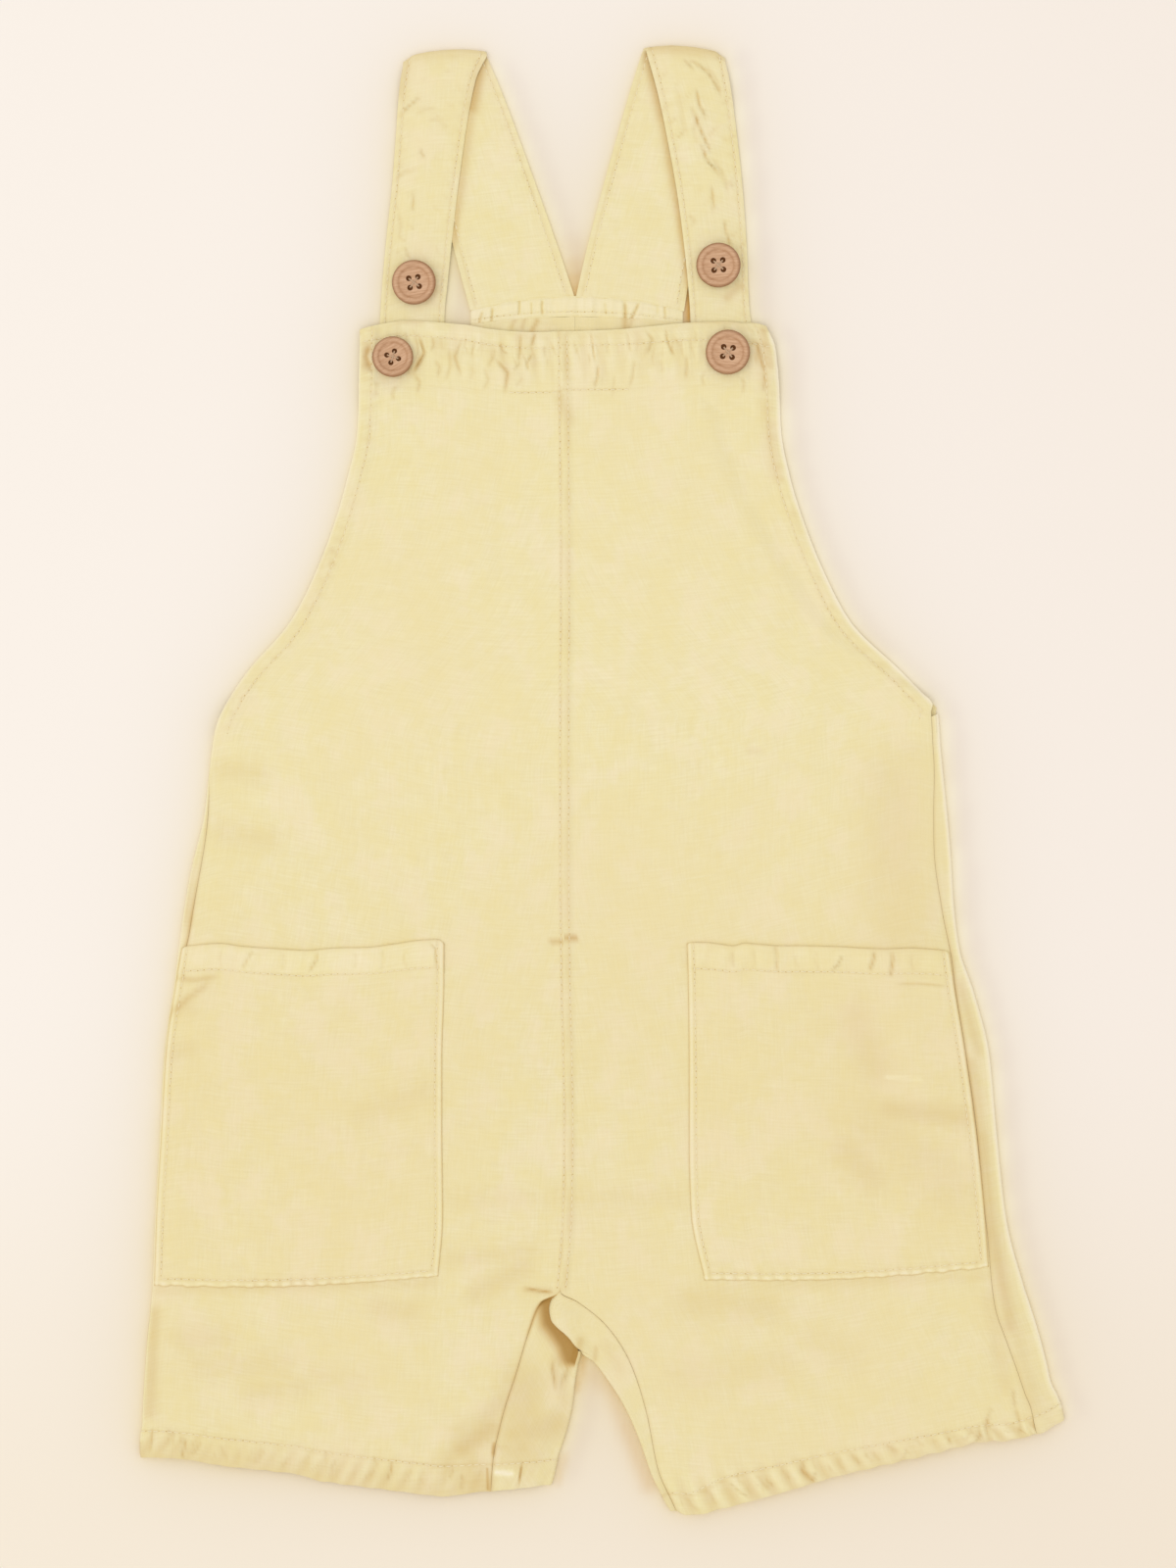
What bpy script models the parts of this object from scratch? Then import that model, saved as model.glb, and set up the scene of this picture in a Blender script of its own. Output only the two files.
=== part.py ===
"""Baby dungaree shorts in soft linen, laid flat with the front up.

The tables hold millimetres and the scene is in metres. +Y points to the shoulders and +Z up from
the floor, with the origin on the floor under the middle of the garment. Left and right are as seen
from above. Each cut piece is a cloth wall of its own, a seam gap away from the piece it is sewn to.
"""
import math
from collections import namedtuple

import bpy
import numpy as np
from mathutils import Matrix, Vector
from mathutils.bvhtree import BVHTree

MM = 0.001

# Cloth and seams
WALL = 1.0
SEAM_GAP = 0.3
FOLD_RADIUS = 1.5
STACK_HEIGHT = 2.8
FREE_HEIGHT = 1.3
FOLD_BLEND = 8.0
SUPPORT_MARGIN = 1.5
SUPPORT_BLEND = 9.0
ARMHOLE_FOOT, ARMHOLE_FOOT_BLEND = 22.0, 12.0
ROLL_BLEND = 20.0

# Hems and the raised centre seam
ARMHOLE_HEM = 4.3
TOP_HEM = 5.0
HEM_STEP = 1.1
HEM_RISE = 0.35
LEG_HEM_RISE = 0.5
ROLLED_EDGE_TRAVEL = (1.2, 2.6)
RIDGE_HALF_WIDTH = 1.8
RIDGE_STEP = 0.8
RIDGE_RISE = 0.35

# How far up the page a bib top or a leg hem changes its curve
BOW_FADE = 22.0

# Grid
ROW_SPACING = 12.5
CLOSEST_ROWS = 1.0
FRONT_COLUMNS = 9
UNDER_COLUMNS = 12
ARC_STEPS = 5
FLAP_COLUMNS = 4

# Sections down each half of the garment. edge is its outline, mid the centre-front seam and then the
# inseam, under the centre-back seam and then the fold inside the leg. wrap is how far the back
# panel comes round to the front, or, where it is negative, how far inside the outline its armhole is.
Section = namedtuple("Section", "name edge_x edge_y wrap mid_x mid_y under_x under_y")
LEFT_SECTIONS = [
    Section("neck", -82.3, 155.6, -38.0, -13.3, 158.0, -8.7, 158.0),
    Section("bib", -82.0, 153.5, -37.3, -13.3, 152.8, -8.7, 152.2),
    Section("", -82.3, 133.8, -34.3, -13.0, 133.8, -8.7, 132.2),
    Section("", -83.0, 118.5, -31.7, -12.8, 118.5, -8.7, 117.2),
    Section("", -86.3, 103.2, -30.0, -12.7, 103.2, -8.7, 102.2),
    Section("", -90.7, 87.8, -27.7, -12.5, 87.8, -8.7, 86.8),
    Section("", -97.3, 70.5, -24.0, -12.5, 70.5, -8.7, 68.8),
    Section("", -106.0, 53.8, -19.3, -12.5, 53.8, -8.7, 51.5),
    Section("", -120.3, 37.2, -13.7, -12.7, 35.5, -8.7, 32.8),
    Section("", -126.7, 27.5, -6.7, -12.7, 25.8, -8.7, 22.8),
    Section("corner", -130.7, 18.8, 0.0, -12.7, 16.8, -8.7, 13.2),
    Section("", -132.7, 8.8, 0.0, -12.7, 6.5, -8.7, 2.2),
    Section("", -135.0, -11.2, 1.0, -12.7, -12.5, -8.7, -17.8),
    Section("", -139.7, -31.2, 1.1, -12.7, -31.2, -8.7, -36.5),
    Section("", -143.0, -51.2, 0.75, -12.5, -49.5, -8.7, -55.2),
    Section("", -145.3, -69.5, 0.35, -12.3, -67.8, -8.7, -74.5),
    Section("", -148.7, -92.8, 0.1, -11.7, -91.2, -8.3, -98.8),
    Section("", -150.3, -121.2, 0.0, -11.3, -117.8, -8.0, -127.8),
    Section("", -152.0, -151.2, 0.0, -11.7, -146.2, -7.3, -162.8),
    Section("crotch", -152.7, -171.2, 0.0, -13.7, -173.8, -6.7, -194.2),
    Section("", -153.3, -179.5, 0.0, -20.3, -177.5, -7.7, -198.8),
    Section("", -154.3, -188.5, 0.0, -24.0, -186.2, -8.7, -204.5),
    Section("", -155.3, -201.2, 0.0, -29.0, -202.5, -9.7, -213.2),
    Section("", -156.0, -212.8, 0.0, -33.7, -217.5, -11.7, -221.8),
    Section("hemline", -156.3, -220.8, 0.0, -36.7, -231.8, -14.7, -230.8),
    Section("hem", -156.7, -230.5, 0.0, -37.3, -241.5, -17.0, -239.8),
]
RIGHT_SECTIONS = [
    Section("neck", 57.7, 155.6, -29.7, -13.3, 158.0, -8.7, 158.0),
    Section("bib", 56.3, 154.8, -28.3, -13.3, 152.8, -8.7, 152.2),
    Section("", 59.3, 147.8, -30.3, -13.1, 147.8, -8.7, 146.8),
    Section("", 60.7, 133.8, -30.3, -13.0, 133.8, -8.7, 132.2),
    Section("", 61.5, 118.5, -27.9, -12.8, 118.5, -8.7, 117.2),
    Section("", 64.5, 103.2, -25.9, -12.7, 103.2, -8.7, 102.2),
    Section("", 69.3, 87.8, -23.0, -12.5, 87.8, -8.7, 86.8),
    Section("", 76.3, 70.5, -19.0, -12.5, 70.5, -8.7, 68.8),
    Section("", 85.3, 53.8, -16.0, -12.5, 53.8, -8.7, 51.5),
    Section("", 102.3, 37.2, -12.0, -12.7, 35.5, -8.7, 32.8),
    Section("", 109.0, 30.2, -6.7, -12.7, 27.2, -8.7, 24.2),
    Section("corner", 114.7, 23.8, 2.6, -12.7, 19.5, -8.7, 15.5),
    Section("", 116.0, 8.8, 2.7, -12.7, 6.5, -8.7, 2.2),
    Section("", 118.0, -11.2, 4.7, -12.7, -12.5, -8.7, -17.8),
    Section("", 119.3, -26.2, 5.7, -12.7, -27.8, -8.7, -33.2),
    Section("", 120.3, -42.8, 4.3, -12.7, -42.8, -8.7, -48.5),
    Section("", 122.3, -57.8, 3.3, -12.3, -57.8, -8.7, -63.8),
    Section("", 127.0, -71.8, 6.3, -12.2, -71.8, -8.7, -78.2),
    Section("", 132.3, -92.8, 8.0, -11.7, -91.2, -8.3, -98.8),
    Section("", 134.8, -119.5, 6.8, -11.3, -117.8, -8.0, -127.8),
    Section("", 138.2, -149.5, 7.2, -11.7, -146.2, -7.3, -162.8),
    Section("crotch", 144.0, -171.8, 11.0, -13.7, -173.8, -6.7, -194.2),
    Section("", 146.3, -178.8, 11.9, -7.7, -177.5, -2.2, -198.2),
    Section("", 149.1, -187.8, 11.4, 1.7, -185.2, 2.6, -204.5),
    Section("", 151.6, -197.2, 10.6, 9.7, -197.2, 8.4, -213.8),
    Section("", 153.5, -205.2, 9.8, 15.4, -214.5, 13.5, -225.5),
    Section("hemline", 156.0, -209.8, 10.0, 19.7, -235.2, 17.6, -237.2),
    Section("hem", 157.7, -216.8, 9.7, 25.5, -247.8, 23.8, -248.9),
]

# Soft ridges and troughs of the front, each along a line from its start to its end
Fold = namedtuple("Fold", "x0 y0 x1 y1 width height")
FOLDS = [
    Fold(8, 36, 70, 34, 8, 0.5),
    Fold(14, 24, 74, 22, 7, -0.4),
    Fold(-127, 6, -112, 4, 8, -0.4),
    Fold(-130, -18, -112, -20, 8, 0.5),
    Fold(104, 12, 104, -22, 8, -0.45),
    Fold(90, 8, 92, -32, 9, 0.4),
    Fold(-138, -80, -120, -74, 8, -0.35),
    Fold(-136, -104, -100, -90, 10, 0.6),
    Fold(-97, -124, -62, -110, 9, -0.4),
    Fold(-128, -130, -78, -144, 10, 0.5),
    Fold(70, -74, 92, -92, 8, -0.4),
    Fold(94, -98, 122, -112, 8, -0.45),
    Fold(108, -84, 108, -98, 9, 0.7),
    Fold(86, -122, 112, -134, 10, 0.8),
    Fold(-44, -150, -20, -150, 8, 0.4),
    Fold(-2, -156, 24, -156, 8, 0.4),
    Fold(-46, -182, -32, -177, 8, 0.7),
    Fold(26, -182, 54, -182, 9, -0.4),
    Fold(-148, -186, -120, -182, 9, 0.5),
    Fold(-60, -226, -42, -214, 9, -0.4),
    Fold(108, -180, 128, -200, 8, 0.5),
]
CROTCH_ROLL = Fold(-14.5, -179, -8.0, -190, 3.2, 1.3)
CROTCH_TROUGH = Fold(-19.5, -183, -13.5, -196, 2.6, -0.6)
# How far the upper end of each inseam is moved towards the fold, as a share of the way, and how
# far above the crotch the last row of the seat lies
INSEAM_END_SHIFT = 0.03
CROTCH_ROW_OFFSET = 2.0

# Curves of the bib's top edge and of each leg hem, as the rise above a straight row at each place
Rise = namedtuple("Rise", "x rise")
BIB_TOP = [
    Rise(-82.0, 0.0),
    Rise(-75.0, 1.6),
    Rise(-66.0, 2.9),
    Rise(-47.0, 1.9),
    Rise(-38.0, 0.5),
    Rise(-24.0, -0.4),
    Rise(-13.0, 0.0),
    Rise(4.0, 0.4),
    Rise(18.0, 1.5),
    Rise(31.0, 2.6),
    Rise(41.0, 2.8),
    Rise(51.0, 1.9),
    Rise(56.5, -0.2),
]
BACK_TOP = [
    Rise(-44.5, 0.0),
    Rise(-26.5, 0.75),
    Rise(-8.7, 0.0),
    Rise(9.5, 0.75),
    Rise(28.0, 0.0),
]
LEG_HEMS = {
    "left": [
        Rise(-157.0, 0.0),
        Rise(-143.0, 0.8),
        Rise(-128.0, -0.3),
        Rise(-104.0, -0.6),
        Rise(-96.0, -2.2),
        Rise(-69.0, -3.2),
        Rise(-55.0, -3.6),
        Rise(-37.0, -0.3),
        Rise(-16.0, 0.0),
    ],
    "right": [
        Rise(23.0, 0.0),
        Rise(26.0, -0.6),
        Rise(29.0, -2.7),
        Rise(33.5, -3.7),
        Rise(56.0, -3.2),
        Rise(84.0, -1.7),
        Rise(111.0, -1.7),
        Rise(128.0, -1.5),
        Rise(140.0, -3.4),
        Rise(148.5, -3.4),
        Rise(158.0, -0.8),
    ],
}

# Patch pockets: the left and right edge at each level, and how far the top and bottom edges hang
PocketRow = namedtuple("PocketRow", "left_x left_y right_x right_y")
POCKETS = {
    "left": [
        PocketRow(-142.1, -56.5, -53.3, -55.2),
        PocketRow(-143.8, -67.8, -53.3, -67.8),
        PocketRow(-147.4, -92.8, -54.0, -95.5),
        PocketRow(-149.0, -121.2, -54.0, -121.2),
        PocketRow(-150.5, -147.8, -53.7, -147.8),
        PocketRow(-151.4, -171.8, -55.3, -168.5),
    ],
    "right": [
        PocketRow(29.3, -55.2, 118.0, -58.2),
        PocketRow(29.7, -68.5, 119.8, -70.5),
        PocketRow(30.0, -95.5, 123.5, -92.8),
        PocketRow(30.0, -122.8, 127.1, -118.0),
        PocketRow(30.7, -147.2, 129.8, -144.5),
        PocketRow(35.3, -169.8, 131.4, -165.5),
    ],
}
POCKET_HANG = 1.9
# Rows down a pocket as shares of its height, the second and third at the step of its hem
POCKET_LEVELS = [0.0, 0.075, 0.085, 0.2, 0.32, 0.44, 0.56, 0.68, 0.8, 0.9, 1.0]
POCKET_COLUMNS = 10
# Where each quad of a pocket is held clear of its panel, and how often that is done
LAY_SAMPLES = (0.0, 0.25, 0.5, 0.75, 1.0)
LAY_PASSES = 2

# Straps: both edges from the back seam over the shoulder to the end behind the bib, and the height
# of the upper face. Rows before the turn lie on the floor with their outer face down.
StrapRow = namedtuple("StrapRow", "left_x left_y right_x right_y height")
STRAPS = {
    "left": {
        "under": [
            StrapRow(-44.5, 160.3, -9.0, 165.1, 0.0),
            StrapRow(-48.7, 176.0, -14.0, 180.0, 0.0),
            StrapRow(-56.0, 205.0, -25.0, 211.0, 0.0),
            StrapRow(-63.0, 231.0, -34.5, 236.5, 0.0),
            StrapRow(-67.2, 244.4, -38.8, 246.5, 0.0),
        ],
        "over": [
            StrapRow(-67.3, 244.4, -38.8, 246.5, 3.0),
            StrapRow(-68.6, 235.0, -42.6, 238.5, 2.7),
            StrapRow(-70.9, 205.0, -48.0, 206.5, 2.5),
            StrapRow(-73.5, 180.0, -51.0, 181.0, 2.4),
            StrapRow(-74.5, 168.0, -52.3, 168.3, 1.7),
            StrapRow(-75.1, 158.5, -53.2, 158.7, 1.1),
            StrapRow(-75.6, 146.0, -53.4, 146.0, 1.0),
            StrapRow(-76.3, 134.0, -54.3, 134.0, 1.0),
        ],
    },
    "right": {
        "under": [
            StrapRow(-8.4, 165.1, 28.4, 160.3, 0.0),
            StrapRow(-5.0, 180.0, 31.0, 176.0, 0.0),
            StrapRow(3.2, 211.0, 36.5, 205.0, 0.0),
            StrapRow(10.5, 236.5, 41.0, 232.0, 0.0),
            StrapRow(14.2, 248.2, 42.5, 245.6, 0.0),
        ],
        "over": [
            StrapRow(15.7, 248.4, 42.5, 245.6, 3.0),
            StrapRow(19.3, 234.5, 44.4, 235.0, 2.8),
            StrapRow(22.8, 218.0, 46.3, 221.0, 2.8),
            StrapRow(26.4, 197.5, 48.6, 198.8, 2.5),
            StrapRow(29.0, 176.5, 50.0, 177.0, 2.4),
            StrapRow(29.9, 167.0, 50.3, 167.5, 1.8),
            StrapRow(30.5, 158.6, 50.8, 159.4, 1.1),
            StrapRow(30.8, 147.0, 53.3, 147.0, 1.0),
            StrapRow(31.2, 134.5, 55.0, 134.5, 1.0),
        ],
    },
}
STRAP_WIDTH = 25.0
STRAP_COLUMNS = 6
STRAP_TURN_STEPS = 6
STRAP_ROW_SPACING = 9.0
STRAP_EDGE = 1.6
STRAP_EDGE_RISE = 0.15

# Casing across the top of the back, drawn up in gathers
CASING_LEFT, CASING_RIGHT, CASING_MIDDLE = -44.3, 28.0, -8.7
CASING_TOP, CASING_TOP_DROP = 164.7, 4.6
CASING_FOOT, CASING_FOOT_DROP = 158.3, 2.6
CASING_HALF = 36.0
CASING_COLUMNS = 41
# Rows of the casing from its top edge to its foot, and how full its gathers are at each
CasingRow = namedtuple("CasingRow", "share fullness")
CASING_ROWS = [
    CasingRow(0.0, 0.6),
    CasingRow(0.18, 0.35),
    CasingRow(0.6, 1.0),
    CasingRow(1.0, 0.8),
]
GATHERS = 8
GATHER_FLAT_ENDS = 1 / 8
GATHER_DRIFT, GATHER_DRIFT_RATE = 0.02, 11.0
GATHER_RISE = 0.55
BACK_GATHER_RISE = 0.35
BACK_GATHER_LENGTH = 30.0

# Four-hole wooden buttons: centre, turn of the holes, tilt and the direction that the low side faces
ButtonPlace = namedtuple("ButtonPlace", "name x y turn tilt low_side")
BUTTONS = [
    ButtonPlace("button_strap_left", -63.3, 169.4, 8, 7, 215),
    ButtonPlace("button_strap_right", 40.1, 175.2, 4, 4, 225),
    ButtonPlace("button_bib_left", -70.7, 143.8, 28, 3, 60),
    ButtonPlace("button_bib_right", 43.3, 145.6, -6, 7, 225),
]
BUTTON_SIDES = 24
BUTTON_HOLE_SIDES = 10
BUTTON_HOLE_RADIUS = 0.8
BUTTON_HOLE_SPACING = 3.2
BUTTON_HOLE_FOOT, BUTTON_HOLE_TOP = -2.0, 6.0
# Half profile from the centre of the underside to the centre of the dish
ProfilePoint = namedtuple("ProfilePoint", "radius height")
BUTTON_PROFILE = [
    ProfilePoint(5.2, 0.0),
    ProfilePoint(6.9, 0.5),
    ProfilePoint(7.4, 1.5),
    ProfilePoint(7.1, 2.5),
    ProfilePoint(6.3, 2.9),
    ProfilePoint(5.4, 2.7),
    ProfilePoint(4.6, 2.1),
    ProfilePoint(3.0, 1.9),
]

# Points of that profile that face the cloth
BUTTON_UNDERSIDE = 3

UP = np.array([0.0, 0.0, 1.0])
# A height above all of the cloth
LOOK_FROM = 50.0

LINEN = (0.84, 0.75, 0.47, 1.0)
LINEN_WARM = (0.83, 0.73, 0.44, 1.0)
WOOD = (0.60, 0.38, 0.25, 1.0)


def smoothstep(t):
    t = np.clip(t, 0.0, 1.0)
    return t * t * (3.0 - 2.0 * t)


def smooth_through(knots, values, at):
    """Cubic curve through the rows of a table that never swings past them."""
    knots = np.asarray(knots, float)
    values = np.asarray(values, float)
    at = np.atleast_1d(np.asarray(at, float))
    step = np.diff(knots)
    slope = np.diff(values, axis=0) / step[:, None]
    tangent = np.zeros_like(values)
    tangent[0], tangent[-1] = slope[0], slope[-1]
    before, after = slope[:-1], slope[1:]
    same_way = before * after > 0
    total = np.where(same_way, before + after, 1.0)
    tangent[1:-1] = np.where(same_way, 2.0 * before * after / total, 0.0)
    i = np.clip(np.searchsorted(knots, at, side="right") - 1, 0, len(step) - 1)
    t = ((at - knots[i]) / step[i])[:, None]
    h = step[i][:, None]
    return (
        (2 * t**3 - 3 * t**2 + 1) * values[i]
        + (t**3 - 2 * t**2 + t) * h * tangent[i]
        + (3 * t**2 - 2 * t**3) * values[i + 1]
        + (t**3 - t**2) * h * tangent[i + 1]
    )


def centre_seam(columns):
    """Places of a centre seam from the neck to the crotch, which both halves share."""
    names = [row.name for row in LEFT_SECTIONS]
    return np.array([row[1:] for row in LEFT_SECTIONS[:names.index("crotch") + 1]])[:, columns]


FRONT_SEAM = centre_seam((3, 4))
BACK_SEAM = centre_seam((5, 6))


class Half:
    """One half of the garment, with its section table read as smooth curves."""

    def __init__(self, side, rows):
        self.side = side
        self.sign = -1.0 if side == "left" else 1.0
        self.table = np.array([row[1:] for row in rows], float)
        lines = [self.table[:, columns] for columns in ((0, 1), (3, 4), (5, 6))]
        steps = sum(np.linalg.norm(np.diff(line, axis=0), axis=1) for line in lines) / len(lines)
        self.knots = np.concatenate([[0.0], np.cumsum(steps)])
        self.at = {row.name: knot for row, knot in zip(rows, self.knots) if row.name}

    def column(self, columns, v):
        return smooth_through(self.knots, self.table[:, columns], v)

    def edge(self, v):
        return self.column((0, 1), v)

    def wrap(self, v):
        return self.column((2,), v)[:, 0]

    def mid(self, v):
        return self.on_seam(self.column((3, 4), v), v, FRONT_SEAM)

    def under(self, v):
        return self.on_seam(self.column((5, 6), v), v, BACK_SEAM)

    def on_seam(self, line, v, seam):
        """Puts the part above the crotch on the seam that both halves share."""
        shared = smooth_through(seam[::-1, 1], seam[::-1, :1], line[:, 1])[:, 0]
        line[:, 0] = np.where(v <= self.at["crotch"], shared, line[:, 0])
        return line

    def across(self, line, v):
        """Unit vector in plan, square to a line and towards the right of the page."""
        reach = 0.5
        tangent = line(np.minimum(v + reach, self.knots[-1])) - line(np.maximum(v - reach, 0.0))
        tangent /= np.linalg.norm(tangent, axis=1)[:, None]
        return np.stack([-tangent[:, 1], tangent[:, 0]], axis=1)

    def inward(self, v):
        return -self.sign * self.across(self.edge, v)

    def outward(self, line, v):
        return self.sign * self.across(line, v)

    def stations(self, first, last, extra=()):
        """Row places from one named section to another, with every table row and some between."""
        start, end = self.at[first], self.at[last]
        rows = [k for k in self.knots if start <= k <= end]
        places = [start]
        for a, b in zip(rows[:-1], rows[1:]):
            count = max(1, round((b - a) / ROW_SPACING))
            places += [a + (b - a) * i / count for i in range(1, count + 1)]
        places += [v for v in extra if start < v < end]
        kept = []
        for v in sorted(places):
            named = any(abs(v - k) < 1e-6 for k in list(self.at.values()) + list(extra))
            close = kept and v - kept[-1][0] < CLOSEST_ROWS
            if close and not named:
                continue
            if close and not kept[-1][1]:
                kept.pop()
            kept.append((v, named))
        return np.array([v for v, named in kept])


HALVES = {"left": Half("left", LEFT_SECTIONS), "right": Half("right", RIGHT_SECTIONS)}


def distance_to_line(line, x, y):
    """Distance in plan from each point to a polyline."""
    points = np.stack([np.ravel(x), np.ravel(y)], axis=1)
    start, run = line[:-1], np.diff(line, axis=0)
    offset = points[:, None, :] - start[None]
    t = np.clip((offset * run).sum(axis=2) / (run * run).sum(axis=1), 0.0, 1.0)
    nearest = np.linalg.norm(offset - t[..., None] * run, axis=2).min(axis=1)
    return nearest.reshape(np.shape(x))


def fold_lines():
    """Lines where the cloth turns under: both sides below the armholes and inside both legs."""
    lines = []
    for half in HALVES.values():
        lines.append(half.edge(np.linspace(half.at["corner"] + ROLL_BLEND / 2, half.at["hem"], 60)))
        lines.append(half.under(np.linspace(half.at["crotch"], half.at["hem"], 30)))
    return lines


def back_armholes():
    """Hidden armhole edges of the back, as x for each y from the corner up."""
    edges = {}
    for side, half in HALVES.items():
        v = np.linspace(half.at["corner"], half.at["neck"], 60)
        line = half.edge(v)
        line[:, 0] += half.sign * np.minimum(half.wrap(v), 0.0)
        edges[side] = line
    return edges


FOLD_LINES = fold_lines()
BACK_ARMHOLES = back_armholes()


def support(x, y):
    """1 where the front rests on the back or on a strap end, 0 where it lies near the floor."""
    beyond = np.full(np.shape(x), -1000.0)
    for side, line in BACK_ARMHOLES.items():
        sign = HALVES[side].sign
        past = sign * (x - np.interp(y, line[:, 1], line[:, 0]))
        beyond = np.maximum(beyond, past)
    on_back = 1.0 - smoothstep((beyond - SUPPORT_MARGIN) / SUPPORT_BLEND)
    below_armholes = smoothstep((ARMHOLE_FOOT - y) / ARMHOLE_FOOT_BLEND)
    held = np.maximum(on_back, below_armholes)
    for strap in STRAPS.values():
        end = strap["over"][-1]
        top = strap["over"][-3]
        middle = (end.left_x + end.right_x + top.left_x + top.right_x) / 4
        half_width = (end.right_x - end.left_x) / 2 + SUPPORT_MARGIN
        sideways = (np.abs(x - middle) - half_width) / SUPPORT_BLEND
        downward = (end.left_y - SUPPORT_MARGIN - y) / SUPPORT_BLEND
        held = np.maximum(held, (1.0 - smoothstep(sideways)) * (1.0 - smoothstep(downward)))
    return held


def fold_shape(fold, x, y):
    line = np.array([[fold.x0, fold.y0], [fold.x1, fold.y1]], float)
    return fold.height * np.exp(-((distance_to_line(line, x, y) / fold.width) ** 2))


def top_height(x, y):
    """Height of the upper face of the laid garment, without hems and pockets."""
    height = FREE_HEIGHT + (STACK_HEIGHT - FREE_HEIGHT) * support(x, y)
    height = height + sum(fold_shape(fold, x, y) for fold in FOLDS) * support(x, y)
    for line in FOLD_LINES:
        near = 1.0 - smoothstep((distance_to_line(line, x, y) - FOLD_RADIUS) / FOLD_BLEND)
        height = height + (2 * FOLD_RADIUS - height) * near
    return height + fold_shape(CROTCH_ROLL, x, y) + fold_shape(CROTCH_TROUGH, x, y)


def arc_point(at, inward, angle):
    """Point of the turned-under edge: angle is -90 at the floor and +90 on top."""
    phi = np.radians(angle)
    plan = at + inward * (FOLD_RADIUS * (1.0 - math.cos(phi)))
    height = np.full(len(at), FOLD_RADIUS * (1.0 + math.sin(phi)))
    return np.column_stack([plan, height])


def on_top(plan):
    return np.column_stack([plan, top_height(plan[:, 0], plan[:, 1])])


def on_floor(plan):
    return np.column_stack([plan, np.zeros(len(plan))])


def side_path(half, v, travel):
    """Point of the left side, where the seam runs on the turned edge: travel starts at the floor."""
    at, inward = half.edge(v), half.inward(v)
    turn = math.pi * FOLD_RADIUS
    phi = np.minimum(travel, turn) / FOLD_RADIUS - math.pi / 2
    reach = FOLD_RADIUS * (1.0 - np.cos(phi))
    run = FOLD_RADIUS + np.maximum(travel - turn, 0.0)
    reach = np.where(travel > turn, run, reach)
    plan = at + inward * reach[:, None]
    rolled = np.where(travel > turn, top_height(*plan.T), FOLD_RADIUS * (1.0 + np.sin(phi)))
    return np.column_stack([plan, rolled])


def seam_travel(half, v):
    """How far round the turned edge the side seam lies, from the floor."""
    wrap = np.maximum(half.wrap(v), 0.0)
    phi = np.arccos(np.clip(1.0 - wrap / FOLD_RADIUS, 0.0, 1.0))
    return FOLD_RADIUS * (math.pi / 2 + phi) + np.maximum(wrap - FOLD_RADIUS, 0.0)


def side_normal(half, v, at_corner):
    """Direction of the wall along the left side seam, from that of the open armhole corner."""
    phi = np.minimum(seam_travel(half, v) / FOLD_RADIUS, math.pi) - math.pi / 2
    rolled = -half.inward(v) * np.cos(phi)[:, None]
    rolled = np.column_stack([rolled, np.sin(phi)])
    amount = rolled_amount(half, v)
    return at_corner * (1.0 - amount) + rolled * amount


def rolled_amount(half, v):
    return smoothstep((v - half.at["corner"]) / ROLL_BLEND)[:, None]


def rise_at(curve, x):
    table = np.array(curve)
    flat = np.clip(np.nan_to_num(np.ravel(x)), table[0, 0], table[-1, 0])
    return smooth_through(table[:, 0], table[:, 1:], flat)[:, 0].reshape(np.shape(x))


def row_rise(half, v, x, panel):
    """Rise of a row above its straight line, at the top of the bib or back and at the leg hem."""
    if panel == "front":
        top = rise_at(BIB_TOP, x) * (1.0 - smoothstep((v - half.at["bib"]) / BOW_FADE))
    else:
        top = rise_at(BACK_TOP, x) * (1.0 - smoothstep((v - half.at["neck"]) / BOW_FADE))
    foot = smoothstep((v - half.at["hem"] + BOW_FADE) / BOW_FADE)
    return top + rise_at(LEG_HEMS[half.side], x) * foot


def cloth_object(name, grid, raised, thickened, flip, color, cut=None):
    """Closed wall of cloth under a grid of outer points. Missing points are left out.

    raised moves the outer face out, and thickened moves the inner face further in. cut holds the
    direction of the wall at the points on a seam, where both pieces must end side by side.
    """
    rows, columns = grid.shape[:2]
    there = ~np.isnan(grid[..., 0])
    number = np.full((rows, columns), -1)
    number[there] = np.arange(there.sum())
    points = grid[there]
    quads = []
    for r in range(rows - 1):
        for c in range(columns - 1):
            corners = [(r, c), (r + 1, c), (r + 1, c + 1), (r, c + 1)]
            if all(there[k] for k in corners):
                quads.append([number[k] for k in (reversed(corners) if flip else corners)])
    quads = np.array(quads)
    normals = np.zeros_like(points)
    diagonals = points[quads[:, 2]] - points[quads[:, 0]], points[quads[:, 3]] - points[quads[:, 1]]
    facing = np.cross(*diagonals)
    for corner in range(4):
        np.add.at(normals, quads[:, corner], facing)
    if cut is not None:
        given = ~np.isnan(cut[there][:, 0])
        normals[given] = cut[there][given]
    normals /= np.linalg.norm(normals, axis=1)[:, None]
    outer = points + normals * raised[there][:, None]
    inner = points - normals * (WALL + thickened[there][:, None])
    count = len(points)
    edges = {}
    for quad in quads:
        for a, b in zip(quad, np.roll(quad, -1)):
            edges[(a, b)] = (b, a) not in edges
            if (b, a) in edges:
                edges[(b, a)] = False
    rims = [[b, a, a + count, b + count] for (a, b), alone in edges.items() if alone]
    faces = [list(q) for q in quads] + [[k + count for k in q[::-1]] for q in quads] + rims
    return add_object(name, np.vstack([outer, inner]) * MM, faces, cloth_material(name, color))


def cloth_material(name, color):
    material = bpy.data.materials.new(name)
    material.use_nodes = True
    shader = material.node_tree.nodes["Principled BSDF"]
    shader.inputs["Base Color"].default_value = color
    shader.inputs["Roughness"].default_value = 0.9
    shader.inputs["Metallic"].default_value = 0.0
    return material


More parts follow.
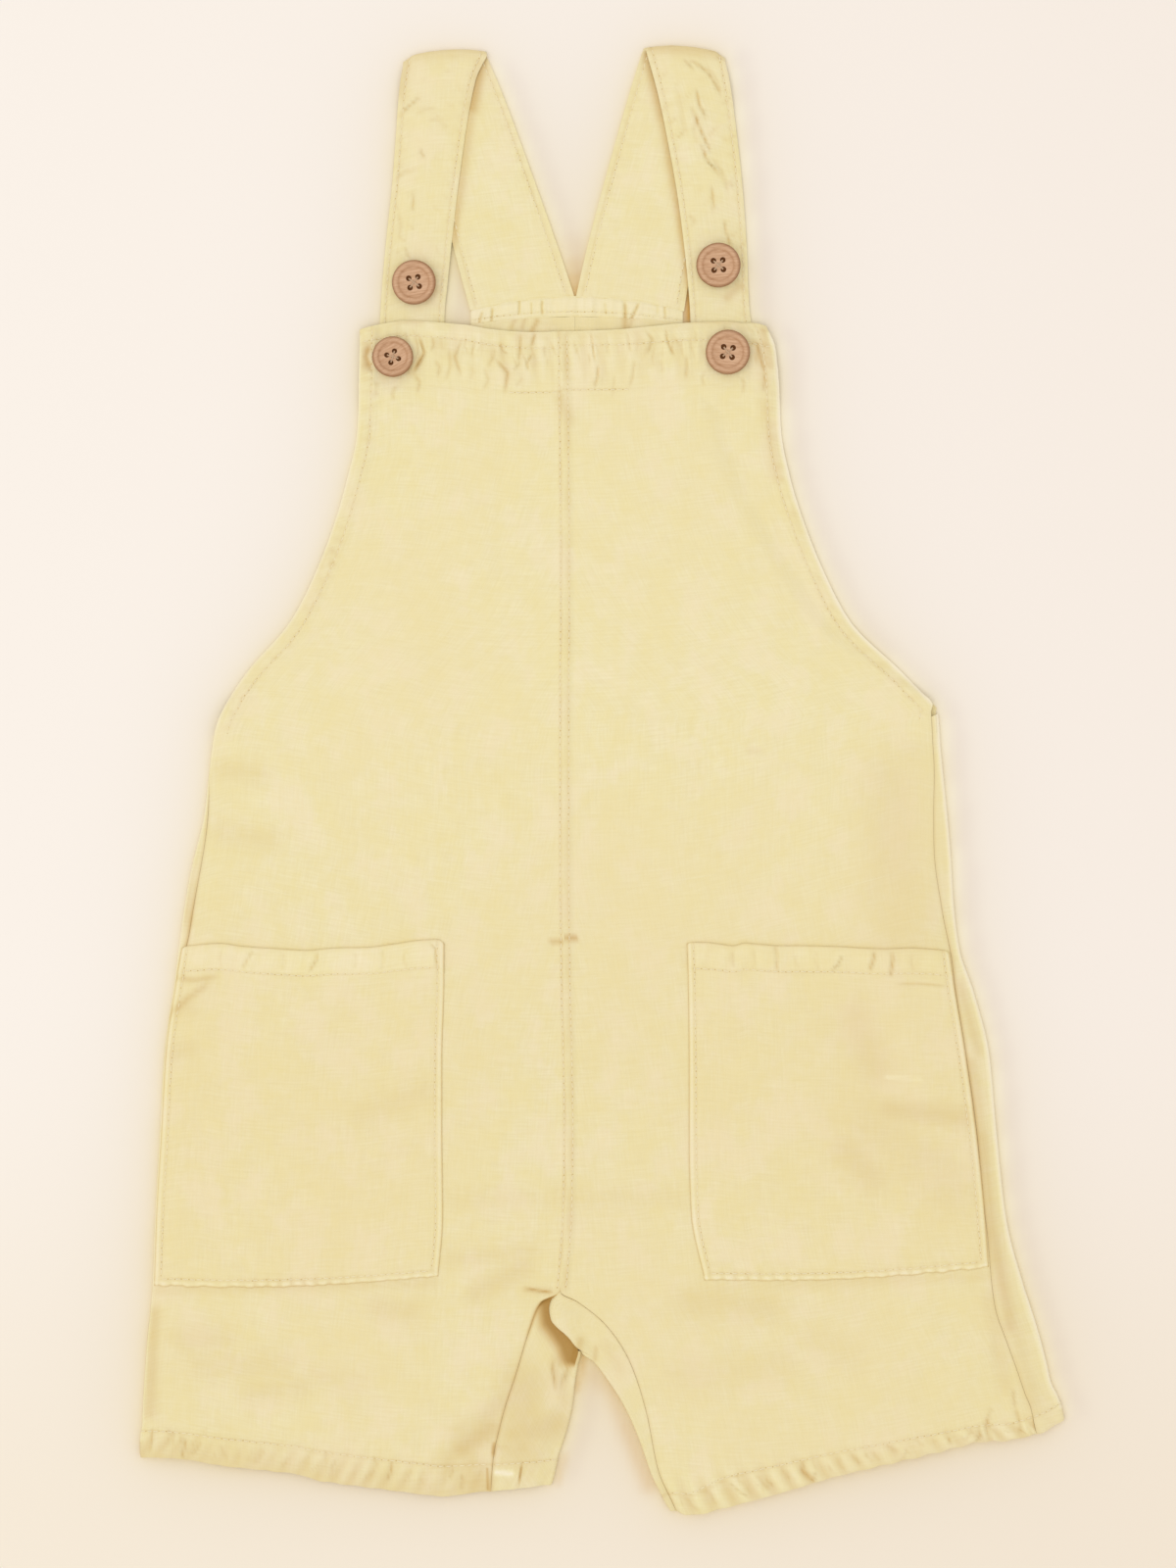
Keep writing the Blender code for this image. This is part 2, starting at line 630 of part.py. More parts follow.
def add_object(name, points, faces, material):
    mesh = bpy.data.meshes.new(name)
    mesh.from_pydata([tuple(p) for p in points], [], [[int(k) for k in f] for f in faces])
    mesh.validate()
    mesh.materials.append(material)
    made = bpy.data.objects.new(name, mesh)
    bpy.context.scene.collection.objects.link(made)
    return made


def front_panel(half):
    """Front of one side: bib, body and leg in one piece, from the armhole to the centre seam."""
    hem_rows = [half.at["bib"] + TOP_HEM, half.at["bib"] + TOP_HEM + HEM_STEP]
    hem_rows += [half.at["hemline"] - HEM_STEP]
    v = half.stations("bib", "hem", hem_rows)
    inward = half.inward(v)
    gap = SEAM_GAP / 2
    below_corner = (v >= half.at["corner"]).astype(float)
    middle = half.mid(v) + half.outward(half.mid, v) * gap
    on_side = half.side == "left"
    rounding = ROLLED_EDGE_TRAVEL if on_side else ()
    edge_travel = [0.0, *rounding, ARMHOLE_HEM, ARMHOLE_HEM + HEM_STEP]
    first = half.edge(v) + inward * (np.maximum(half.wrap(v), 0.0) + gap * below_corner)[:, None]
    columns, to_edge, to_middle = [], [], []
    for travel in edge_travel:
        flat = half.edge(v) + inward * travel if on_side else first + inward * travel
        point = on_top(flat)
        if on_side:
            rolled = side_path(half, v, seam_travel(half, v) + gap + travel)
            amount = rolled_amount(half, v)
            point = point * (1.0 - amount) + rolled * amount
        columns.append(point)
        to_edge.append(travel)
        to_middle.append(RIDGE_HALF_WIDTH + RIDGE_STEP)
    start = columns[-1][:, :2]
    width = np.linalg.norm(middle - start, axis=1)
    inner_travel = [RIDGE_HALF_WIDTH + RIDGE_STEP, RIDGE_HALF_WIDTH, 0.0]
    even = np.linspace(0.0, 1.0, FRONT_COLUMNS + 2)[1:-1]
    fractions = [np.full(len(v), f) for f in even] + [1.0 - t / width for t in inner_travel]
    for fraction in fractions:
        plan = start + (middle - start) * fraction[:, None]
        columns.append(on_top(plan))
        to_edge.append(ARMHOLE_HEM + HEM_STEP)
    to_middle += [RIDGE_HALF_WIDTH + RIDGE_STEP] * FRONT_COLUMNS + inner_travel
    grid = np.stack(columns, axis=1)
    grid[..., 1] += row_rise(half, v[:, None], grid[..., 0], "front")
    turned = len(edge_travel) if on_side else 0
    grid[:, turned:, 2] = top_height(grid[:, turned:, 0], grid[:, turned:, 1])
    raised = front_rise(half, v[:, None], np.array(to_edge)[None], np.array(to_middle)[None])
    thickened = np.zeros_like(raised)
    cut = np.full(grid.shape, np.nan)
    cut[:, -1] = UP
    if on_side:
        cut[:, 0] = side_normal(half, v, UP)
    flip = half.side == "right"
    return cloth_object(f"front_{half.side}", grid, raised, thickened, flip, LINEN, cut)


def front_rise(half, v, to_edge, to_middle):
    """Extra thickness of the doubled cloth in the hems and in the centre seam."""
    armhole = HEM_RISE * (1.0 - smoothstep((to_edge - ARMHOLE_HEM) / HEM_STEP))
    armhole = armhole * (1.0 - smoothstep((v - half.at["corner"] + BOW_FADE / 2) / (BOW_FADE / 2)))
    top = HEM_RISE * (1.0 - smoothstep((v - half.at["bib"] - TOP_HEM) / HEM_STEP))
    foot = LEG_HEM_RISE * smoothstep((v - half.at["hemline"] + HEM_STEP) / HEM_STEP)
    ridge = RIDGE_RISE * (1.0 - smoothstep((to_middle - RIDGE_HALF_WIDTH) / RIDGE_STEP))
    ridge = ridge * (1.0 - smoothstep((v - half.at["crotch"] + BOW_FADE) / BOW_FADE))
    return np.maximum(np.maximum(armhole, top), np.maximum(foot, ridge))


def back_panel(half):
    """Back of one side. It lies face down, turns up round the outline and round the inner leg."""
    extra_rows = [half.at["crotch"] - CROTCH_ROW_OFFSET, half.at["hemline"] - HEM_STEP]
    v = half.stations("neck", "hem", extra_rows)
    gap = SEAM_GAP / 2
    inward, outward = half.inward(v), half.outward(half.under, v)
    sided = v >= half.at["corner"] - 1e-6
    legged = v >= half.at["crotch"] - 1e-6
    arc_angles = np.linspace(90.0, -90.0, ARC_STEPS + 1)
    columns = []
    if half.side == "left":
        turned = seam_travel(half, v) - gap
        for share in np.linspace(1.0, 0.0, ARC_STEPS + 1)[:-1]:
            rolled = side_path(half, v, turned * share)
            flat = on_floor(half.edge(v) + inward * (FOLD_RADIUS * (1.0 - share)))
            amount = rolled_amount(half, v)
            columns.append(np.where(sided[:, None], flat * (1 - amount) + rolled * amount, np.nan))
    else:
        seam = half.edge(v) + inward * (half.wrap(v) - gap)[:, None]
        tangent = half.edge(v) + inward * FOLD_RADIUS
        for share in (0.0, 0.5):
            turned = on_top(seam * (1 - share) + tangent * share)
            columns.append(np.where(sided[:, None], turned, np.nan))
        for angle in arc_angles[:-1]:
            columns.append(np.where(sided[:, None], arc_point(half.edge(v), inward, angle), np.nan))
    armhole = half.edge(v)
    armhole[:, 0] += half.sign * np.minimum(half.wrap(v), 0.0)
    start = np.where(sided[:, None], half.edge(v) + inward * FOLD_RADIUS, armhole)
    centre = half.under(v) + outward * gap
    end = np.where(legged[:, None], half.under(v) + outward * FOLD_RADIUS, centre)
    bottom_first = len(columns)
    for share in np.linspace(0.0, 1.0, UNDER_COLUMNS + 1):
        columns.append(on_floor(start * (1.0 - share) + end * share))
    bottom_last = len(columns) - 1
    inseam = half.mid(v) - half.outward(half.mid, v) * gap
    crotch_row = np.argmax(legged)
    fold = half.under(v)
    fold[crotch_row, 0] += half.sign * gap
    inseam[crotch_row] += (fold[crotch_row] - inseam[crotch_row]) * INSEAM_END_SHIFT
    inseam[crotch_row, 0] += half.sign * gap
    for angle in arc_angles[::-1][1:]:
        columns.append(np.where(legged[:, None], arc_point(fold, outward, angle), np.nan))
    for share in np.linspace(0.0, 1.0, FLAP_COLUMNS + 1)[1:]:
        plan = fold * (1.0 - share) + inseam * share
        plan = plan + outward * (FOLD_RADIUS * (1.0 - share) ** 2)
        columns.append(np.where(legged[:, None], on_top(plan), np.nan))
    grid = np.stack(columns, axis=1)
    grid[..., 1] += row_rise(half, v[:, None], grid[..., 0], "back")
    gathers = gather_wave(grid[..., 0]) * BACK_GATHER_RISE
    gathers = gathers * (1.0 - smoothstep((v[:, None] - half.at["neck"]) / BACK_GATHER_LENGTH))
    gathers[:, bottom_last + 1:] = 0.0
    gathers = np.nan_to_num(gathers)
    raised = np.zeros_like(gathers)
    foot = LEG_HEM_RISE * smoothstep((v - half.at["hemline"] + HEM_STEP) / HEM_STEP)
    raised[:, bottom_last + ARC_STEPS + 1:] = foot[:, None]
    if half.side == "right":
        raised[:, :2] = foot[:, None]
    cut = np.full(grid.shape, np.nan)
    cut[:, -1] = UP
    cut[crotch_row, -FLAP_COLUMNS:] = UP
    if half.side == "left":
        cut[:, 0] = side_normal(half, v, -UP)
    flip = half.side == "left"
    return cloth_object(f"back_{half.side}", grid, raised, gathers, flip, LINEN_WARM, cut)


def gather_wave(x):
    """Ridges of the gathers between 0 and 1, flat at both ends of the casing."""
    place = (x - CASING_LEFT) / (CASING_RIGHT - CASING_LEFT)
    ends = smoothstep(place / GATHER_FLAT_ENDS) * smoothstep((1 - place) / GATHER_FLAT_ENDS)
    uneven = place + GATHER_DRIFT * np.sin(place * GATHER_DRIFT_RATE)
    return ends * (0.5 - 0.5 * np.cos(2 * math.pi * GATHERS * uneven))


def casing_line(x, middle, drop):
    """Height up the page of a casing edge, which drops towards both ends."""
    return middle - drop * ((x - CASING_MIDDLE) / CASING_HALF) ** 2


def back_casing():
    """Narrow gathered band between the straps and the back, seen from its inside."""
    x = np.linspace(CASING_LEFT + SEAM_GAP, CASING_RIGHT - SEAM_GAP, CASING_COLUMNS)
    top = casing_line(x, CASING_TOP, CASING_TOP_DROP) - SEAM_GAP / 2
    foot = casing_line(x, CASING_FOOT, CASING_FOOT_DROP) + SEAM_GAP / 2
    rows = [top + (foot - top) * row.share for row in CASING_ROWS]
    grid = np.stack([np.column_stack([x, y, np.zeros(len(x))]) for y in rows])
    fullness = np.array([row.fullness for row in CASING_ROWS])[:, None]
    thickened = gather_wave(x)[None] * fullness * GATHER_RISE
    return cloth_object("back_casing", grid, np.zeros_like(thickened), thickened, True, LINEN_WARM)


def pocket_plan(side, across, down):
    """Plan point of a pocket from shares of its width and height."""
    rows = np.array(POCKETS[side])
    levels = np.linspace(0.0, 1.0, len(rows))
    row = smooth_through(levels, rows, down)
    plan = row[:, :2] * (1.0 - across)[:, None] + row[:, 2:] * across[:, None]
    plan[:, 1] -= POCKET_HANG * np.sin(math.pi * across) * np.abs(2.0 * down - 1.0)
    return plan


def face_below(tree, x, y):
    """Height of the first face met from above at a point, in millimetres."""
    hit = tree.ray_cast(Vector((x, y, LOOK_FROM)) * MM, Vector((0.0, 0.0, -1.0)))[0]
    return hit.z / MM if hit else 0.0


def panel_tree(panel):
    faces = [list(face.vertices) for face in panel.data.polygons]
    return BVHTree.FromPolygons([corner.co for corner in panel.data.vertices], faces)


def lay_on(grid, panel):
    """Sets each point of the grid on the panel, and lifts it where a quad would cut in between."""
    tree = panel_tree(panel)
    rows, columns = grid.shape[:2]
    for r in range(rows):
        for c in range(columns):
            grid[r, c, 2] = face_below(tree, *grid[r, c, :2])
    steps = [(a, b) for a in LAY_SAMPLES for b in LAY_SAMPLES]
    for _ in range(LAY_PASSES):
        lift = np.zeros((rows, columns))
        for r in range(rows - 1):
            for c in range(columns - 1):
                corners = grid[r:r + 2, c:c + 2]
                short = 0.0
                for a, b in steps:
                    top = corners[0, 0] * (1 - b) + corners[0, 1] * b
                    point = top * (1 - a) + (corners[1, 0] * (1 - b) + corners[1, 1] * b) * a
                    short = max(short, face_below(tree, point[0], point[1]) - point[2])
                lift[r:r + 2, c:c + 2] = np.maximum(lift[r:r + 2, c:c + 2], short)
        grid[..., 2] += lift


def pocket(side, panel):
    """Patch pocket, made from the front's own points and moved out from them."""
    across = np.linspace(0.0, 1.0, POCKET_COLUMNS)
    grid = np.zeros((len(POCKET_LEVELS), len(across), 3))
    for r, down in enumerate(POCKET_LEVELS):
        grid[r, :, :2] = pocket_plan(side, across, np.full(len(across), down))
    lay_on(grid, panel)
    down = np.array(POCKET_LEVELS)[:, None]
    hem_start, hem_end = POCKET_LEVELS[1:3]
    hem = HEM_RISE * (1.0 - smoothstep((down - hem_start) / (hem_end - hem_start)))
    raised = SEAM_GAP + WALL + hem + np.zeros(grid.shape[:2])
    inset = np.full(grid.shape[:2], -WALL - SEAM_GAP)
    return cloth_object(f"pocket_{side}", grid, raised, inset, False, LINEN)


def strap(side):
    """Strap of one folded length, from the back seam over the shoulder to its end behind the bib."""
    under = strap_rows(STRAPS[side]["under"])
    over = strap_rows(STRAPS[side]["over"])
    turn = []
    a, b = under[-1], over[0]
    for step in range(1, STRAP_TURN_STEPS):
        phi = math.pi * step / STRAP_TURN_STEPS
        share = step / STRAP_TURN_STEPS
        row = a * (1.0 - share) + b * share
        lift = over[0][4] / 2
        row[[1, 3]] += lift * math.sin(phi)
        row[4] = lift * (1.0 - math.cos(phi))
        turn.append(row)
    rows = np.vstack([under, turn, over])
    inside = STRAP_EDGE / STRAP_WIDTH
    shares = [0.0, inside] + list(np.linspace(inside, 1 - inside, STRAP_COLUMNS - 2)[1:-1])
    shares += [1 - inside, 1.0]
    grid = np.zeros((len(rows), len(shares), 3))
    for c, share in enumerate(shares):
        grid[:, c, 0] = rows[:, 0] * (1 - share) + rows[:, 2] * share
        grid[:, c, 1] = rows[:, 1] * (1 - share) + rows[:, 3] * share
        grid[:, c, 2] = rows[:, 4]
    grid[0, :, 1] = casing_line(grid[0, :, 0], CASING_TOP, CASING_TOP_DROP) + SEAM_GAP / 2
    raised = np.zeros(grid.shape[:2])
    on_front = np.arange(len(rows)) >= len(under) + len(turn) + 1
    raised[:, [0, 1, -2, -1]] = STRAP_EDGE_RISE * on_front[:, None]
    return cloth_object(f"strap_{side}", grid, raised, np.zeros_like(raised), False, LINEN)


def strap_rows(rows):
    """Rows of a strap table, read through at an even spacing."""
    table = np.array(rows, float)
    middle = (table[:, 0:2] + table[:, 2:4]) / 2
    knots = np.concatenate([[0.0], np.cumsum(np.linalg.norm(np.diff(middle, axis=0), axis=1))])
    count = round(knots[-1] / STRAP_ROW_SPACING)
    return smooth_through(knots, table, np.linspace(0.0, knots[-1], count + 1))


def button(place, cloth):
    """Turned button with a raised rim, a dished middle and four holes."""
    points = [(0.0, 0.0, 0.0)]
    for ring in BUTTON_PROFILE:
        for side in range(BUTTON_SIDES):
            angle = 2 * math.pi * side / BUTTON_SIDES
            points.append((ring.radius * math.cos(angle), ring.radius * math.sin(angle), ring.height))
    points.append((0.0, 0.0, BUTTON_PROFILE[-1].height))
    faces = []
    for side in range(BUTTON_SIDES):
        after = (side + 1) % BUTTON_SIDES
        faces.append([0, 1 + after, 1 + side])
        for ring in range(len(BUTTON_PROFILE) - 1):
            low, high = 1 + ring * BUTTON_SIDES, 1 + (ring + 1) * BUTTON_SIDES
            faces.append([low + side, low + after, high + after, high + side])
        last = 1 + (len(BUTTON_PROFILE) - 1) * BUTTON_SIDES
        faces.append([last + side, last + after, len(points) - 1])
    made = add_object(place.name, np.array(points) * MM, faces, wood_material(place.name))
    made.data.shade_smooth()
    made.data.set_sharp_from_angle(angle=math.radians(40))
    cutter = hole_cutter(place.name + "_holes")
    cutter.parent = made
    holes = made.modifiers.new("holes", "BOOLEAN")
    holes.operation = "DIFFERENCE"
    holes.solver = "EXACT"
    holes.object = cutter
    seat_button(made, place, panel_tree(cloth))


def seat_button(made, place, tree):
    """Turns and tilts a button, and sets its underside a seam gap above the cloth."""
    tilt, low_side = math.radians(place.tilt), math.radians(place.low_side)
    spin = Matrix.Rotation(math.radians(place.turn), 4, "Z")
    lean = Matrix.Rotation(tilt, 4, Vector((-math.sin(low_side), math.cos(low_side), 0.0)))
    height = 0.0
    for ring in BUTTON_PROFILE[:BUTTON_UNDERSIDE]:
        for side in range(BUTTON_SIDES):
            angle = 2 * math.pi * side / BUTTON_SIDES
            x = place.x + ring.radius * math.cos(angle)
            y = place.y + ring.radius * math.sin(angle)
            under = ring.height - ring.radius * math.sin(tilt) * math.cos(angle - low_side)
            height = max(height, face_below(tree, x, y) + SEAM_GAP - under)
    place_at = Matrix.Translation(Vector((place.x, place.y, height)) * MM)
    made.matrix_world = place_at @ lean @ spin


def hole_cutter(name):
    """Four pegs that cut a button's holes."""
    points, faces = [], []
    sides = BUTTON_HOLE_SIDES
    half = BUTTON_HOLE_SPACING / 2
    for x, y in ((-half, -half), (half, -half), (half, half), (-half, half)):
        first = len(points)
        for height in (BUTTON_HOLE_FOOT, BUTTON_HOLE_TOP):
            for side in range(sides):
                angle = 2 * math.pi * side / sides
                across = BUTTON_HOLE_RADIUS * math.cos(angle)
                along = BUTTON_HOLE_RADIUS * math.sin(angle)
                points.append((x + across, y + along, height))
        for side in range(sides):
            after = (side + 1) % sides
            faces.append([first + side, first + after, first + sides + after, first + sides + side])
        faces.append([first + side for side in reversed(range(sides))])
        faces.append([first + sides + side for side in range(sides)])
    cutter = add_object(name, np.array(points) * MM, faces, wood_material(name))
    cutter.hide_render = True
    cutter.display_type = "WIRE"
    return cutter


def wood_material(name):
    material = cloth_material(name, WOOD)
    material.node_tree.nodes["Principled BSDF"].inputs["Roughness"].default_value = 0.6
    return material


def main():
    for old in list(bpy.data.objects):
        bpy.data.objects.remove(old, do_unlink=True)
    carriers = {}
    for side, half in HALVES.items():
        carriers[f"button_bib_{side}"] = front_panel(half)
        pocket(side, carriers[f"button_bib_{side}"])
        back_panel(half)
        carriers[f"button_strap_{side}"] = strap(side)
    back_casing()
    for place in BUTTONS:
        button(place, carriers[place.name])


main()
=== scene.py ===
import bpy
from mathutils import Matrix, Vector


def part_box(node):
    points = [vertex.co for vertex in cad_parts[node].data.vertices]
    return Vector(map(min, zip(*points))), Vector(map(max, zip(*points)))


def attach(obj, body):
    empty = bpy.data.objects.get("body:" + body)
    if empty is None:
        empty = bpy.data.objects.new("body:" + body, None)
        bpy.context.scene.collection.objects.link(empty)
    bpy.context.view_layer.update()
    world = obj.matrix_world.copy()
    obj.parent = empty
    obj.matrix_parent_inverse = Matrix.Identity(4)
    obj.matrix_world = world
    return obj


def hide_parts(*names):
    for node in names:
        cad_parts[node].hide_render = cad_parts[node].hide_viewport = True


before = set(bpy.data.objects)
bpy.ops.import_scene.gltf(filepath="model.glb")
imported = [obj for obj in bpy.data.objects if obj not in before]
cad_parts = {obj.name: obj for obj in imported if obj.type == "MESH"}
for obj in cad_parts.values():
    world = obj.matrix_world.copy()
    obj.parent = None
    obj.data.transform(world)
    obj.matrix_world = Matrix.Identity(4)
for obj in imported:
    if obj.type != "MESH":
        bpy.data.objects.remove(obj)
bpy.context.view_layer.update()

# Looks of the baby dungaree shorts: linen panels with their folds, seams and stitches, wooden
# buttons, a pale floor and a soft light. Tables and distances are in millimetres, with +Y to the
# shoulders and +Z up from the floor, as in the solids. Left and right are as seen from above.
# Shade and highlights are also painted into the colours of the cloth, the buttons and the floor.
import math
from collections import namedtuple

import bpy
import numpy as np
from mathutils import Matrix, Vector

MM = 0.001

# Camera over the garment, as far up as the photograph's field needs on its long side
PHOTO_LONG_SIDE = 533.3
SENSOR = 36.0
LENS = 85.0
CAMERA_X, CAMERA_Y = -4.33, -1.17

# Cloth and seams
WALL = 0.8
SEAM_GAP = 0.08
POCKET_LIFT = 0.1
POCKET_WALL = 0.6
FOLD_RADIUS = 0.95
# Height of the front where it lies on the back, and where nothing is under it
STACK_HEIGHT = 2.8
FREE_HEIGHT = 1.0
# How far forms take to blend into each other
FOLD_BLEND = 8.0
SUPPORT_MARGIN = 1.5
SUPPORT_BLEND = 9.0
ROLL_BLEND = 20.0
BOW_FADE = 22.0
BIB_BOW_FADE = 48.0

# Grids of the cloth: columns of each part, steps round a turned edge, the finer band beside an
# edge, and the distance given to places with no seam near
FRONT_COLUMNS, BACK_COLUMNS, FLAP_COLUMNS = 128, 70, 40
CASING_COLUMNS, CASING_ROWS = 200, 18
ARC_STEPS = 12
EDGE_BAND, EDGE_STEP = 7.5, 0.6
OFF_SEAM = 20.0
CLOTH_SHARP, WOOD_SHARP = 50, 42

# Stitch lines, as distances from the nearest edge or seam
ARMHOLE_STITCH = 4.3
BIB_STITCH = 5.6
FACING_STITCH = 21.2
LEG_HEM_STITCH = 8.9
SEAM_STITCH = {"left": 1.1, "right": 1.8}
POCKET_STITCH = 2.3
POCKET_HEM_STITCH = 8.8
STRAP_STITCH = 1.9
CASING_STITCH = 1.6

# One stitch, with a disc of painted shade after it where the needle went through
STITCH_LENGTH = 1.75
STITCH_PITCH = 2.4
STITCH_RADIUS = 0.17
STITCH_STEPS = (0.0, 0.12, 0.3, 0.7, 0.88, 1.0)
STITCH_LIFT = (-0.16, 0.04, 0.12, 0.12, 0.04, -0.16)
STITCH_THICK = (0.55, 0.85, 1.0, 1.0, 0.85, 0.55)
THREAD_SIDES = 6
HOLE_RADIUS = 0.21
HOLE_SIDES = 8
# How far stitches sink into the underside, so that it rests flat
STITCH_SUNK = 0.26

# Rows of each half from the shoulder down: name of the level, side edge x and y, how far the side
# seam lies in from it, then x and y of the middle of the front and of the back
EDGE, WRAP, MIDDLE, UNDER = (0, 1), (2,), (3, 4), (5, 6)
LEFT_SECTIONS = [
    ("neck", -82.3, 155.6, -38, -13.3, 158, -8.7, 158),
    ("bib", -82, 153.5, -37.3, -13.3, 152.8, -8.7, 152.2),
    ("", -82.3, 133.8, -34.3, -13, 133.8, -8.7, 132.2),
    ("", -83, 118.5, -31.7, -12.8, 118.5, -8.7, 117.2),
    ("", -86.3, 103.2, -30, -12.7, 103.2, -8.7, 102.2),
    ("", -90.7, 87.8, -27.7, -12.5, 87.8, -8.7, 86.8),
    ("", -97.3, 70.5, -24, -12.5, 70.5, -8.7, 68.8),
    ("", -106, 53.8, -19.3, -12.5, 53.8, -8.7, 51.5),
    ("", -120.3, 37.2, -13.7, -12.7, 35.5, -8.7, 32.8),
    ("", -126.7, 27.5, -6.7, -12.7, 25.8, -8.7, 22.8),
    ("corner", -130.7, 18.8, 0, -12.7, 16.8, -8.7, 13.2),
    ("", -132.7, 8.8, 0, -12.7, 6.5, -8.7, 2.2),
    ("", -135, -11.2, 1.4, -12.7, -12.5, -8.7, -17.8),
    ("", -139.7, -31.2, 3.2, -12.7, -31.2, -8.7, -36.5),
    ("", -143, -51.2, 3, -12.5, -49.5, -8.7, -55.2),
    ("", -145.3, -69.5, 0.8, -12.3, -67.8, -8.7, -74.5),
    ("", -148.7, -92.8, 0.1, -11.7, -91.2, -8.3, -98.8),
    ("", -150.3, -121.2, 0, -11.3, -117.8, -8, -127.8),
    ("", -152, -151.2, 0, -11.7, -146.2, -7.3, -162.8),
    ("crotch", -152.7, -171.2, 0, -13.7, -173.8, -6.7, -194.2),
    ("", -153.3, -179.5, 0, -20.3, -177.5, -7.7, -198.8),
    ("", -154.3, -188.5, 0, -24, -186.2, -8.7, -204.5),
    ("", -155.3, -201.2, 0, -29, -202.5, -9.7, -213.2),
    ("", -156, -212.8, 0, -33.7, -217.5, -11.7, -221.8),
    ("hemline", -156.3, -220.8, 0, -36.7, -231.8, -14.7, -230.8),
    ("hem", -156.7, -230.5, 0, -37.3, -241.5, -17, -239.8),
]
RIGHT_SECTIONS = [
    ("neck", 57.7, 155.6, -29.7, -13.3, 158, -8.7, 158),
    ("bib", 56.3, 154.8, -28.3, -13.3, 152.8, -8.7, 152.2),
    ("", 59.3, 147.8, -30.3, -13.1, 147.8, -8.7, 146.8),
    ("", 60.7, 133.8, -30.3, -13, 133.8, -8.7, 132.2),
    ("", 61.5, 118.5, -27.9, -12.8, 118.5, -8.7, 117.2),
    ("", 64.5, 103.2, -25.9, -12.7, 103.2, -8.7, 102.2),
    ("", 69.3, 87.8, -23, -12.5, 87.8, -8.7, 86.8),
    ("", 76.3, 70.5, -19, -12.5, 70.5, -8.7, 68.8),
    ("", 85.3, 53.8, -16, -12.5, 53.8, -8.7, 51.5),
    ("", 102.3, 37.2, -12, -12.7, 35.5, -8.7, 32.8),
    ("", 109, 30.2, -6.7, -12.7, 27.2, -8.7, 24.2),
    ("corner", 114.7, 23.8, 2.6, -12.7, 19.5, -8.7, 15.5),
    ("", 116, 8.8, 2.7, -12.7, 6.5, -8.7, 2.2),
    ("", 118, -11.2, 4.7, -12.7, -12.5, -8.7, -17.8),
    ("", 119.3, -26.2, 5.7, -12.7, -27.8, -8.7, -33.2),
    ("", 120.3, -42.8, 4.3, -12.7, -42.8, -8.7, -48.5),
    ("", 122.3, -57.8, 3.3, -12.3, -57.8, -8.7, -63.8),
    ("", 127, -71.8, 6.3, -12.2, -71.8, -8.7, -78.2),
    ("", 132.3, -92.8, 8, -11.7, -91.2, -8.3, -98.8),
    ("", 134.8, -119.5, 6.8, -11.3, -117.8, -8, -127.8),
    ("", 138.2, -149.5, 7.2, -11.7, -146.2, -7.3, -162.8),
    ("crotch", 144, -171.8, 11, -13.7, -173.8, -6.7, -194.2),
    ("", 146.3, -178.8, 11.9, -7.7, -177.5, -2.2, -198.2),
    ("", 149.1, -187.8, 11.4, 1.7, -185.2, 2.6, -204.5),
    ("", 151.6, -197.2, 10.6, 9.7, -197.2, 8.4, -213.8),
    ("", 153.5, -205.2, 9.8, 15.4, -214.5, 13.5, -225.5),
    ("hemline", 156, -209.8, 10, 19.7, -235.2, 17.6, -237.2),
    ("hem", 157.7, -216.8, 9.7, 25.5, -247.8, 23.8, -248.9),
]

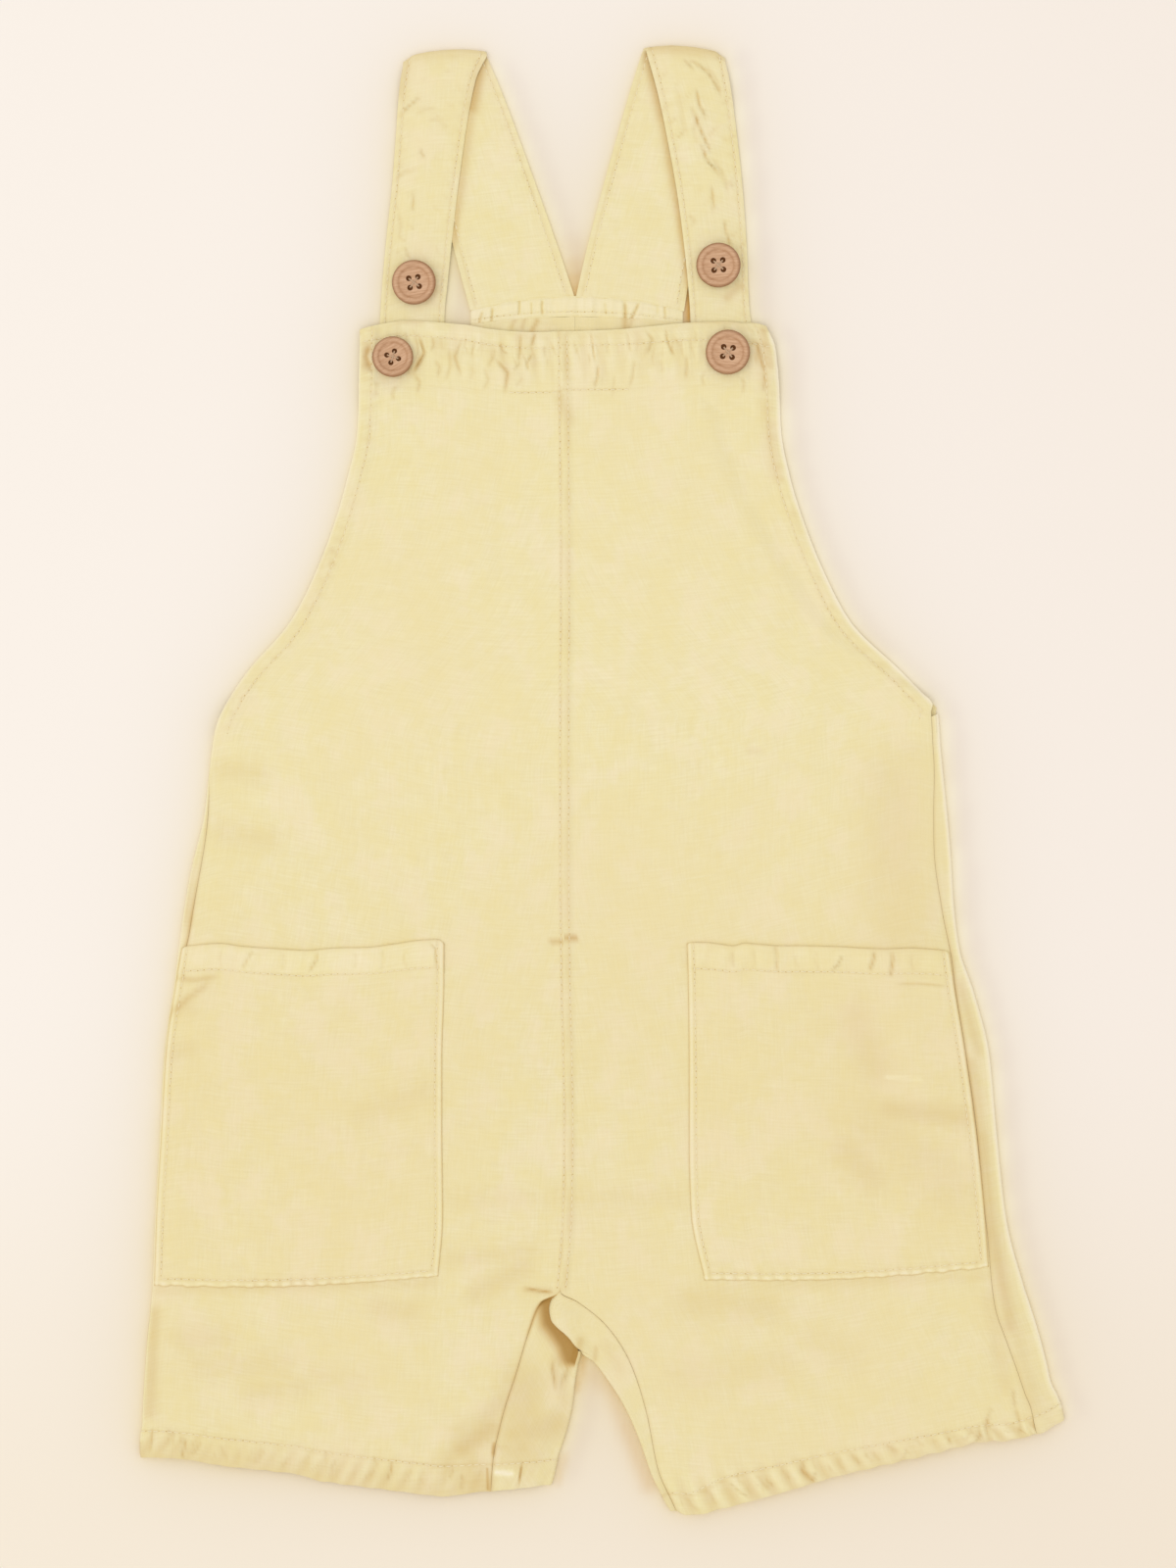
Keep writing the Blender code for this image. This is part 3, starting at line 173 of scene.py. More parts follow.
# Ridges and troughs of the front: x and y of the start and of the end, width, height
FOLDS = [
    # bib
    (-59, 112, -60, 72, 3.5, -0.25),
    (-33, 112, -34, 74, 3.5, -0.25),
    (-70, 122, -74, 96, 5, 0.25),
    (10, 35, 70, 33, 7, 0.55),
    (14, 25, 62, 24, 5, -0.45),
    (46, 10, 56, 9, 5, 0.4),
    (-54, 18, -38, 19, 1.6, -0.35),
    # left hip
    (-126, 14, -112, 12, 4, 0.45),
    (-128, 4, -118, 3, 3.5, -0.5),
    (-128, -17, -112, -20, 4, -0.45),
    (-128, -30, -108, -33, 7, 0.5),
    (-118, -44, -108, -52, 5, -0.3),
    # right hip
    (104, 14, 105, -22, 6, -0.5),
    (96, -20, 98, -55, 6, -0.4),
    (90, 4, 90, -30, 7, 0.4),
    (72, -20, 76, -44, 8, 0.25),
    # left pocket and its edge
    (-146, -67.5, -130, -66, 2.6, -0.45),
    (-147, -78, -134, -76, 2.6, -0.5),
    (-149, -94, -132, -90, 3, -0.6),
    (-150, -106, -138, -104, 3, 0.4),
    (-151, -121, -136, -118, 3, -0.45),
    (-152, -142, -134, -139, 2.6, -0.5),
    (-81, -113, -59, -105, 4, -0.45),
    (-138, -104, -104, -92, 9, 0.5),
    (-128, -130, -80, -144, 9, 0.4),
    (-112, -66, -96, -70, 3, -0.3),
    # right pocket
    (68, -71, 82, -84, 6, -0.4),
    (82, -84, 94, -104, 6, -0.5),
    (96, -112, 126, -114, 4.5, -0.75),
    (102, -80, 112, -103, 6, 0.8),
    (86, -121, 112, -133, 6, 0.85),
    (76, -138, 98, -137, 5, -0.5),
    (44, -90, 62, -94, 8, 0.3),
    # between the pockets
    (-49, -142.5, -22, -142.5, 3.5, -0.35),
    (-49, -148, -22, -147, 3.5, 0.35),
    (0, -141, 26, -142, 3.5, -0.35),
    (0, -147, 26, -147, 3.5, 0.35),
    # crotch
    (-42, -175, -24, -166, 2.4, -0.6),
    (-44, -168, -26, -160, 3.5, 0.4),
    (-42, -183, -26, -178, 5, 0.7),
    (-49, -189, -45, -197, 4, -0.4),
    # left leg
    (-151, -181, -152.5, -205, 2.2, -0.5),
    (-142, -188, -112, -189, 5, 0.45),
    (-133, -199, -108, -199, 5, -0.5),
    (-98, -202, -84, -204, 4, -0.35),
    (-147, -198, -143, -201, 3, -0.3),
    (-56, -227, -35, -205, 3.5, 0.7),
    (-49, -232, -31, -213, 4, -0.8),
    (-86, -220, -70, -222, 5, 0.3),
    # its inside
    (-30, -211, -19, -209, 4, -0.45),
    (-23, -222, -12, -217.5, 1.5, -0.55),
    (-22, -226, -13, -223, 2.8, 0.45),
    (-35, -226.5, -24, -226.5, 2, -0.5),
    (-15.5, -199.5, -14, -202, 1.6, 0.5),
    # right leg
    (26, -178.5, 58, -178.5, 4, -0.45),
    (24, -187, 60, -188, 6, 0.3),
    (30, -203, 62, -199, 6, -0.35),
    (72, -190, 86, -196, 5, -0.35),
    (74, -204, 82, -209, 4, -0.4),
    (108, -180, 124, -204, 5, 0.45),
    (134.5, -190, 136, -211, 1.5, -0.45),
    (147, -194, 150, -204, 3, -0.5),
    (4, -190, 9, -200, 3, 0.4),
    (-1.5, -193, -2, -197, 1, -0.5),
]
# Fine creases of the seams and hems: x and y of three points on each, width, depth
CREASES = [
    # round the left bib button
    (-61.9, 151.5, -60, 145.5, -63.8, 138.8, 0.7, 0.75),
    (-57.3, 150.8, -56.7, 148.3, -58, 146, 0.6, 0.4),
    (-78.2, 149, -79.8, 144.3, -77.5, 138.3, 1.1, 0.6),
    (-66.6, 152.6, -66, 150.2, -67.6, 147.6, 0.7, 0.35),
    (-63.2, 138.2, -61.6, 135.6, -62.4, 131.6, 0.8, 0.4),
    (-69.4, 134.8, -70.8, 132, -70.2, 128.8, 0.9, 0.3),
    (-76.6, 136, -75.6, 133.2, -76.8, 130.6, 0.7, 0.3),
    (-56.2, 143, -54.8, 140.6, -55.4, 137.2, 0.7, 0.35),
    # bib, left half
    (-47.2, 150.5, -49.6, 144, -47.4, 137.6, 0.75, 0.45),
    (-51.6, 147, -51, 141, -52.8, 136, 0.8, 0.3),
    (-45.8, 147.5, -45.5, 146.3, -45.1, 145.2, 0.5, 0.25),
    (-36, 147.4, -36.4, 144.4, -38.3, 140.6, 0.8, 0.3),
    (-34.2, 149.2, -33.4, 146.2, -31.3, 144.8, 0.6, 0.4),
    (-36, 143.6, -31.6, 138.8, -32.6, 131.6, 0.8, 0.5),
    (-39.6, 140.6, -38.2, 136.4, -39.8, 132.6, 0.8, 0.28),
    (-27.2, 152.2, -27.3, 147.5, -27.9, 142.4, 0.6, 0.4),
    (-22.2, 152.4, -22.8, 150.2, -23.4, 147.8, 0.7, 0.6),
    (-23.2, 145.2, -25.1, 142, -24.7, 139.2, 0.65, 0.45),
    (-27.3, 142.2, -28.4, 141, -29.8, 139.3, 0.5, 0.3),
    (-26.4, 137.4, -27.5, 135.6, -28.8, 133.8, 0.8, 0.25),
    (-40.2, 150.6, -40.6, 148, -42, 145.6, 0.8, 0.2),
    (-54, 152, -54.3, 149, -53.6, 146.4, 0.8, 0.18),
    (-19.4, 148, -19.2, 146.8, -19.3, 145.6, 0.4, 0.25),
    (-44, 141.6, -43.5, 139, -44.2, 136.5, 0.9, 0.2),
    # bib, right half
    (-3.3, 152.6, -2.7, 147.5, -2, 142.4, 0.5, 0.5),
    (-0.8, 141.6, -1.1, 137.4, -2.1, 133.3, 0.7, 0.5),
    (1.8, 152.4, 2.3, 148.5, 2, 144.8, 0.6, 0.22),
    (9.1, 152.6, 9.5, 149, 10.2, 145.6, 0.7, 0.32),
    (11.6, 143.2, 11, 138, 9.8, 133.6, 0.8, 0.35),
    (15.8, 152.8, 17.6, 150, 15.9, 145, 0.8, 0.5),
    (22.2, 154, 22.6, 149.5, 25, 144.3, 0.6, 0.5),
    (27.2, 147.8, 26.2, 149.2, 25.2, 150.8, 0.8, 0.25),
    (32.2, 153.2, 32.4, 151, 32.2, 148.8, 0.6, 0.28),
    (29.2, 144.6, 29.3, 140.5, 28.9, 136.6, 0.75, 0.38),
    (20.4, 143.4, 21, 140.5, 20.9, 138.6, 0.8, 0.2),
    (4.8, 138, 4.4, 134, 4, 130.4, 0.7, 0.2),
    (42.3, 154.8, 42.2, 153.6, 42, 152.4, 0.5, 0.25),
    (53, 149.4, 54.2, 143.9, 55.7, 138.6, 0.75, 0.6),
    (55.7, 138.6, 55.6, 135.5, 55.2, 132.4, 0.6, 0.4),
    (35.8, 139.6, 34.6, 137.4, 35.2, 134.2, 0.7, 0.3),
    (47.6, 137.6, 48.8, 135.2, 48.2, 131.4, 0.8, 0.32),
    (51.4, 153.6, 51.8, 151, 50.8, 148.2, 0.6, 0.3),
    # beside the centre seam
    (-13.8, 143.2, -13.5, 141, -13.2, 138.6, 0.4, 0.25),
    # left leg hem
    (-147.6, -219.4, -146.3, -222.6, -147, -226.4, 0.7, 0.25),
    (-145.1, -221.2, -145.4, -223.4, -145.6, -226, 0.6, 0.31),
    (-142.2, -220.8, -142.4, -223, -142.8, -225.2, 0.5, 0.25),
    (-140.7, -223.6, -141.5, -227, -142.6, -230.6, 0.8, 0.53),
    (-137.3, -221.8, -137.2, -223, -137.4, -224.6, 0.5, 0.22),
    (-135.8, -224.6, -137.2, -227, -139, -229.4, 0.8, 0.28),
    (-133.8, -219.6, -134.8, -221.4, -134.4, -223, 0.8, 0.15),
    (-129.6, -225.4, -128.4, -228, -127, -231, 0.9, 0.22),
    (-115, -226.6, -116, -229.4, -117.2, -232.6, 1.2, 0.22),
    (-93.4, -227.6, -93.5, -229.4, -93.6, -231.4, 0.6, 0.19),
    (-89.4, -229.8, -91.4, -233.8, -92.2, -237.4, 0.8, 0.31),
    (-76.8, -229.6, -76.8, -231.6, -75.9, -233.2, 0.6, 0.25),
    (-76.8, -234, -77.8, -235.6, -79.2, -237.4, 0.7, 0.19),
    (-71.2, -231, -71.1, -234.2, -72.8, -238.4, 0.6, 0.37),
    (-60.2, -234, -61.2, -236.6, -60.6, -239.2, 0.8, 0.15),
    (-50.4, -233.6, -50.6, -235.4, -51.4, -237.4, 0.8, 0.31),
    (-47.2, -236, -46.8, -238, -47.2, -241.4, 0.7, 0.37),
    (-152.6, -220, -152.8, -224, -153.4, -229, 0.6, 0.31),
    # seams inside the left leg hem
    (-26.9, -231.8, -27.4, -236.4, -28.4, -240.8, 0.45, 0.7),
    (-16.6, -198, -16.2, -201.8, -15.6, -205.6, 0.6, 0.45),
    (-11.4, -200.8, -12.2, -202.4, -13.2, -204.2, 0.55, 0.4),
    (-17.4, -206.2, -15.2, -206, -13, -205.4, 0.4, 0.25),
    # bartack over the centre seam
    (-17.2, -54, -15.6, -53.7, -13.9, -53.8, 0.6, 0.35),
    (-13.2, -53.9, -10.2, -53.6, -7.4, -53.8, 0.6, 0.35),
    # slubs
    (48, 10.2, 52, 10, 56, 10.2, 0.5, 0.2),
    # drag lines at the crotch
    (-25.6, -172.6, -21, -173.5, -16.6, -174, 0.6, 0.5),
    # right leg hem
    (43.8, -238.6, 46.8, -241.4, 50.4, -243.8, 0.6, 0.42),
    (45.8, -235.6, 46.8, -237.6, 48.4, -239.4, 0.7, 0.24),
    (52.8, -235.4, 54.6, -238.4, 57.2, -241.4, 1, 0.42),
    (61.2, -233.4, 62.8, -235.6, 64.4, -237.6, 0.8, 0.21),
    (68.9, -230.4, 68.7, -234.6, 72.6, -238.6, 1.2, 0.49),
    (73.2, -234.6, 72.8, -236.4, 71.8, -238.8, 0.7, 0.42),
    (84.8, -228.6, 86.6, -230.4, 88.4, -232.6, 1, 0.28),
    (91.8, -227.6, 93.6, -229.6, 95.4, -231.4, 0.8, 0.21),
    (96.8, -225.8, 99, -227, 101.4, -228.4, 1.2, 0.32),
    (104.2, -227.4, 103.4, -229.4, 102, -231.8, 0.7, 0.24),
    (106.2, -223.4, 108.2, -224.8, 110.4, -226.8, 0.9, 0.24),
    (126.2, -220.4, 125.2, -222.6, 123.8, -224.8, 0.8, 0.28),
    (128.4, -218.6, 129.2, -222.4, 127.2, -225.8, 0.7, 0.42),
    (131.7, -216.6, 131.3, -221, 133.2, -225.4, 1.1, 0.59),
    (133, -212.6, 132.2, -215, 131.2, -218, 0.8, 0.28),
    (140.6, -206.8, 140.4, -210, 141, -213.4, 0.7, 0.42),
    (141, -213.4, 142.2, -217.2, 143.2, -221.6, 1, 0.42),
    (145, -219, 145.8, -221, 147.4, -223, 0.7, 0.32),
    (117, -220.6, 118, -223.4, 119.6, -226.4, 0.8, 0.21),
    (36.2, -240.6, 37.6, -243.4, 39.8, -246.4, 0.9, 0.24),
    (29.2, -243.6, 30.6, -246, 33.4, -248.6, 0.9, 0.24),
    (79.6, -229.4, 81, -232, 83.2, -234.8, 0.8, 0.21),
]
POCKET_CREASES = [
    (-118, -57.6, -119.6, -60.2, -121.8, -63.8, 0.8, 0.4),
    (-96.4, -57.8, -96.6, -61, -99.2, -65.4, 0.75, 0.5),
    (-74, -57.4, -73.8, -61, -74.1, -65, 0.6, 0.4),
    (-83.2, -58.4, -83, -61.2, -83.4, -64, 0.8, 0.22),
    (-108, -58.4, -107.4, -61.2, -108.2, -64.4, 0.8, 0.2),
    (-128.6, -57, -129.4, -60.4, -128.8, -63.6, 0.8, 0.22),
    (-66, -57, -66.8, -60, -66.2, -63.6, 0.7, 0.25),
    (-58.2, -55, -56.2, -57.2, -55.8, -63.2, 0.5, 0.4),
    (-146, -67, -138, -67.8, -129.6, -66.6, 1.4, 0.4),
    (-147, -80, -141, -74.6, -132.6, -68.4, 1.6, 0.45),
    (45, -57.8, 44.8, -60.6, 45.1, -63.6, 0.7, 0.25),
    (59.5, -55.8, 60, -60, 59.8, -65, 0.8, 0.45),
    (82.2, -59.2, 81, -62, 78.4, -65, 0.55, 0.45),
    (93.3, -57.8, 92.8, -61, 91.4, -65, 0.85, 0.55),
    (98.9, -57.8, 99.3, -61, 98.6, -66.8, 0.85, 0.6),
    (66.6, -58.6, 66.4, -61.4, 67.2, -64.2, 0.8, 0.22),
    (73.4, -57.8, 73, -61, 74, -64.6, 0.8, 0.2),
    (106, -58.4, 105.4, -61.6, 106.4, -65, 0.9, 0.22),
    (52, -57.6, 52.4, -60.8, 51.8, -64.2, 0.8, 0.2),
    (100, -69.2, 108, -69, 118, -69.8, 0.7, 0.3),
]
STRAP_CREASES = [
    (-67.8, 227.3, -64.6, 230.2, -61.2, 232.8, 0.6, 0.5),
    (-61.6, 215.4, -60.9, 213.6, -60, 211.6, 0.6, 0.45),
    (-64, 200.6, -63.7, 197.2, -64.2, 193.6, 0.6, 0.4),
    (-66.6, 181.4, -65.8, 179.4, -64.8, 177.4, 0.7, 0.35),
    (-52, 222, -55, 224.6, -58.8, 225.4, 1, 0.2),
    (28.4, 245.4, 29.8, 243.6, 31.4, 241.6, 0.6, 0.4),
    (31.4, 244.6, 36.2, 241.4, 40.6, 234.4, 0.65, 0.6),
    (32.4, 235.4, 33.4, 230.4, 35.8, 225.6, 0.7, 0.6),
    (31, 229.4, 34, 221.4, 37.6, 213.6, 0.65, 0.65),
    (34, 216.8, 36.4, 210.8, 40.6, 205.8, 0.6, 0.7),
    (37.6, 202.8, 38.4, 197.4, 38.2, 193, 0.75, 0.45),
    (42.2, 191, 42.8, 186.4, 44.2, 181.2, 0.7, 0.5),
    (43, 203.6, 44.2, 203, 45.4, 202.6, 0.8, 0.3),
    (29.8, 192.6, 32, 190.8, 31.4, 188.8, 0.8, 0.25),
    (36, 243.6, 39.8, 238, 41.2, 232, 0.8, 0.3),
    (33.6, 226.4, 31.6, 222, 33, 216, 1, 0.24),
    (26, 236, 27.6, 228, 29, 219, 1.3, 0.18),
    (38, 212, 41.6, 206.6, 43.4, 200, 0.9, 0.3),
    (-70, 205, -66.6, 207.6, -62, 208.4, 0.9, 0.25),
    (-62.8, 226.6, -60, 228.6, -55.6, 229, 0.9, 0.22),
    (-68.8, 193.6, -68, 188.6, -68.8, 184, 0.8, 0.25),
]
CASING_CREASES = [
    (-40.2, 160.2, -40.8, 158, -41.6, 155, 0.6, 0.5),
    (-36.8, 161.6, -37, 158.6, -37.3, 155, 0.6, 0.5),
    (-27.7, 163.8, -27.7, 161, -27.8, 158.6, 0.5, 0.5),
    (-23.7, 163.4, -23.6, 161, -23.5, 158.6, 0.5, 0.35),
    (-19.8, 164, -20.1, 161.4, -19.8, 158.2, 0.6, 0.5),
    (1.6, 162.8, 1.7, 160.6, 1.9, 158.4, 0.5, 0.3),
    (8.2, 163.4, 8.4, 160, 8.4, 156, 0.8, 0.6),
    (13.2, 163, 11.8, 160, 9.8, 156, 0.7, 0.6),
    (21.8, 162.4, 21.9, 159.4, 22, 156.6, 0.6, 0.4),
    (19.3, 162, 19.4, 160.2, 19.2, 158.4, 0.5, 0.25),
]

CREASE_WIDTH = 0.68
# Painted shade in the fine creases, as a share of their depth
CREASE_SHADE_PAINT = 0.95

# Painted shade by place, painted highlight where negative: x and y of the start and of the end, width,
# amount
SHADE_PATCHES = [
    # bib
    (-80, 140.5, -79.3, 148, 1.6, 0.45),
    (-64.5, 139, -61.8, 143, 1.8, 0.4),
    (56, 153, 58, 141, 1.6, 0.42),
    (28, 156.4, 50, 156.4, 0.8, 0.5),
    (-70, 156.4, -58, 156.2, 0.8, 0.3),
    (-56, 150, -50, 144, 3, 0.16),
    (-36, 147, -31, 138, 2.6, 0.2),
    (-27, 150, -23, 142, 2.4, 0.18),
    (14, 150, 17, 142, 2.2, 0.18),
    (26, 148, 29, 138, 2.2, 0.16),
    (53, 148, 55.5, 134, 2, 0.24),
    (56, 128, 60, 104, 2.4, 0.25),
    (66, 92, 98, 42, 2, 0.2),
    (-94, 78, -120, 40, 2, 0.18),
    (-60, 158, -56, 152, 1.6, -0.3),
    (-13.6, 130, -10.6, 123, 2.2, 0.26),
    # hips
    (100, -2, 104, -50, 13, 0.16),
    (106, 10, 106, -22, 5, 0.12),
    (-128, 3.5, -117, 2.5, 4, 0.16),
    (-129, -17.5, -112, -20, 4.5, 0.14),
    (-139.5, -8, -141, -48, 2.4, 0.3),
    # bartack
    (-17, -54.5, -13.2, -54.4, 0.55, 0.75),
    (-12.6, -53.9, -8.2, -53.8, 0.55, 0.7),
    # pockets and below them
    (92, -118, 120, -140, 12, 0.1),
    (86, -80, 94, -98, 6, 0.18),
    (98, -112, 124, -114.5, 4, 0.26),
    (84, -126, 92, -134, 6, 0.2),
    (97.2, -101.2, 108.8, -101.3, 0.4, -0.6),
    (-148, -80, -140, -77, 3, 0.16),
    (-150, -94, -140, -91, 3, 0.14),
    (-80, -113, -60, -106, 5, 0.12),
    (-152, -173.5, -57, -171, 2, 0.16),
    (36, -173, 131, -168.5, 2, 0.14),
    (-49, -142.5, 26, -142, 4, 0.08),
    # legs
    (-47, -227.5, -37.5, -220.5, 4.2, 0.5),
    (-152, -181, -153.5, -215, 2.4, 0.35),
    (-136, -199, -108, -199, 6, 0.14),
    (-142, -190, -128, -190, 5, 0.16),
    (-118, -208, -102, -206, 4.5, 0.16),
    (-76, -179, -64, -181, 4.5, 0.16),
    (-47, -222, -42, -238, 5, 0.24),
    (-35.4, -235.3, -30.2, -235.6, 0.8, -0.95),
    (-98, -202, -84, -204, 5, 0.1),
    (-52, -232, -34, -212, 4.5, 0.26),
    (-42, -174, -26, -166, 4.2, 0.2),
    (-50, -163, -24, -160, 3.4, 0.14),
    (-25.5, -173, -17, -174, 1.2, 0.45),
    (32, -177, 58, -179, 6.5, 0.17),
    (28, -203, 62, -199, 7, 0.1),
    (72, -190, 86, -196, 6, 0.08),
    (132, -176, 138, -206, 3, 0.18),
    # turned right side
    (122.5, -70, 128.5, -92, 1.8, 0.3),
    (126.4, -96, 129.8, -120, 2, 0.3),
    (129.8, -120, 133, -152, 2.2, 0.42),
    (133, -152, 139.6, -186, 2.4, 0.44),
    (140.6, -186, 147, -212, 3, 0.18),
    # inside of the left leg
    (-29, -222, -15, -219, 6, 0.38),
    (-26, -206, -27, -226, 9, 0.32),
    (-16.5, -198, -15, -206, 1.6, 0.35),
    (-11, -200, -13, -206, 1.4, 0.35),
    (-14, -204, -12, -212, 3, 0.25),
    (-28, -222, -14, -218.5, 2.2, 0.22),
    (-25, -227.8, -36, -226.8, 1.2, 0.35),
    (-36.4, -226, -36.6, -229, 0.8, 0.9),
    (-38.6, -234, -38.4, -241, 0.5, 0.9),
    # roll
    (-7, -190.5, -8.6, -198, 1.4, 0.45),
    (2, -192, 6.5, -200, 2.6, 0.16),
    (-1.5, -193, -2, -197, 0.9, 0.4),
]
# Painted shade on the straps: along their top folds and beside the buttons
STRAP_SHADE_PATCHES = [
    (-66, 248, -40, 249.5, 3.6, 0.34),
    (17, 249.8, 43, 247.6, 2.4, 0.45),
    (43, 164.5, 47.5, 168.5, 1.6, 0.45),
    (-59, 163.5, -56.5, 167, 1.4, 0.35),
    (-66, 245.5, -68.5, 234, 2.2, 0.3),
    (-41.5, 244, -44.5, 228, 2, 0.25),
]
# Painted shadow that the over part of each strap casts on the under part
WEDGE_SHADOW_PATCHES = [
    (-40.5, 246, -44, 229, 2.2, 0.95),
    (-44, 229, -48.5, 196, 1.7, 0.52),
    (-48.5, 196, -50.2, 182, 1.2, 0.65),
    (16, 247, 21, 226, 2, 0.85),
    (21, 226, 26, 198, 1.7, 0.75),
    (26, 198, 29.5, 174, 1.5, 0.85),
    (29.5, 174, 31, 160, 1.3, 1),
]
# Painted shade on the underside where it shows at the neck: in the gathers and beside the right strap
INSIDE_SHADE_PATCHES = [
    (-29, 157.5, -30.5, 154, 0.7, 0.45),
    (-25.7, 157.5, -26.8, 154, 0.7, 0.45),
    (-21.5, 156.8, -23.5, 153, 0.8, 0.7),
    (8.3, 158, 8.3, 154, 1.1, 0.65),
    (10.8, 157.5, 9.5, 154, 0.7, 0.45),
    (28.5, 157, 29.5, 160, 1.5, 0.9),
]
# Painted shade in the valley under the roll at the crotch
VALLEY_SHADE_PAINT = 1.75

# Left edge of the roll that the inside of the right leg makes at the crotch, as how far it stands
# out from the straight seam at each share of the way from the leg fold to the centre seam
ROLL_EDGE = [
    (0, 0), (0.1, -2.2), (0.24, -3.2), (0.34, -4.4), (0.43, -5.8), (0.53, -6.7), (0.67, -6.2),
    (0.84, -4.4), (1, 0),
]
ROLL_FADE = 10.0
ROLL_CREST = 1.7
ROLL_LOW = 1.9
# Valley on the left leg that the roll stands over, as x for each y
VALLEY = [
    (-18.9, -176.0), (-18.6, -181.0), (-18.0, -184.5), (-15.3, -188.0), (-12.6, -192.0),
    (-10.6, -198.5),
]
VALLEY_WIDTH = 2.7
VALLEY_LOW = 1.75

# Slow unevenness of laid cloth: waves in two directions
Wave = namedtuple("Wave", "length_x length_y phase height")
UNEVEN = [
    Wave(61, 93, 0.4, 0.10),
    Wave(-47, 71, 1.9, 0.09),
    Wave(31, -43, 3.1, 0.06),
    Wave(83, 29, 4.4, 0.07),
    Wave(-23, 37, 0.9, 0.045),
    Wave(19, 27, 2.6, 0.035),
    Wave(37, -17, 5.2, 0.035),
    Wave(13, 15, 1.1, 0.02),
]

# Curves of the bib's top edge and of each leg hem, as x and the rise above a straight row there
BIB_TOP = [
    (-82, 0), (-75, 1.6), (-66, 2.9), (-47, 1.9), (-38, 0.5), (-24, -0.4), (-13, 0), (4, 0.4),
    (18, 1.5), (31, 2.6), (41, 2.8), (51, 1.9), (56.5, -0.2),
]
BACK_TOP = [
    (-44.5, 0), (-26.5, 0.75), (-8.7, 0), (9.5, 0.75), (28, 0),
]
LEG_HEMS = {
    "left": [
        (-157, 0), (-143, 0.8), (-128, -0.3), (-104, -0.6), (-96, -2.2), (-69, -3.2), (-55, -3.6),
        (-37, -0.3), (-16, 0),
    ],
    "right": [
        (23, 0), (26, -0.6), (29, -2.7), (33.5, -3.7), (56, -3.2), (84, -1.7), (111, -1.7), (128, -1.5),
        (140, -3.4), (148.5, -3.4), (158, -0.8),
    ],
}

HEM_ROUGH = {"left": 0.15, "right": 0.29}
# Painted shade along each leg hem's edge
HEM_SHADE = {"left": 0.26, "right": 0.10}

# Patch pockets: x and y of the left and of the right edge at each level, with the bottom edge's hang
# and the top edge's rise
POCKET_WIDTH, POCKET_HEIGHT = 93.0, 114.0
POCKETS = {
    "left": [
        (-142.5, -56.5, -53.3, -55.2),
        (-144.4, -67.8, -53.3, -67.8),
        (-148, -92.8, -54, -95.5),
        (-149.6, -121.2, -54, -121.2),
        (-151.2, -147.8, -53.7, -147.8),
        (-152, -171.8, -55.3, -168.5),
    ],
    "right": [
        (29.3, -55.2, 118.3, -58.2),
        (29.7, -68.5, 120.2, -70.5),
        (30, -95.5, 123.9, -92.8),
        (30, -122.8, 127.5, -118),
        (30.7, -147.2, 130.3, -144.5),
        (35.3, -169.8, 131.9, -165.5),
    ],
}
POCKET_HANG = 1.9
POCKET_TOPS = {
    "left": [
        (-143, 0), (-130, 0.9), (-122, -0.2), (-112, -1.1), (-99, -1.9), (-91, -1.3), (-80, -1.2),
        (-70, -0.1), (-62, 0.9), (-55.5, 1.2), (-53.3, 0.4),
    ],
    "right": [
        (29.3, 0.3), (36, 0.3), (45, -0.5), (49, 0.5), (60, 0), (70, 0.3), (80, 0.4), (95, 0.1),
        (107, 0.8), (118.3, 0.3),
    ],
}

# Straps: x and y of the left and of the right edge and the height of the upper face, from the back
# seam over the shoulder to the end behind the bib
LEFT_X, LEFT_Y, RIGHT_X, RIGHT_Y, HEIGHT = range(5)
STRAPS = {
    "left": {
        "under": [
            (-44.5, 160.3, -9, 165.1, 0),
            (-48.7, 176, -14, 180, 0),
            (-56, 205, -25, 211, 0),
            (-63, 231, -34.5, 236.5, 0),
            (-67.2, 244.4, -38.8, 246.5, 0),
        ],
        "over": [
            (-67.3, 244.4, -38.8, 246.5, 2.5),
            (-68.6, 235, -42.6, 238.5, 1.95),
            (-70.9, 205, -48, 206.5, 1.75),
            (-73.5, 180, -51, 181, 1.7),
            (-74.5, 168, -52.3, 168.3, 1.6),
            (-75.1, 158.5, -53.2, 158.7, 1.1),
            (-75.6, 146, -53.4, 146, 1),
            (-76.3, 134, -54.3, 134, 1),
        ],
    },
    "right": {
        "under": [
            (-8.4, 165.1, 28.4, 160.3, 0),
            (-5, 180, 31, 176, 0),
            (3.2, 211, 36.5, 205, 0),
            (10.5, 236.5, 41, 232, 0),
            (14.2, 248.2, 42.5, 245.6, 0),
        ],
        "over": [
            (15.7, 247.4, 42.5, 245.6, 2.5),
            (19.3, 234.5, 44.4, 235, 2.15),
            (22.8, 218, 46.3, 221, 2),
            (26.4, 197.5, 48.6, 198.8, 1.95),
            (29, 176.5, 50, 177, 1.9),
            (29.9, 167, 50.3, 167.5, 1.8),
            (30.5, 158.6, 50.8, 159.4, 1.1),
            (30.8, 147, 53.3, 147, 1),
            (31.2, 134.5, 55, 134.5, 1),
        ],
    },
}

STRAP_TAPE = 25.0
STRAP_STEP = 1.1
STRAP_TURN_STEPS = 16
STRAP_REACH = 1.6
STRAP_ARCH, STRAP_ARCH_FROM = 1.5, 236.0
STRAP_REST, STRAP_REST_TOP = 1.05, 1.8
STRAP_DRAPE = 13.0
STRAP_CORNER = 1.2

# Casing across the top of the back, drawn up in gathers
CASING_LEFT, CASING_RIGHT, CASING_MIDDLE = -44.3, 28.0, -8.7
CASING_TOP, CASING_TOP_DROP = 164.7, 4.6
CASING_FOOT, CASING_FOOT_DROP = 158.3, 2.6
CASING_HALF = 36.0
CASING_TALL = 6.3
CASING_LAP = 0.35
CASING_RISE = 0.25
CASING_CUT = (75.0, 13.0)
STRAP_CUT = 24.5
GATHERS = 8
GATHER_RISE = 0.6
BACK_GATHER_RISE = 0.35
BACK_GATHER_LENGTH = 30.0

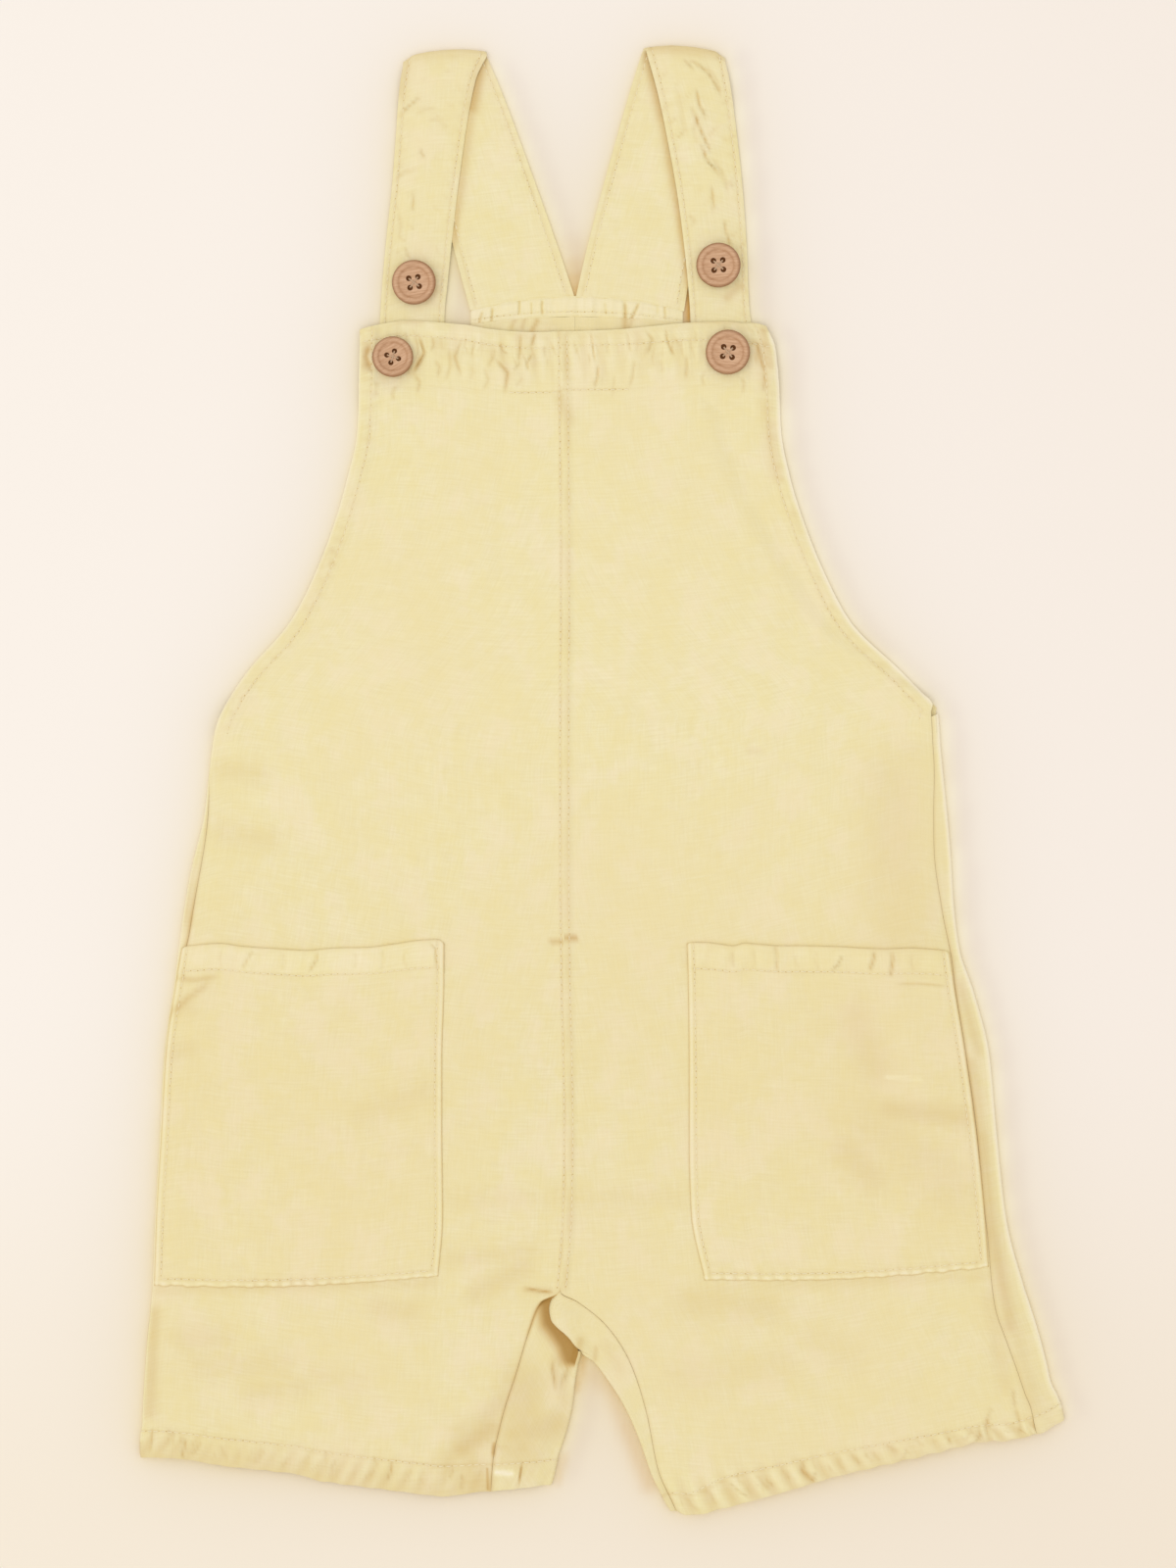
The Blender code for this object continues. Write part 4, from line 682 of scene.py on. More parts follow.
ButtonPlace = namedtuple("ButtonPlace", "name x y turn tilt low_side size")
BUTTONS = [
    ButtonPlace("button_strap_left", -63.3, 169.4, 8, 8, 215, 1.02),
    ButtonPlace("button_strap_right", 40.1, 175.2, 4, 7, 225, 1.02),
    ButtonPlace("button_bib_left", -70.7, 143.8, 28, 4, 60, 0.94),
    ButtonPlace("button_bib_right", 43.3, 145.6, -6, 8, 225, 1.02),
]
BUTTON_HOLE_RADIUS = 0.95
BUTTON_HOLE_SPACING = 3.15
BUTTON_HOLE_SIDES = 24
PEG_FOOT, PEG_TOP = -2.0, 6.0
BUTTON_THREAD = 0.11
# Discs of painted shade at the foot of the buttons' holes
BUTTON_SHADE_SIDES = 16
BUTTON_SHADE_HEIGHT = 0.7
BUTTON_SIDES = 64
# A button's outline from its underside round the rim to the dish, as radius and height
BUTTON_PROFILE = [
    (5.2, 0), (6.3, 0.15), (6.9, 0.5), (7.3, 1), (7.4, 1.6), (7.3, 2.2), (7, 2.6), (6.6, 2.85),
    (6.2, 2.9), (5.8, 2.85), (5.45, 2.6), (5.15, 2.2), (4.8, 1.85), (4.2, 1.62), (3.2, 1.5),
    (2.6, 1.48),
]


# Curves

def smoothstep(t):
    t = np.clip(t, 0.0, 1.0)
    return t * t * (3.0 - 2.0 * t)


def bump(distance, width):
    return np.exp(-((distance / width) ** 2))


def smooth_through(knots, values, at):
    """Cubic curve through the rows of a table that never swings past them."""
    knots = np.asarray(knots, float)
    values = np.asarray(values, float)
    at = np.atleast_1d(np.asarray(at, float))
    step = np.diff(knots)
    slope = np.diff(values, axis=0) / step[:, None]
    tangent = np.zeros_like(values)
    tangent[0], tangent[-1] = slope[0], slope[-1]
    before, after = slope[:-1], slope[1:]
    same_way = before * after > 0
    total = np.where(same_way, before + after, 1.0)
    tangent[1:-1] = np.where(same_way, 2.0 * before * after / total, 0.0)
    i = np.clip(np.searchsorted(knots, at, side="right") - 1, 0, len(step) - 1)
    t = ((at - knots[i]) / step[i])[:, None]
    h = step[i][:, None]
    return (
        (2 * t**3 - 3 * t**2 + 1) * values[i]
        + (t**3 - 2 * t**2 + t) * h * tangent[i]
        + (3 * t**2 - 2 * t**3) * values[i + 1]
        + (t**3 - t**2) * h * tangent[i + 1]
    )


def lengths_along(line):
    """How far along a line each of its points lies."""
    return np.concatenate([[0.0], np.cumsum(np.linalg.norm(np.diff(line, axis=0), axis=1))])


def centre_seam(columns):
    """Places of a centre seam from the neck to the crotch, which both halves share."""
    names = [row[0] for row in LEFT_SECTIONS]
    return np.array([row[1:] for row in LEFT_SECTIONS[:names.index("crotch") + 1]])[:, columns]


FRONT_SEAM = centre_seam(MIDDLE)
BACK_SEAM = centre_seam(UNDER)


class Half:
    """One half of the garment, with its section table read as smooth curves."""

    def __init__(self, side, rows):
        self.side = side
        self.sign = -1.0 if side == "left" else 1.0
        self.table = np.array([row[1:] for row in rows], float)
        lines = [self.table[:, columns] for columns in (EDGE, MIDDLE, UNDER)]
        steps = sum(np.linalg.norm(np.diff(line, axis=0), axis=1) for line in lines) / len(lines)
        self.knots = np.concatenate([[0.0], np.cumsum(steps)])
        self.at = {row[0]: knot for row, knot in zip(rows, self.knots) if row[0]}

    def column(self, columns, v):
        return smooth_through(self.knots, self.table[:, columns], v)

    def edge(self, v):
        return self.column(EDGE, v)

    def wrap(self, v):
        return self.column(WRAP, v)[:, 0]

    def mid(self, v):
        return self.on_seam(self.column(MIDDLE, v), v, FRONT_SEAM)

    def under(self, v):
        return self.on_seam(self.column(UNDER, v), v, BACK_SEAM)

    def on_seam(self, line, v, seam):
        """Puts the part above the crotch on the seam that both halves share."""
        shared = smooth_through(seam[::-1, 1], seam[::-1, :1], line[:, 1])[:, 0]
        line[:, 0] = np.where(v <= self.at["crotch"], shared, line[:, 0])
        return line

    def across(self, line, v, reach=0.5):
        """Unit vector in plan, square to a line and towards the right of the page."""
        tangent = line(np.minimum(v + reach, self.knots[-1])) - line(np.maximum(v - reach, 0.0))
        tangent /= np.linalg.norm(tangent, axis=1)[:, None]
        return np.stack([-tangent[:, 1], tangent[:, 0]], axis=1)

    def inward(self, v):
        return -self.sign * self.across(self.edge, v, 9.0)

    def outward(self, line, v):
        return self.sign * self.across(line, v)


HALVES = {"left": Half("left", LEFT_SECTIONS), "right": Half("right", RIGHT_SECTIONS)}


def graded(start, end, coarse, zones):
    """Places from start to end, closer together inside zones of (middle, reach, step)."""
    places = [start]
    while True:
        here = places[-1]
        step = min([coarse] + [
            max(fine, (abs(here - middle) - reach) * 0.35) if abs(here - middle) > reach else fine
            for middle, reach, fine in zones
        ])
        if here + 1.5 * step * DETAIL >= end:
            break
        places.append(here + step * DETAIL)
    return np.array(places + [end])


DETAIL = 1.0


# Form of the laid garment

def distance_to_line(line, x, y):
    """Distance in plan from each point to a polyline."""
    points = np.stack([np.ravel(x), np.ravel(y)], axis=1)
    nearest = np.full(len(points), 1e9)
    for start, run in zip(line[:-1], np.diff(line, axis=0)):
        offset = points - start
        t = np.clip(offset @ run / max(run @ run, 1e-9), 0.0, 1.0)
        nearest = np.minimum(nearest, np.hypot(*(offset - t[:, None] * run).T))
    return nearest.reshape(np.shape(x))


def fold_lines():
    """Lines where the cloth turns under: both sides below the armholes and inside both legs."""
    lines = []
    for half in HALVES.values():
        lines.append(half.edge(np.linspace(half.at["corner"] + ROLL_BLEND / 2, half.at["hem"], 40)))
        lines.append(half.under(np.linspace(half.at["crotch"], half.at["hem"], 16)))
    return lines


def back_armholes():
    """Hidden armhole edges of the back, as x for each y from the corner up."""
    edges = {}
    for side, half in HALVES.items():
        v = np.linspace(half.at["corner"], half.at["neck"], 60)
        line = half.edge(v)
        line[:, 0] += half.sign * np.minimum(half.wrap(v), 0.0)
        edges[side] = line
    return edges


# Reach and amount of the painted highlight along each side of the outline
RIM_HIGHLIGHT = {"left": (1.0, 0.55), "right": (1.8, 0.90)}
OUTLINES = {
    side: half.edge(np.linspace(half.at["bib"] + 3.0, half.at["hem"] - 6.0, 90))
    for side, half in HALVES.items()
}
FOLD_LINES = fold_lines()
BACK_ARMHOLES = back_armholes()


def support(x, y):
    """1 where the front rests on the back or on a strap end, 0 where it lies near the floor."""
    beyond = np.full(np.shape(x), -1000.0)
    for side, line in BACK_ARMHOLES.items():
        past = HALVES[side].sign * (x - np.interp(y, line[:, 1], line[:, 0]))
        beyond = np.maximum(beyond, past)
    on_back = 1.0 - smoothstep((beyond - SUPPORT_MARGIN) / SUPPORT_BLEND)
    held = np.maximum(on_back, smoothstep((22.0 - y) / 12.0))
    for strap in STRAPS.values():
        end_left, end_y, end_right = strap["over"][-1][:3]
        top_left, _, top_right = strap["over"][-3][:3]
        middle = (end_left + end_right + top_left + top_right) / 4
        half_width = (end_right - end_left) / 2 + SUPPORT_MARGIN
        sideways = (np.abs(x - middle) - half_width) / SUPPORT_BLEND
        downward = (end_y - SUPPORT_MARGIN - y) / SUPPORT_BLEND
        held = np.maximum(held, (1.0 - smoothstep(sideways)) * (1.0 - smoothstep(downward)))
    return held


def along_line(row, x, y):
    """Height or amount of a fold or patch at each point, from its row of the table."""
    *ends, width, amount = row
    line = np.array(ends, float).reshape(2, 2)
    return amount * bump(distance_to_line(line, x, y), width)


def crease_field(creases, x, y):
    """Depth of the fine creases at each point, deepest half way along each."""
    depth = np.zeros(np.shape(x))
    lift = np.zeros(np.shape(x))
    for *places, spread, deepest in creases:
        line = np.array(places, float).reshape(3, 2)
        reach = 5 * spread
        width = CREASE_WIDTH * spread
        near = (np.abs(x - line[:, 0].mean()) < np.ptp(line[:, 0]) + reach)
        near &= (np.abs(y - line[:, 1].mean()) < np.ptp(line[:, 1]) + reach)
        if not near.any():
            continue
        px, py = x[near], y[near]
        away = distance_to_line(line, px, py)
        run = line[2] - line[0]
        along = ((px - line[0, 0]) * run[0] + (py - line[0, 1]) * run[1]) / (run @ run)
        taper = smoothstep(along / 0.3 + 0.25) * smoothstep((1.0 - along) / 0.3 + 0.25)
        depth[near] += deepest * bump(away, width) * taper
        lift[near] += 0.45 * deepest * bump(away - 2.3 * width, 1.5 * width) * taper
    return depth, lift


def painted_patch_shade(patches, x, y):
    """Painted shade by place, with a negative amount for a painted highlight."""
    deep = np.zeros(np.shape(x))
    pale = np.zeros(np.shape(x))
    for patch in patches:
        amount = along_line(patch, x, y)
        deep = np.maximum(deep, amount)
        pale = np.minimum(pale, amount)
    return deep + pale


def painted_cloth_shade(x, y):
    """Painted shade and highlight of the laid cloth by place, and a little more depth of colour towards
    the legs.
    """
    return 0.10 * smoothstep((40.0 - y) / 150.0) + painted_patch_shade(SHADE_PATCHES, x, y)


def unevenness(x, y):
    return sum(
        wave.height * np.sin(2 * math.pi * (x / wave.length_x + y / wave.length_y) + wave.phase)
        for wave in UNEVEN
    )


def top_height(x, y):
    """Height of the upper face of the laid garment, without hems and pockets."""
    held = support(x, y)
    height = FREE_HEIGHT + (STACK_HEIGHT - FREE_HEIGHT) * held
    height = height + sum(along_line(fold, x, y) for fold in FOLDS) * held
    height = height + unevenness(x, y) * (0.6 + 0.6 * held)
    for line in FOLD_LINES:
        near = 1.0 - smoothstep((distance_to_line(line, x, y) - FOLD_RADIUS) / FOLD_BLEND)
        height = height + (2 * FOLD_RADIUS - height) * near
    return height


def arc_point(at, inward, angle):
    """Point of the turned-under edge: angle is -90 at the floor and +90 on top."""
    phi = math.radians(angle)
    plan = at + inward * (FOLD_RADIUS * (1.0 - math.cos(phi)))
    return np.column_stack([plan, np.full(len(at), FOLD_RADIUS * (1.0 + math.sin(phi)))])


def on_top(plan):
    return np.column_stack([plan, top_height(plan[:, 0], plan[:, 1])])


def on_floor(plan):
    return np.column_stack([plan, np.zeros(len(plan))])


def side_path(half, v, travel):
    """Point of the left side, where the seam runs on the turned edge: travel starts at the floor."""
    turn = math.pi * FOLD_RADIUS
    phi = np.minimum(travel, turn) / FOLD_RADIUS - math.pi / 2
    reach = FOLD_RADIUS * (1.0 - np.cos(phi))
    reach = np.where(travel > turn, FOLD_RADIUS + np.maximum(travel - turn, 0.0), reach)
    plan = half.edge(v) + half.inward(v) * reach[:, None]
    rolled = np.where(travel > turn, top_height(*plan.T), FOLD_RADIUS * (1.0 + np.sin(phi)))
    return np.column_stack([plan, rolled])


def seam_travel(half, v):
    """How far round the turned edge the side seam lies, from the floor."""
    wrap = np.maximum(half.wrap(v), 0.0)
    phi = np.arccos(np.clip(1.0 - wrap / FOLD_RADIUS, 0.0, 1.0))
    return FOLD_RADIUS * (math.pi / 2 + phi) + np.maximum(wrap - FOLD_RADIUS, 0.0)


def rolled_amount(half, v):
    return smoothstep((v - half.at["corner"]) / ROLL_BLEND)[:, None]


def rise_at(curve, x):
    """Rise of a curve's table at each x."""
    table = np.array(curve)
    flat = np.clip(np.nan_to_num(np.ravel(x)), table[0, 0], table[-1, 0])
    return smooth_through(table[:, 0], table[:, 1:], flat)[:, 0].reshape(np.shape(x))


def row_rise(half, v, x, panel):
    """Rise of a row above its straight line, at the top of the bib or back and at the leg hem."""
    if panel == "front":
        top = rise_at(BIB_TOP, x) * (1.0 - smoothstep((v - half.at["bib"]) / BIB_BOW_FADE))
    else:
        top = rise_at(BACK_TOP, x) * (1.0 - smoothstep((v - half.at["neck"]) / BOW_FADE))
    foot = smoothstep((v - half.at["hem"] + BOW_FADE) / BOW_FADE)
    rough = HEM_ROUGH[half.side] * roping(np.nan_to_num(x), 7.7, 0.6)
    rough = rough * smoothstep((v - half.at["hem"] + 6.0) / 6.0)
    return top + rise_at(LEG_HEMS[half.side], x) * foot + rough


# Relief along seams and hems

def roping(along, pitch, seed):
    """Uneven small puckers along a line of stitches, between -1 and 1."""
    drift = 1.3 * np.sin(along / (pitch * 3.1) + seed)
    drift = drift + 0.8 * np.sin(along / (pitch * 1.7) + 2.3 * seed)
    size = 0.65 + 0.35 * np.sin(along / (pitch * 2.3) + 1.7 * seed)
    return size * np.sin(2 * math.pi * along / pitch + drift)


def wrinkles(along, across, pitch, seed, cell=13.0):
    """Thin broken creases with soft ridges beside them, about one for each pitch along and each
    cell across. Creases come out positive."""
    level = np.floor(across / cell)
    local = across / cell - level - 0.5
    bend = 0.9 * np.sin(across / 4.1 + along / 13.0 + seed)
    bend = bend + 0.5 * np.sin(across / 2.2 + along / 6.0 + 2.0 * seed)
    place = (along + bend) / pitch + 0.5 * np.sin(1.7 * level + seed)
    number = np.round(place)
    turn = number * 12.9 + level * 78.2 + seed
    middle, length, depth = (np.abs(np.sin(turn * k) * 1000.0) % 1.0 for k in (1.0, 3.1, 5.7))
    away = np.abs(place - number) * pitch
    reach = bump(local - 0.4 * (middle - 0.5), 0.12 + 0.16 * length)
    reach = reach * smoothstep((0.5 - np.abs(local)) / 0.12)
    return (0.2 + 0.8 * depth**2) * (bump(away, 0.42) - 0.35 * bump(away - 1.3, 0.6)) * reach


def groove(distance, at, depth=0.22, width=0.7):
    return -depth * bump(distance - at, width)


def rounded(distance, depth=0.35, reach=0.9):
    """Rounding of a folded edge."""
    return -depth * (1.0 - smoothstep(distance / reach))


def hem_step(distance, at, height):
    """Doubled cloth from a folded edge to a little past its stitches."""
    return height * (1.0 - smoothstep((distance - at) / 1.2))


def front_relief(half, to_edge, to_middle, to_top, to_foot, x, y, open_edge):
    """Relief of the front on its plain form, and its painted shade and painted highlight."""
    seed = 1.0 if half.side == "left" else 2.2
    armhole_roping = roping(y, 4.9, seed)
    armhole = open_edge * (
        hem_step(to_edge, ARMHOLE_STITCH + 0.6, 0.4)
        + rounded(to_edge)
        + groove(to_edge, ARMHOLE_STITCH)
        + 0.14 * bump(to_edge - 3.0, 3.5) * armhole_roping
    )
    painted_shade = open_edge * (0.20 * bump(to_edge - ARMHOLE_STITCH, 0.45) + 0.16 * bump(to_edge - 3.2, 2.6)
                        * np.maximum(-armhole_roping, 0.0))
    fine = open_edge * bump(to_edge - 3.0, 3.2) * wrinkles(y, to_edge, 4.4, 5.0 * seed, 7.0)
    armhole = armhole - 0.24 * fine
    painted_shade = painted_shade + 0.30 * np.maximum(fine, 0.0)
    top = hem_step(to_top, FACING_STITCH + 0.6, 0.18) + rounded(to_top) + groove(to_top, BIB_STITCH, 0.16)
    band = smoothstep(to_top / 3.0) * (1.0 - smoothstep((to_top - 12.0) / 10.0))
    puckers = roping(x + 0.10 * y, 5.9, 0.7)
    top = top + 0.16 * band * puckers + 0.09 * band * roping(x - 0.05 * y, 3.4, 2.9)
    fine = band * wrinkles(x + 0.12 * y, to_top - 2.0, 3.4, seed) * (0.5 + 0.5 * bump(x + 15.0, 48.0))
    faced = 0.3 + 0.7 * facing_shows(x)
    top = top + groove(to_top, FACING_STITCH, 0.20, 0.6) * faced - 0.34 * fine
    painted_shade = painted_shade + 0.22 * bump(to_top - FACING_STITCH, 0.4) * faced
    painted_shade = painted_shade + band * (0.16 * np.maximum(-puckers, 0.0) - 0.12 * np.maximum(puckers, 0.0))
    painted_shade = painted_shade + 0.60 * np.maximum(fine, 0.0)
    painted_shade = painted_shade + 0.15 * bump(to_top - BIB_STITCH, 0.4) + 0.10 * bump(to_top - 1.5, 1.0)
    stitch_at = hem_stitch(half, x)
    along_hem = x + 0.55 * half.sign * to_foot
    pitch = 5.6 if half.side == "left" else 6.6
    strength = 0.22 if half.side == "left" else 0.40
    hem_roping = roping(along_hem, pitch, 1.1 * seed)
    hem_band = bump(to_foot - 4.0, 5.0)
    hem_shade = 0.8 * np.maximum(-hem_roping, 0.0) - 0.7 * np.maximum(hem_roping, 0.0)
    foot = hem_step(to_foot, stitch_at + 0.5, 0.5) + rounded(to_foot, 0.45, 1.3)
    foot = foot + groove(to_foot, stitch_at, 0.25) + strength * hem_band * hem_roping
    fine = hem_band * wrinkles(along_hem, to_foot, 4.3, 3.0 * seed, 9.5)
    foot = foot - 0.9 * strength * fine
    painted_shade = painted_shade + 0.25 * bump(to_foot - stitch_at, 0.45) + 1.2 * strength * np.maximum(fine, 0.0)
    painted_shade = painted_shade + strength * hem_band * hem_shade
    painted_shade = painted_shade + HEM_SHADE[half.side] * (1.0 - smoothstep((to_foot - 1.0) / 10.0))
    seam_row = SEAM_STITCH[half.side]
    above_crotch = smoothstep((y + 176.0) / 5.0)
    seam = above_crotch * (
        0.38 * (1.0 - smoothstep((to_middle - seam_row - 0.4) / 1.0))
        + groove(to_middle, seam_row, 0.09, 0.5)
        + 0.10 * bump(to_middle, 0.35)
        + 0.05 * bump(to_middle, 4.0) * roping(y, 4.6, 2.4)
    )
    stripe = bump(to_middle - 0.72 * seam_row, 0.62 * seam_row)
    stripe = stripe * (0.6 + 0.4 * roping(y, 23.0, 3.0 * seed))
    painted_shade = painted_shade + above_crotch * (0.18 * bump(to_middle - seam_row, 0.4) + 0.24 * stripe)
    inseam = 1.0 - above_crotch
    depth = inseam_depth(half, y) * inseam
    painted_shade = painted_shade + 1.15 * depth * bump(to_middle, 0.55)
    side_seam = 1.0 - open_edge
    side_depth = side_seam_depth(half, y) * side_seam
    seam = seam - 0.35 * depth * bump(to_middle, 0.7) - 0.25 * side_depth * bump(to_edge, 0.7)
    painted_shade = painted_shade + 0.9 * side_depth * bump(to_edge, 0.45)
    depth, lift = crease_field(CREASES, x, y)
    relief = armhole + top + foot + seam - depth + lift
    return relief, painted_shade + CREASE_SHADE_PAINT * depth + painted_cloth_shade(x, y) - painted_rim_highlight(x, y)


def painted_rim_highlight(x, y):
    """Painted highlight where the cloth turns under at the outline: most along the right."""
    rim = np.zeros(np.shape(x))
    for side, (reach, amount) in RIM_HIGHLIGHT.items():
        away = distance_to_line(OUTLINES[side], x, y)
        rim = np.maximum(rim, amount * (1.0 - smoothstep(away / reach)))
    return rim


def facing_shows(x):
    """Where the stitches of the facing show: on both sides of the centre seam."""
    return smoothstep((x + 33.0) / 6.0) * (1.0 - smoothstep((x - 4.0) / 8.0))


def hem_stitch(half, x):
    """Distance of the leg hem's stitches from its edge, less at the inside of the right leg."""
    if half.side == "left":
        return LEG_HEM_STITCH
    return LEG_HEM_STITCH - 4.0 * (1.0 - smoothstep((x - 24.0) / 26.0))


def hem_stitch_rows(half, v, grid):
    """Row of the grid, in fractions, at which the hem's stitches lie in each column."""
    x = np.nan_to_num(grid[-1, :, 0])
    at = np.full(len(x), half.at["hem"]) - hem_stitch(half, x)
    return np.interp(at, v, np.arange(len(v)))


def inseam_depth(half, y):
    """How deep the inside leg seam sits, from the crotch down."""
    if half.side == "left":
        return 0.45 + 0.5 * smoothstep((y + 192.0) / 8.0)
    return 0.3


def side_seam_depth(half, y):
    """How deep the side seam sits: deepest beside the tops of the pockets."""
    if half.side == "left":
        return 0.45 + 0.4 * bump(y + 52.0, 14.0)
    return 0.30 + 0.30 * bump(y + 68.0, 16.0) + 0.38 * bump(y + 112.0, 38.0)


# Building cloth

def surface_normals(points, there, flip):
    """Outward direction at each grid point, from the quads round it."""
    normals = np.zeros_like(points)
    a, b = points[:-1, :-1], points[1:, :-1]
    c, d = points[1:, 1:], points[:-1, 1:]
    facing = np.nan_to_num(np.cross(c - a, d - b))
    first, second = slice(0, -1), slice(1, None)
    for rows, columns in ((first, first), (second, first), (second, second), (first, second)):
        normals[rows, columns] += facing
    length = np.linalg.norm(normals, axis=2)
    length[~there | (length < 1e-12)] = 1.0
    normals /= length[..., None]
    return -normals if flip else normals


def cloth(name, grid, raised, thickened, flip, material, painted_shade):
    """Thin closed sheet under a grid of outer points, with its painted shade kept on the points. Missing
    points are left out.
    """
    rows, columns = grid.shape[:2]
    there = ~np.isnan(grid[..., 0])
    normals = surface_normals(grid, there, flip)
    outer = grid + normals * raised[..., None]
    inner = grid - normals * (WALL + thickened)[..., None]
    number = np.full((rows, columns), -1)
    number[there] = np.arange(there.sum())
    count = int(there.sum())
    full = there[:-1, :-1] & there[1:, :-1] & there[1:, 1:] & there[:-1, 1:]
    corners = [number[:-1, :-1], number[1:, :-1], number[1:, 1:], number[:-1, 1:]]
    quads = np.stack(corners, axis=-1)[full]
    if flip:
        quads = quads[:, ::-1]
    sides = np.concatenate([quads[:, [k, (k + 1) % 4]] for k in range(4)])
    code = sides[:, 0] * count + sides[:, 1]
    back = sides[:, 1] * count + sides[:, 0]
    rim = sides[~np.isin(code, back)]
    rims = np.column_stack([rim[:, 1], rim[:, 0], rim[:, 0] + count, rim[:, 1] + count])
    faces = np.concatenate([quads, quads[:, ::-1] + count, rims])
    points = np.concatenate([outer[there], inner[there]]) * MM
    step_down = np.nan_to_num(np.linalg.norm(np.diff(grid, axis=0), axis=2))
    step_side = np.nan_to_num(np.linalg.norm(np.diff(grid, axis=1), axis=2))
    down = np.vstack([np.zeros(columns), np.cumsum(step_down, axis=0)])
    side = np.column_stack([np.zeros(rows), np.cumsum(step_side, axis=1)])
    weave = np.tile(np.column_stack([side[there], down[there]]), (2, 1)) * MM
    made = mesh_object(name, points, faces, material, weave)
    layer = made.data.attributes.new("painted_light", "FLOAT", "POINT")
    layer.data.foreach_set("value", np.tile(np.clip(painted_shade, -1.0, 2.0)[there], 2))
    made["area"] = float(step_area(grid))
    return made, outer, normals


def step_area(grid):
    a = grid[1:, 1:] - grid[:-1, :-1]
    b = grid[1:, :-1] - grid[:-1, 1:]
    return np.nansum(np.linalg.norm(np.cross(a, b), axis=2)) / 2 * MM * MM


def placed(name, data):
    """New object in the scene."""
    made = bpy.data.objects.new(name, data)
    bpy.context.scene.collection.objects.link(made)
    return made


def mesh_object(name, points, faces, material, weave):
    mesh = bpy.data.meshes.new(name)
    mesh.from_pydata(points.tolist(), [], faces.tolist())
    layer = mesh.uv_layers.new(name="weave")
    corners = np.empty(len(mesh.loops), int)
    mesh.loops.foreach_get("vertex_index", corners)
    layer.uv.foreach_set("vector", weave[corners].ravel())
    mesh.materials.append(material)
    mesh.shade_smooth()
    mesh.set_sharp_from_angle(angle=math.radians(CLOTH_SHARP))
    return placed(name, mesh)


def plain_object(name, points, faces, materials, which=None):
    """Smooth object from points in millimetres, with the number of each face's material."""
    mesh = bpy.data.meshes.new(name)
    mesh.from_pydata([tuple(np.array(point) * MM) for point in points], [], faces)
    for material in materials:
        mesh.materials.append(MATERIALS[material])
    if which:
        mesh.polygons.foreach_set("material_index", which)
    mesh.shade_smooth()
    return placed(name, mesh)


def circle(sides):
    """Cosine and sine at each corner of a ring."""
    turns = [2 * math.pi * k / sides for k in range(sides)]
    return [(math.cos(turn), math.sin(turn)) for turn in turns]


def ring_faces(first, rings, sides):
    """Faces that join rings of points, each ring to the next."""
    faces = []
    for low in range(first, first + (rings - 1) * sides, sides):
        high = low + sides
        for k in range(sides):
            after = (k + 1) % sides
            faces.append([low + k, low + after, high + after, high + k])
    return faces


def add_thread(points, faces, middles, sideways, upward, radii):
    """Adds a round thread along a line of middles."""
    faces.extend(ring_faces(len(points), len(middles), THREAD_SIDES))
    for middle, side, up, radius in zip(middles, sideways, upward, radii):
        points.extend(middle + (side * a + up * b) * radius for a, b in circle(THREAD_SIDES))


def read_along(table, along, place):
    """Rows of a table at places along it."""
    return np.column_stack([np.interp(place, along, column) for column in table.T])


def stitches(name, surface, normals, paths):
    """Raised threads along paths, each a list of (row, column) places on the grid, with a disc of
    painted shade in every gap, where the needle went through."""
    points, faces, dark = [], [], []
    for path in paths:
        spine = sample(surface, path)
        up = sample(normals, path)
        good = ~np.isnan(spine[:, 0])
        spine, up = spine[good], up[good]
        if len(spine) < 2:
            continue
        along = lengths_along(spine)
        for k in range(int(along[-1] / STITCH_PITCH)):
            start = (k + 0.14 + 0.06 * math.sin(k * 2.3)) * STITCH_PITCH
            place = start + STITCH_LENGTH * np.array(STITCH_STEPS)
            if place[-1] > along[-1]:
                break
            centre = read_along(spine, along, place)
            rise = read_along(up, along, place)
            rise /= np.linalg.norm(rise, axis=1)[:, None]
            forward = (centre[-1] - centre[0]) / np.linalg.norm(centre[-1] - centre[0])
            side = np.cross(forward, rise)
            centre = centre + side * (np.linspace(-1, 1, len(place)) * 0.14 * math.sin(k * 1.7))[:, None]
            show = 0.5 + 0.5 * math.sin(k * 0.37 + 1.9 * math.sin(k * 0.113) + len(points) * 0.0001)
            lift = np.array(STITCH_LIFT) - 0.14 * (1.0 - show)
            thick = STITCH_RADIUS * np.array(STITCH_THICK)
            add_thread(points, faces, centre + rise * lift[:, None], side, rise, thick)
            hole_shade = centre[-1] + forward * (STITCH_PITCH - STITCH_LENGTH) / 2 + rise[-1] * 0.03
            reach = HOLE_RADIUS * (0.55 + 0.6 * show)
            faces.append([len(points) + corner for corner in range(HOLE_SIDES)])
            points.extend(hole_shade + (side[-1] * a + forward * b) * reach for a, b in circle(HOLE_SIDES))
            dark += [0] * (len(faces) - 1 - len(dark)) + [1]
    made = plain_object(name, points, faces, ("thread", "hole_shade"), dark)
    return made


def sample(surface, path):
    """Points of a grid at fractional (row, column) places."""
    path = np.asarray(path, float)
    rows, columns = surface.shape[:2]
    r = np.clip(path[:, 0], 0, rows - 1.001)
    c = np.clip(path[:, 1], 0, columns - 1.001)
    i, j = r.astype(int), c.astype(int)
    a, b = (r - i)[:, None], (c - j)[:, None]
    top = surface[i, j] * (1 - b) + surface[i, j + 1] * b
    foot = surface[i + 1, j] * (1 - b) + surface[i + 1, j + 1] * b
    return top * (1 - a) + foot * a


def column_path(distances, at, rows):
    """Path down the rows at one distance, where each row's distances grow or fall with the column."""
    path = []
    for r in rows:
        line = distances[r]
        order = np.argsort(line)
        path.append((r, np.interp(at, line[order], np.arange(len(line))[order])))
    return path


def row_path(places, at, columns):
    """Path along the columns at one place down the rows."""
    r = np.interp(at, places, np.arange(len(places)))
    return [(r, c) for c in columns]


# Pieces of cloth

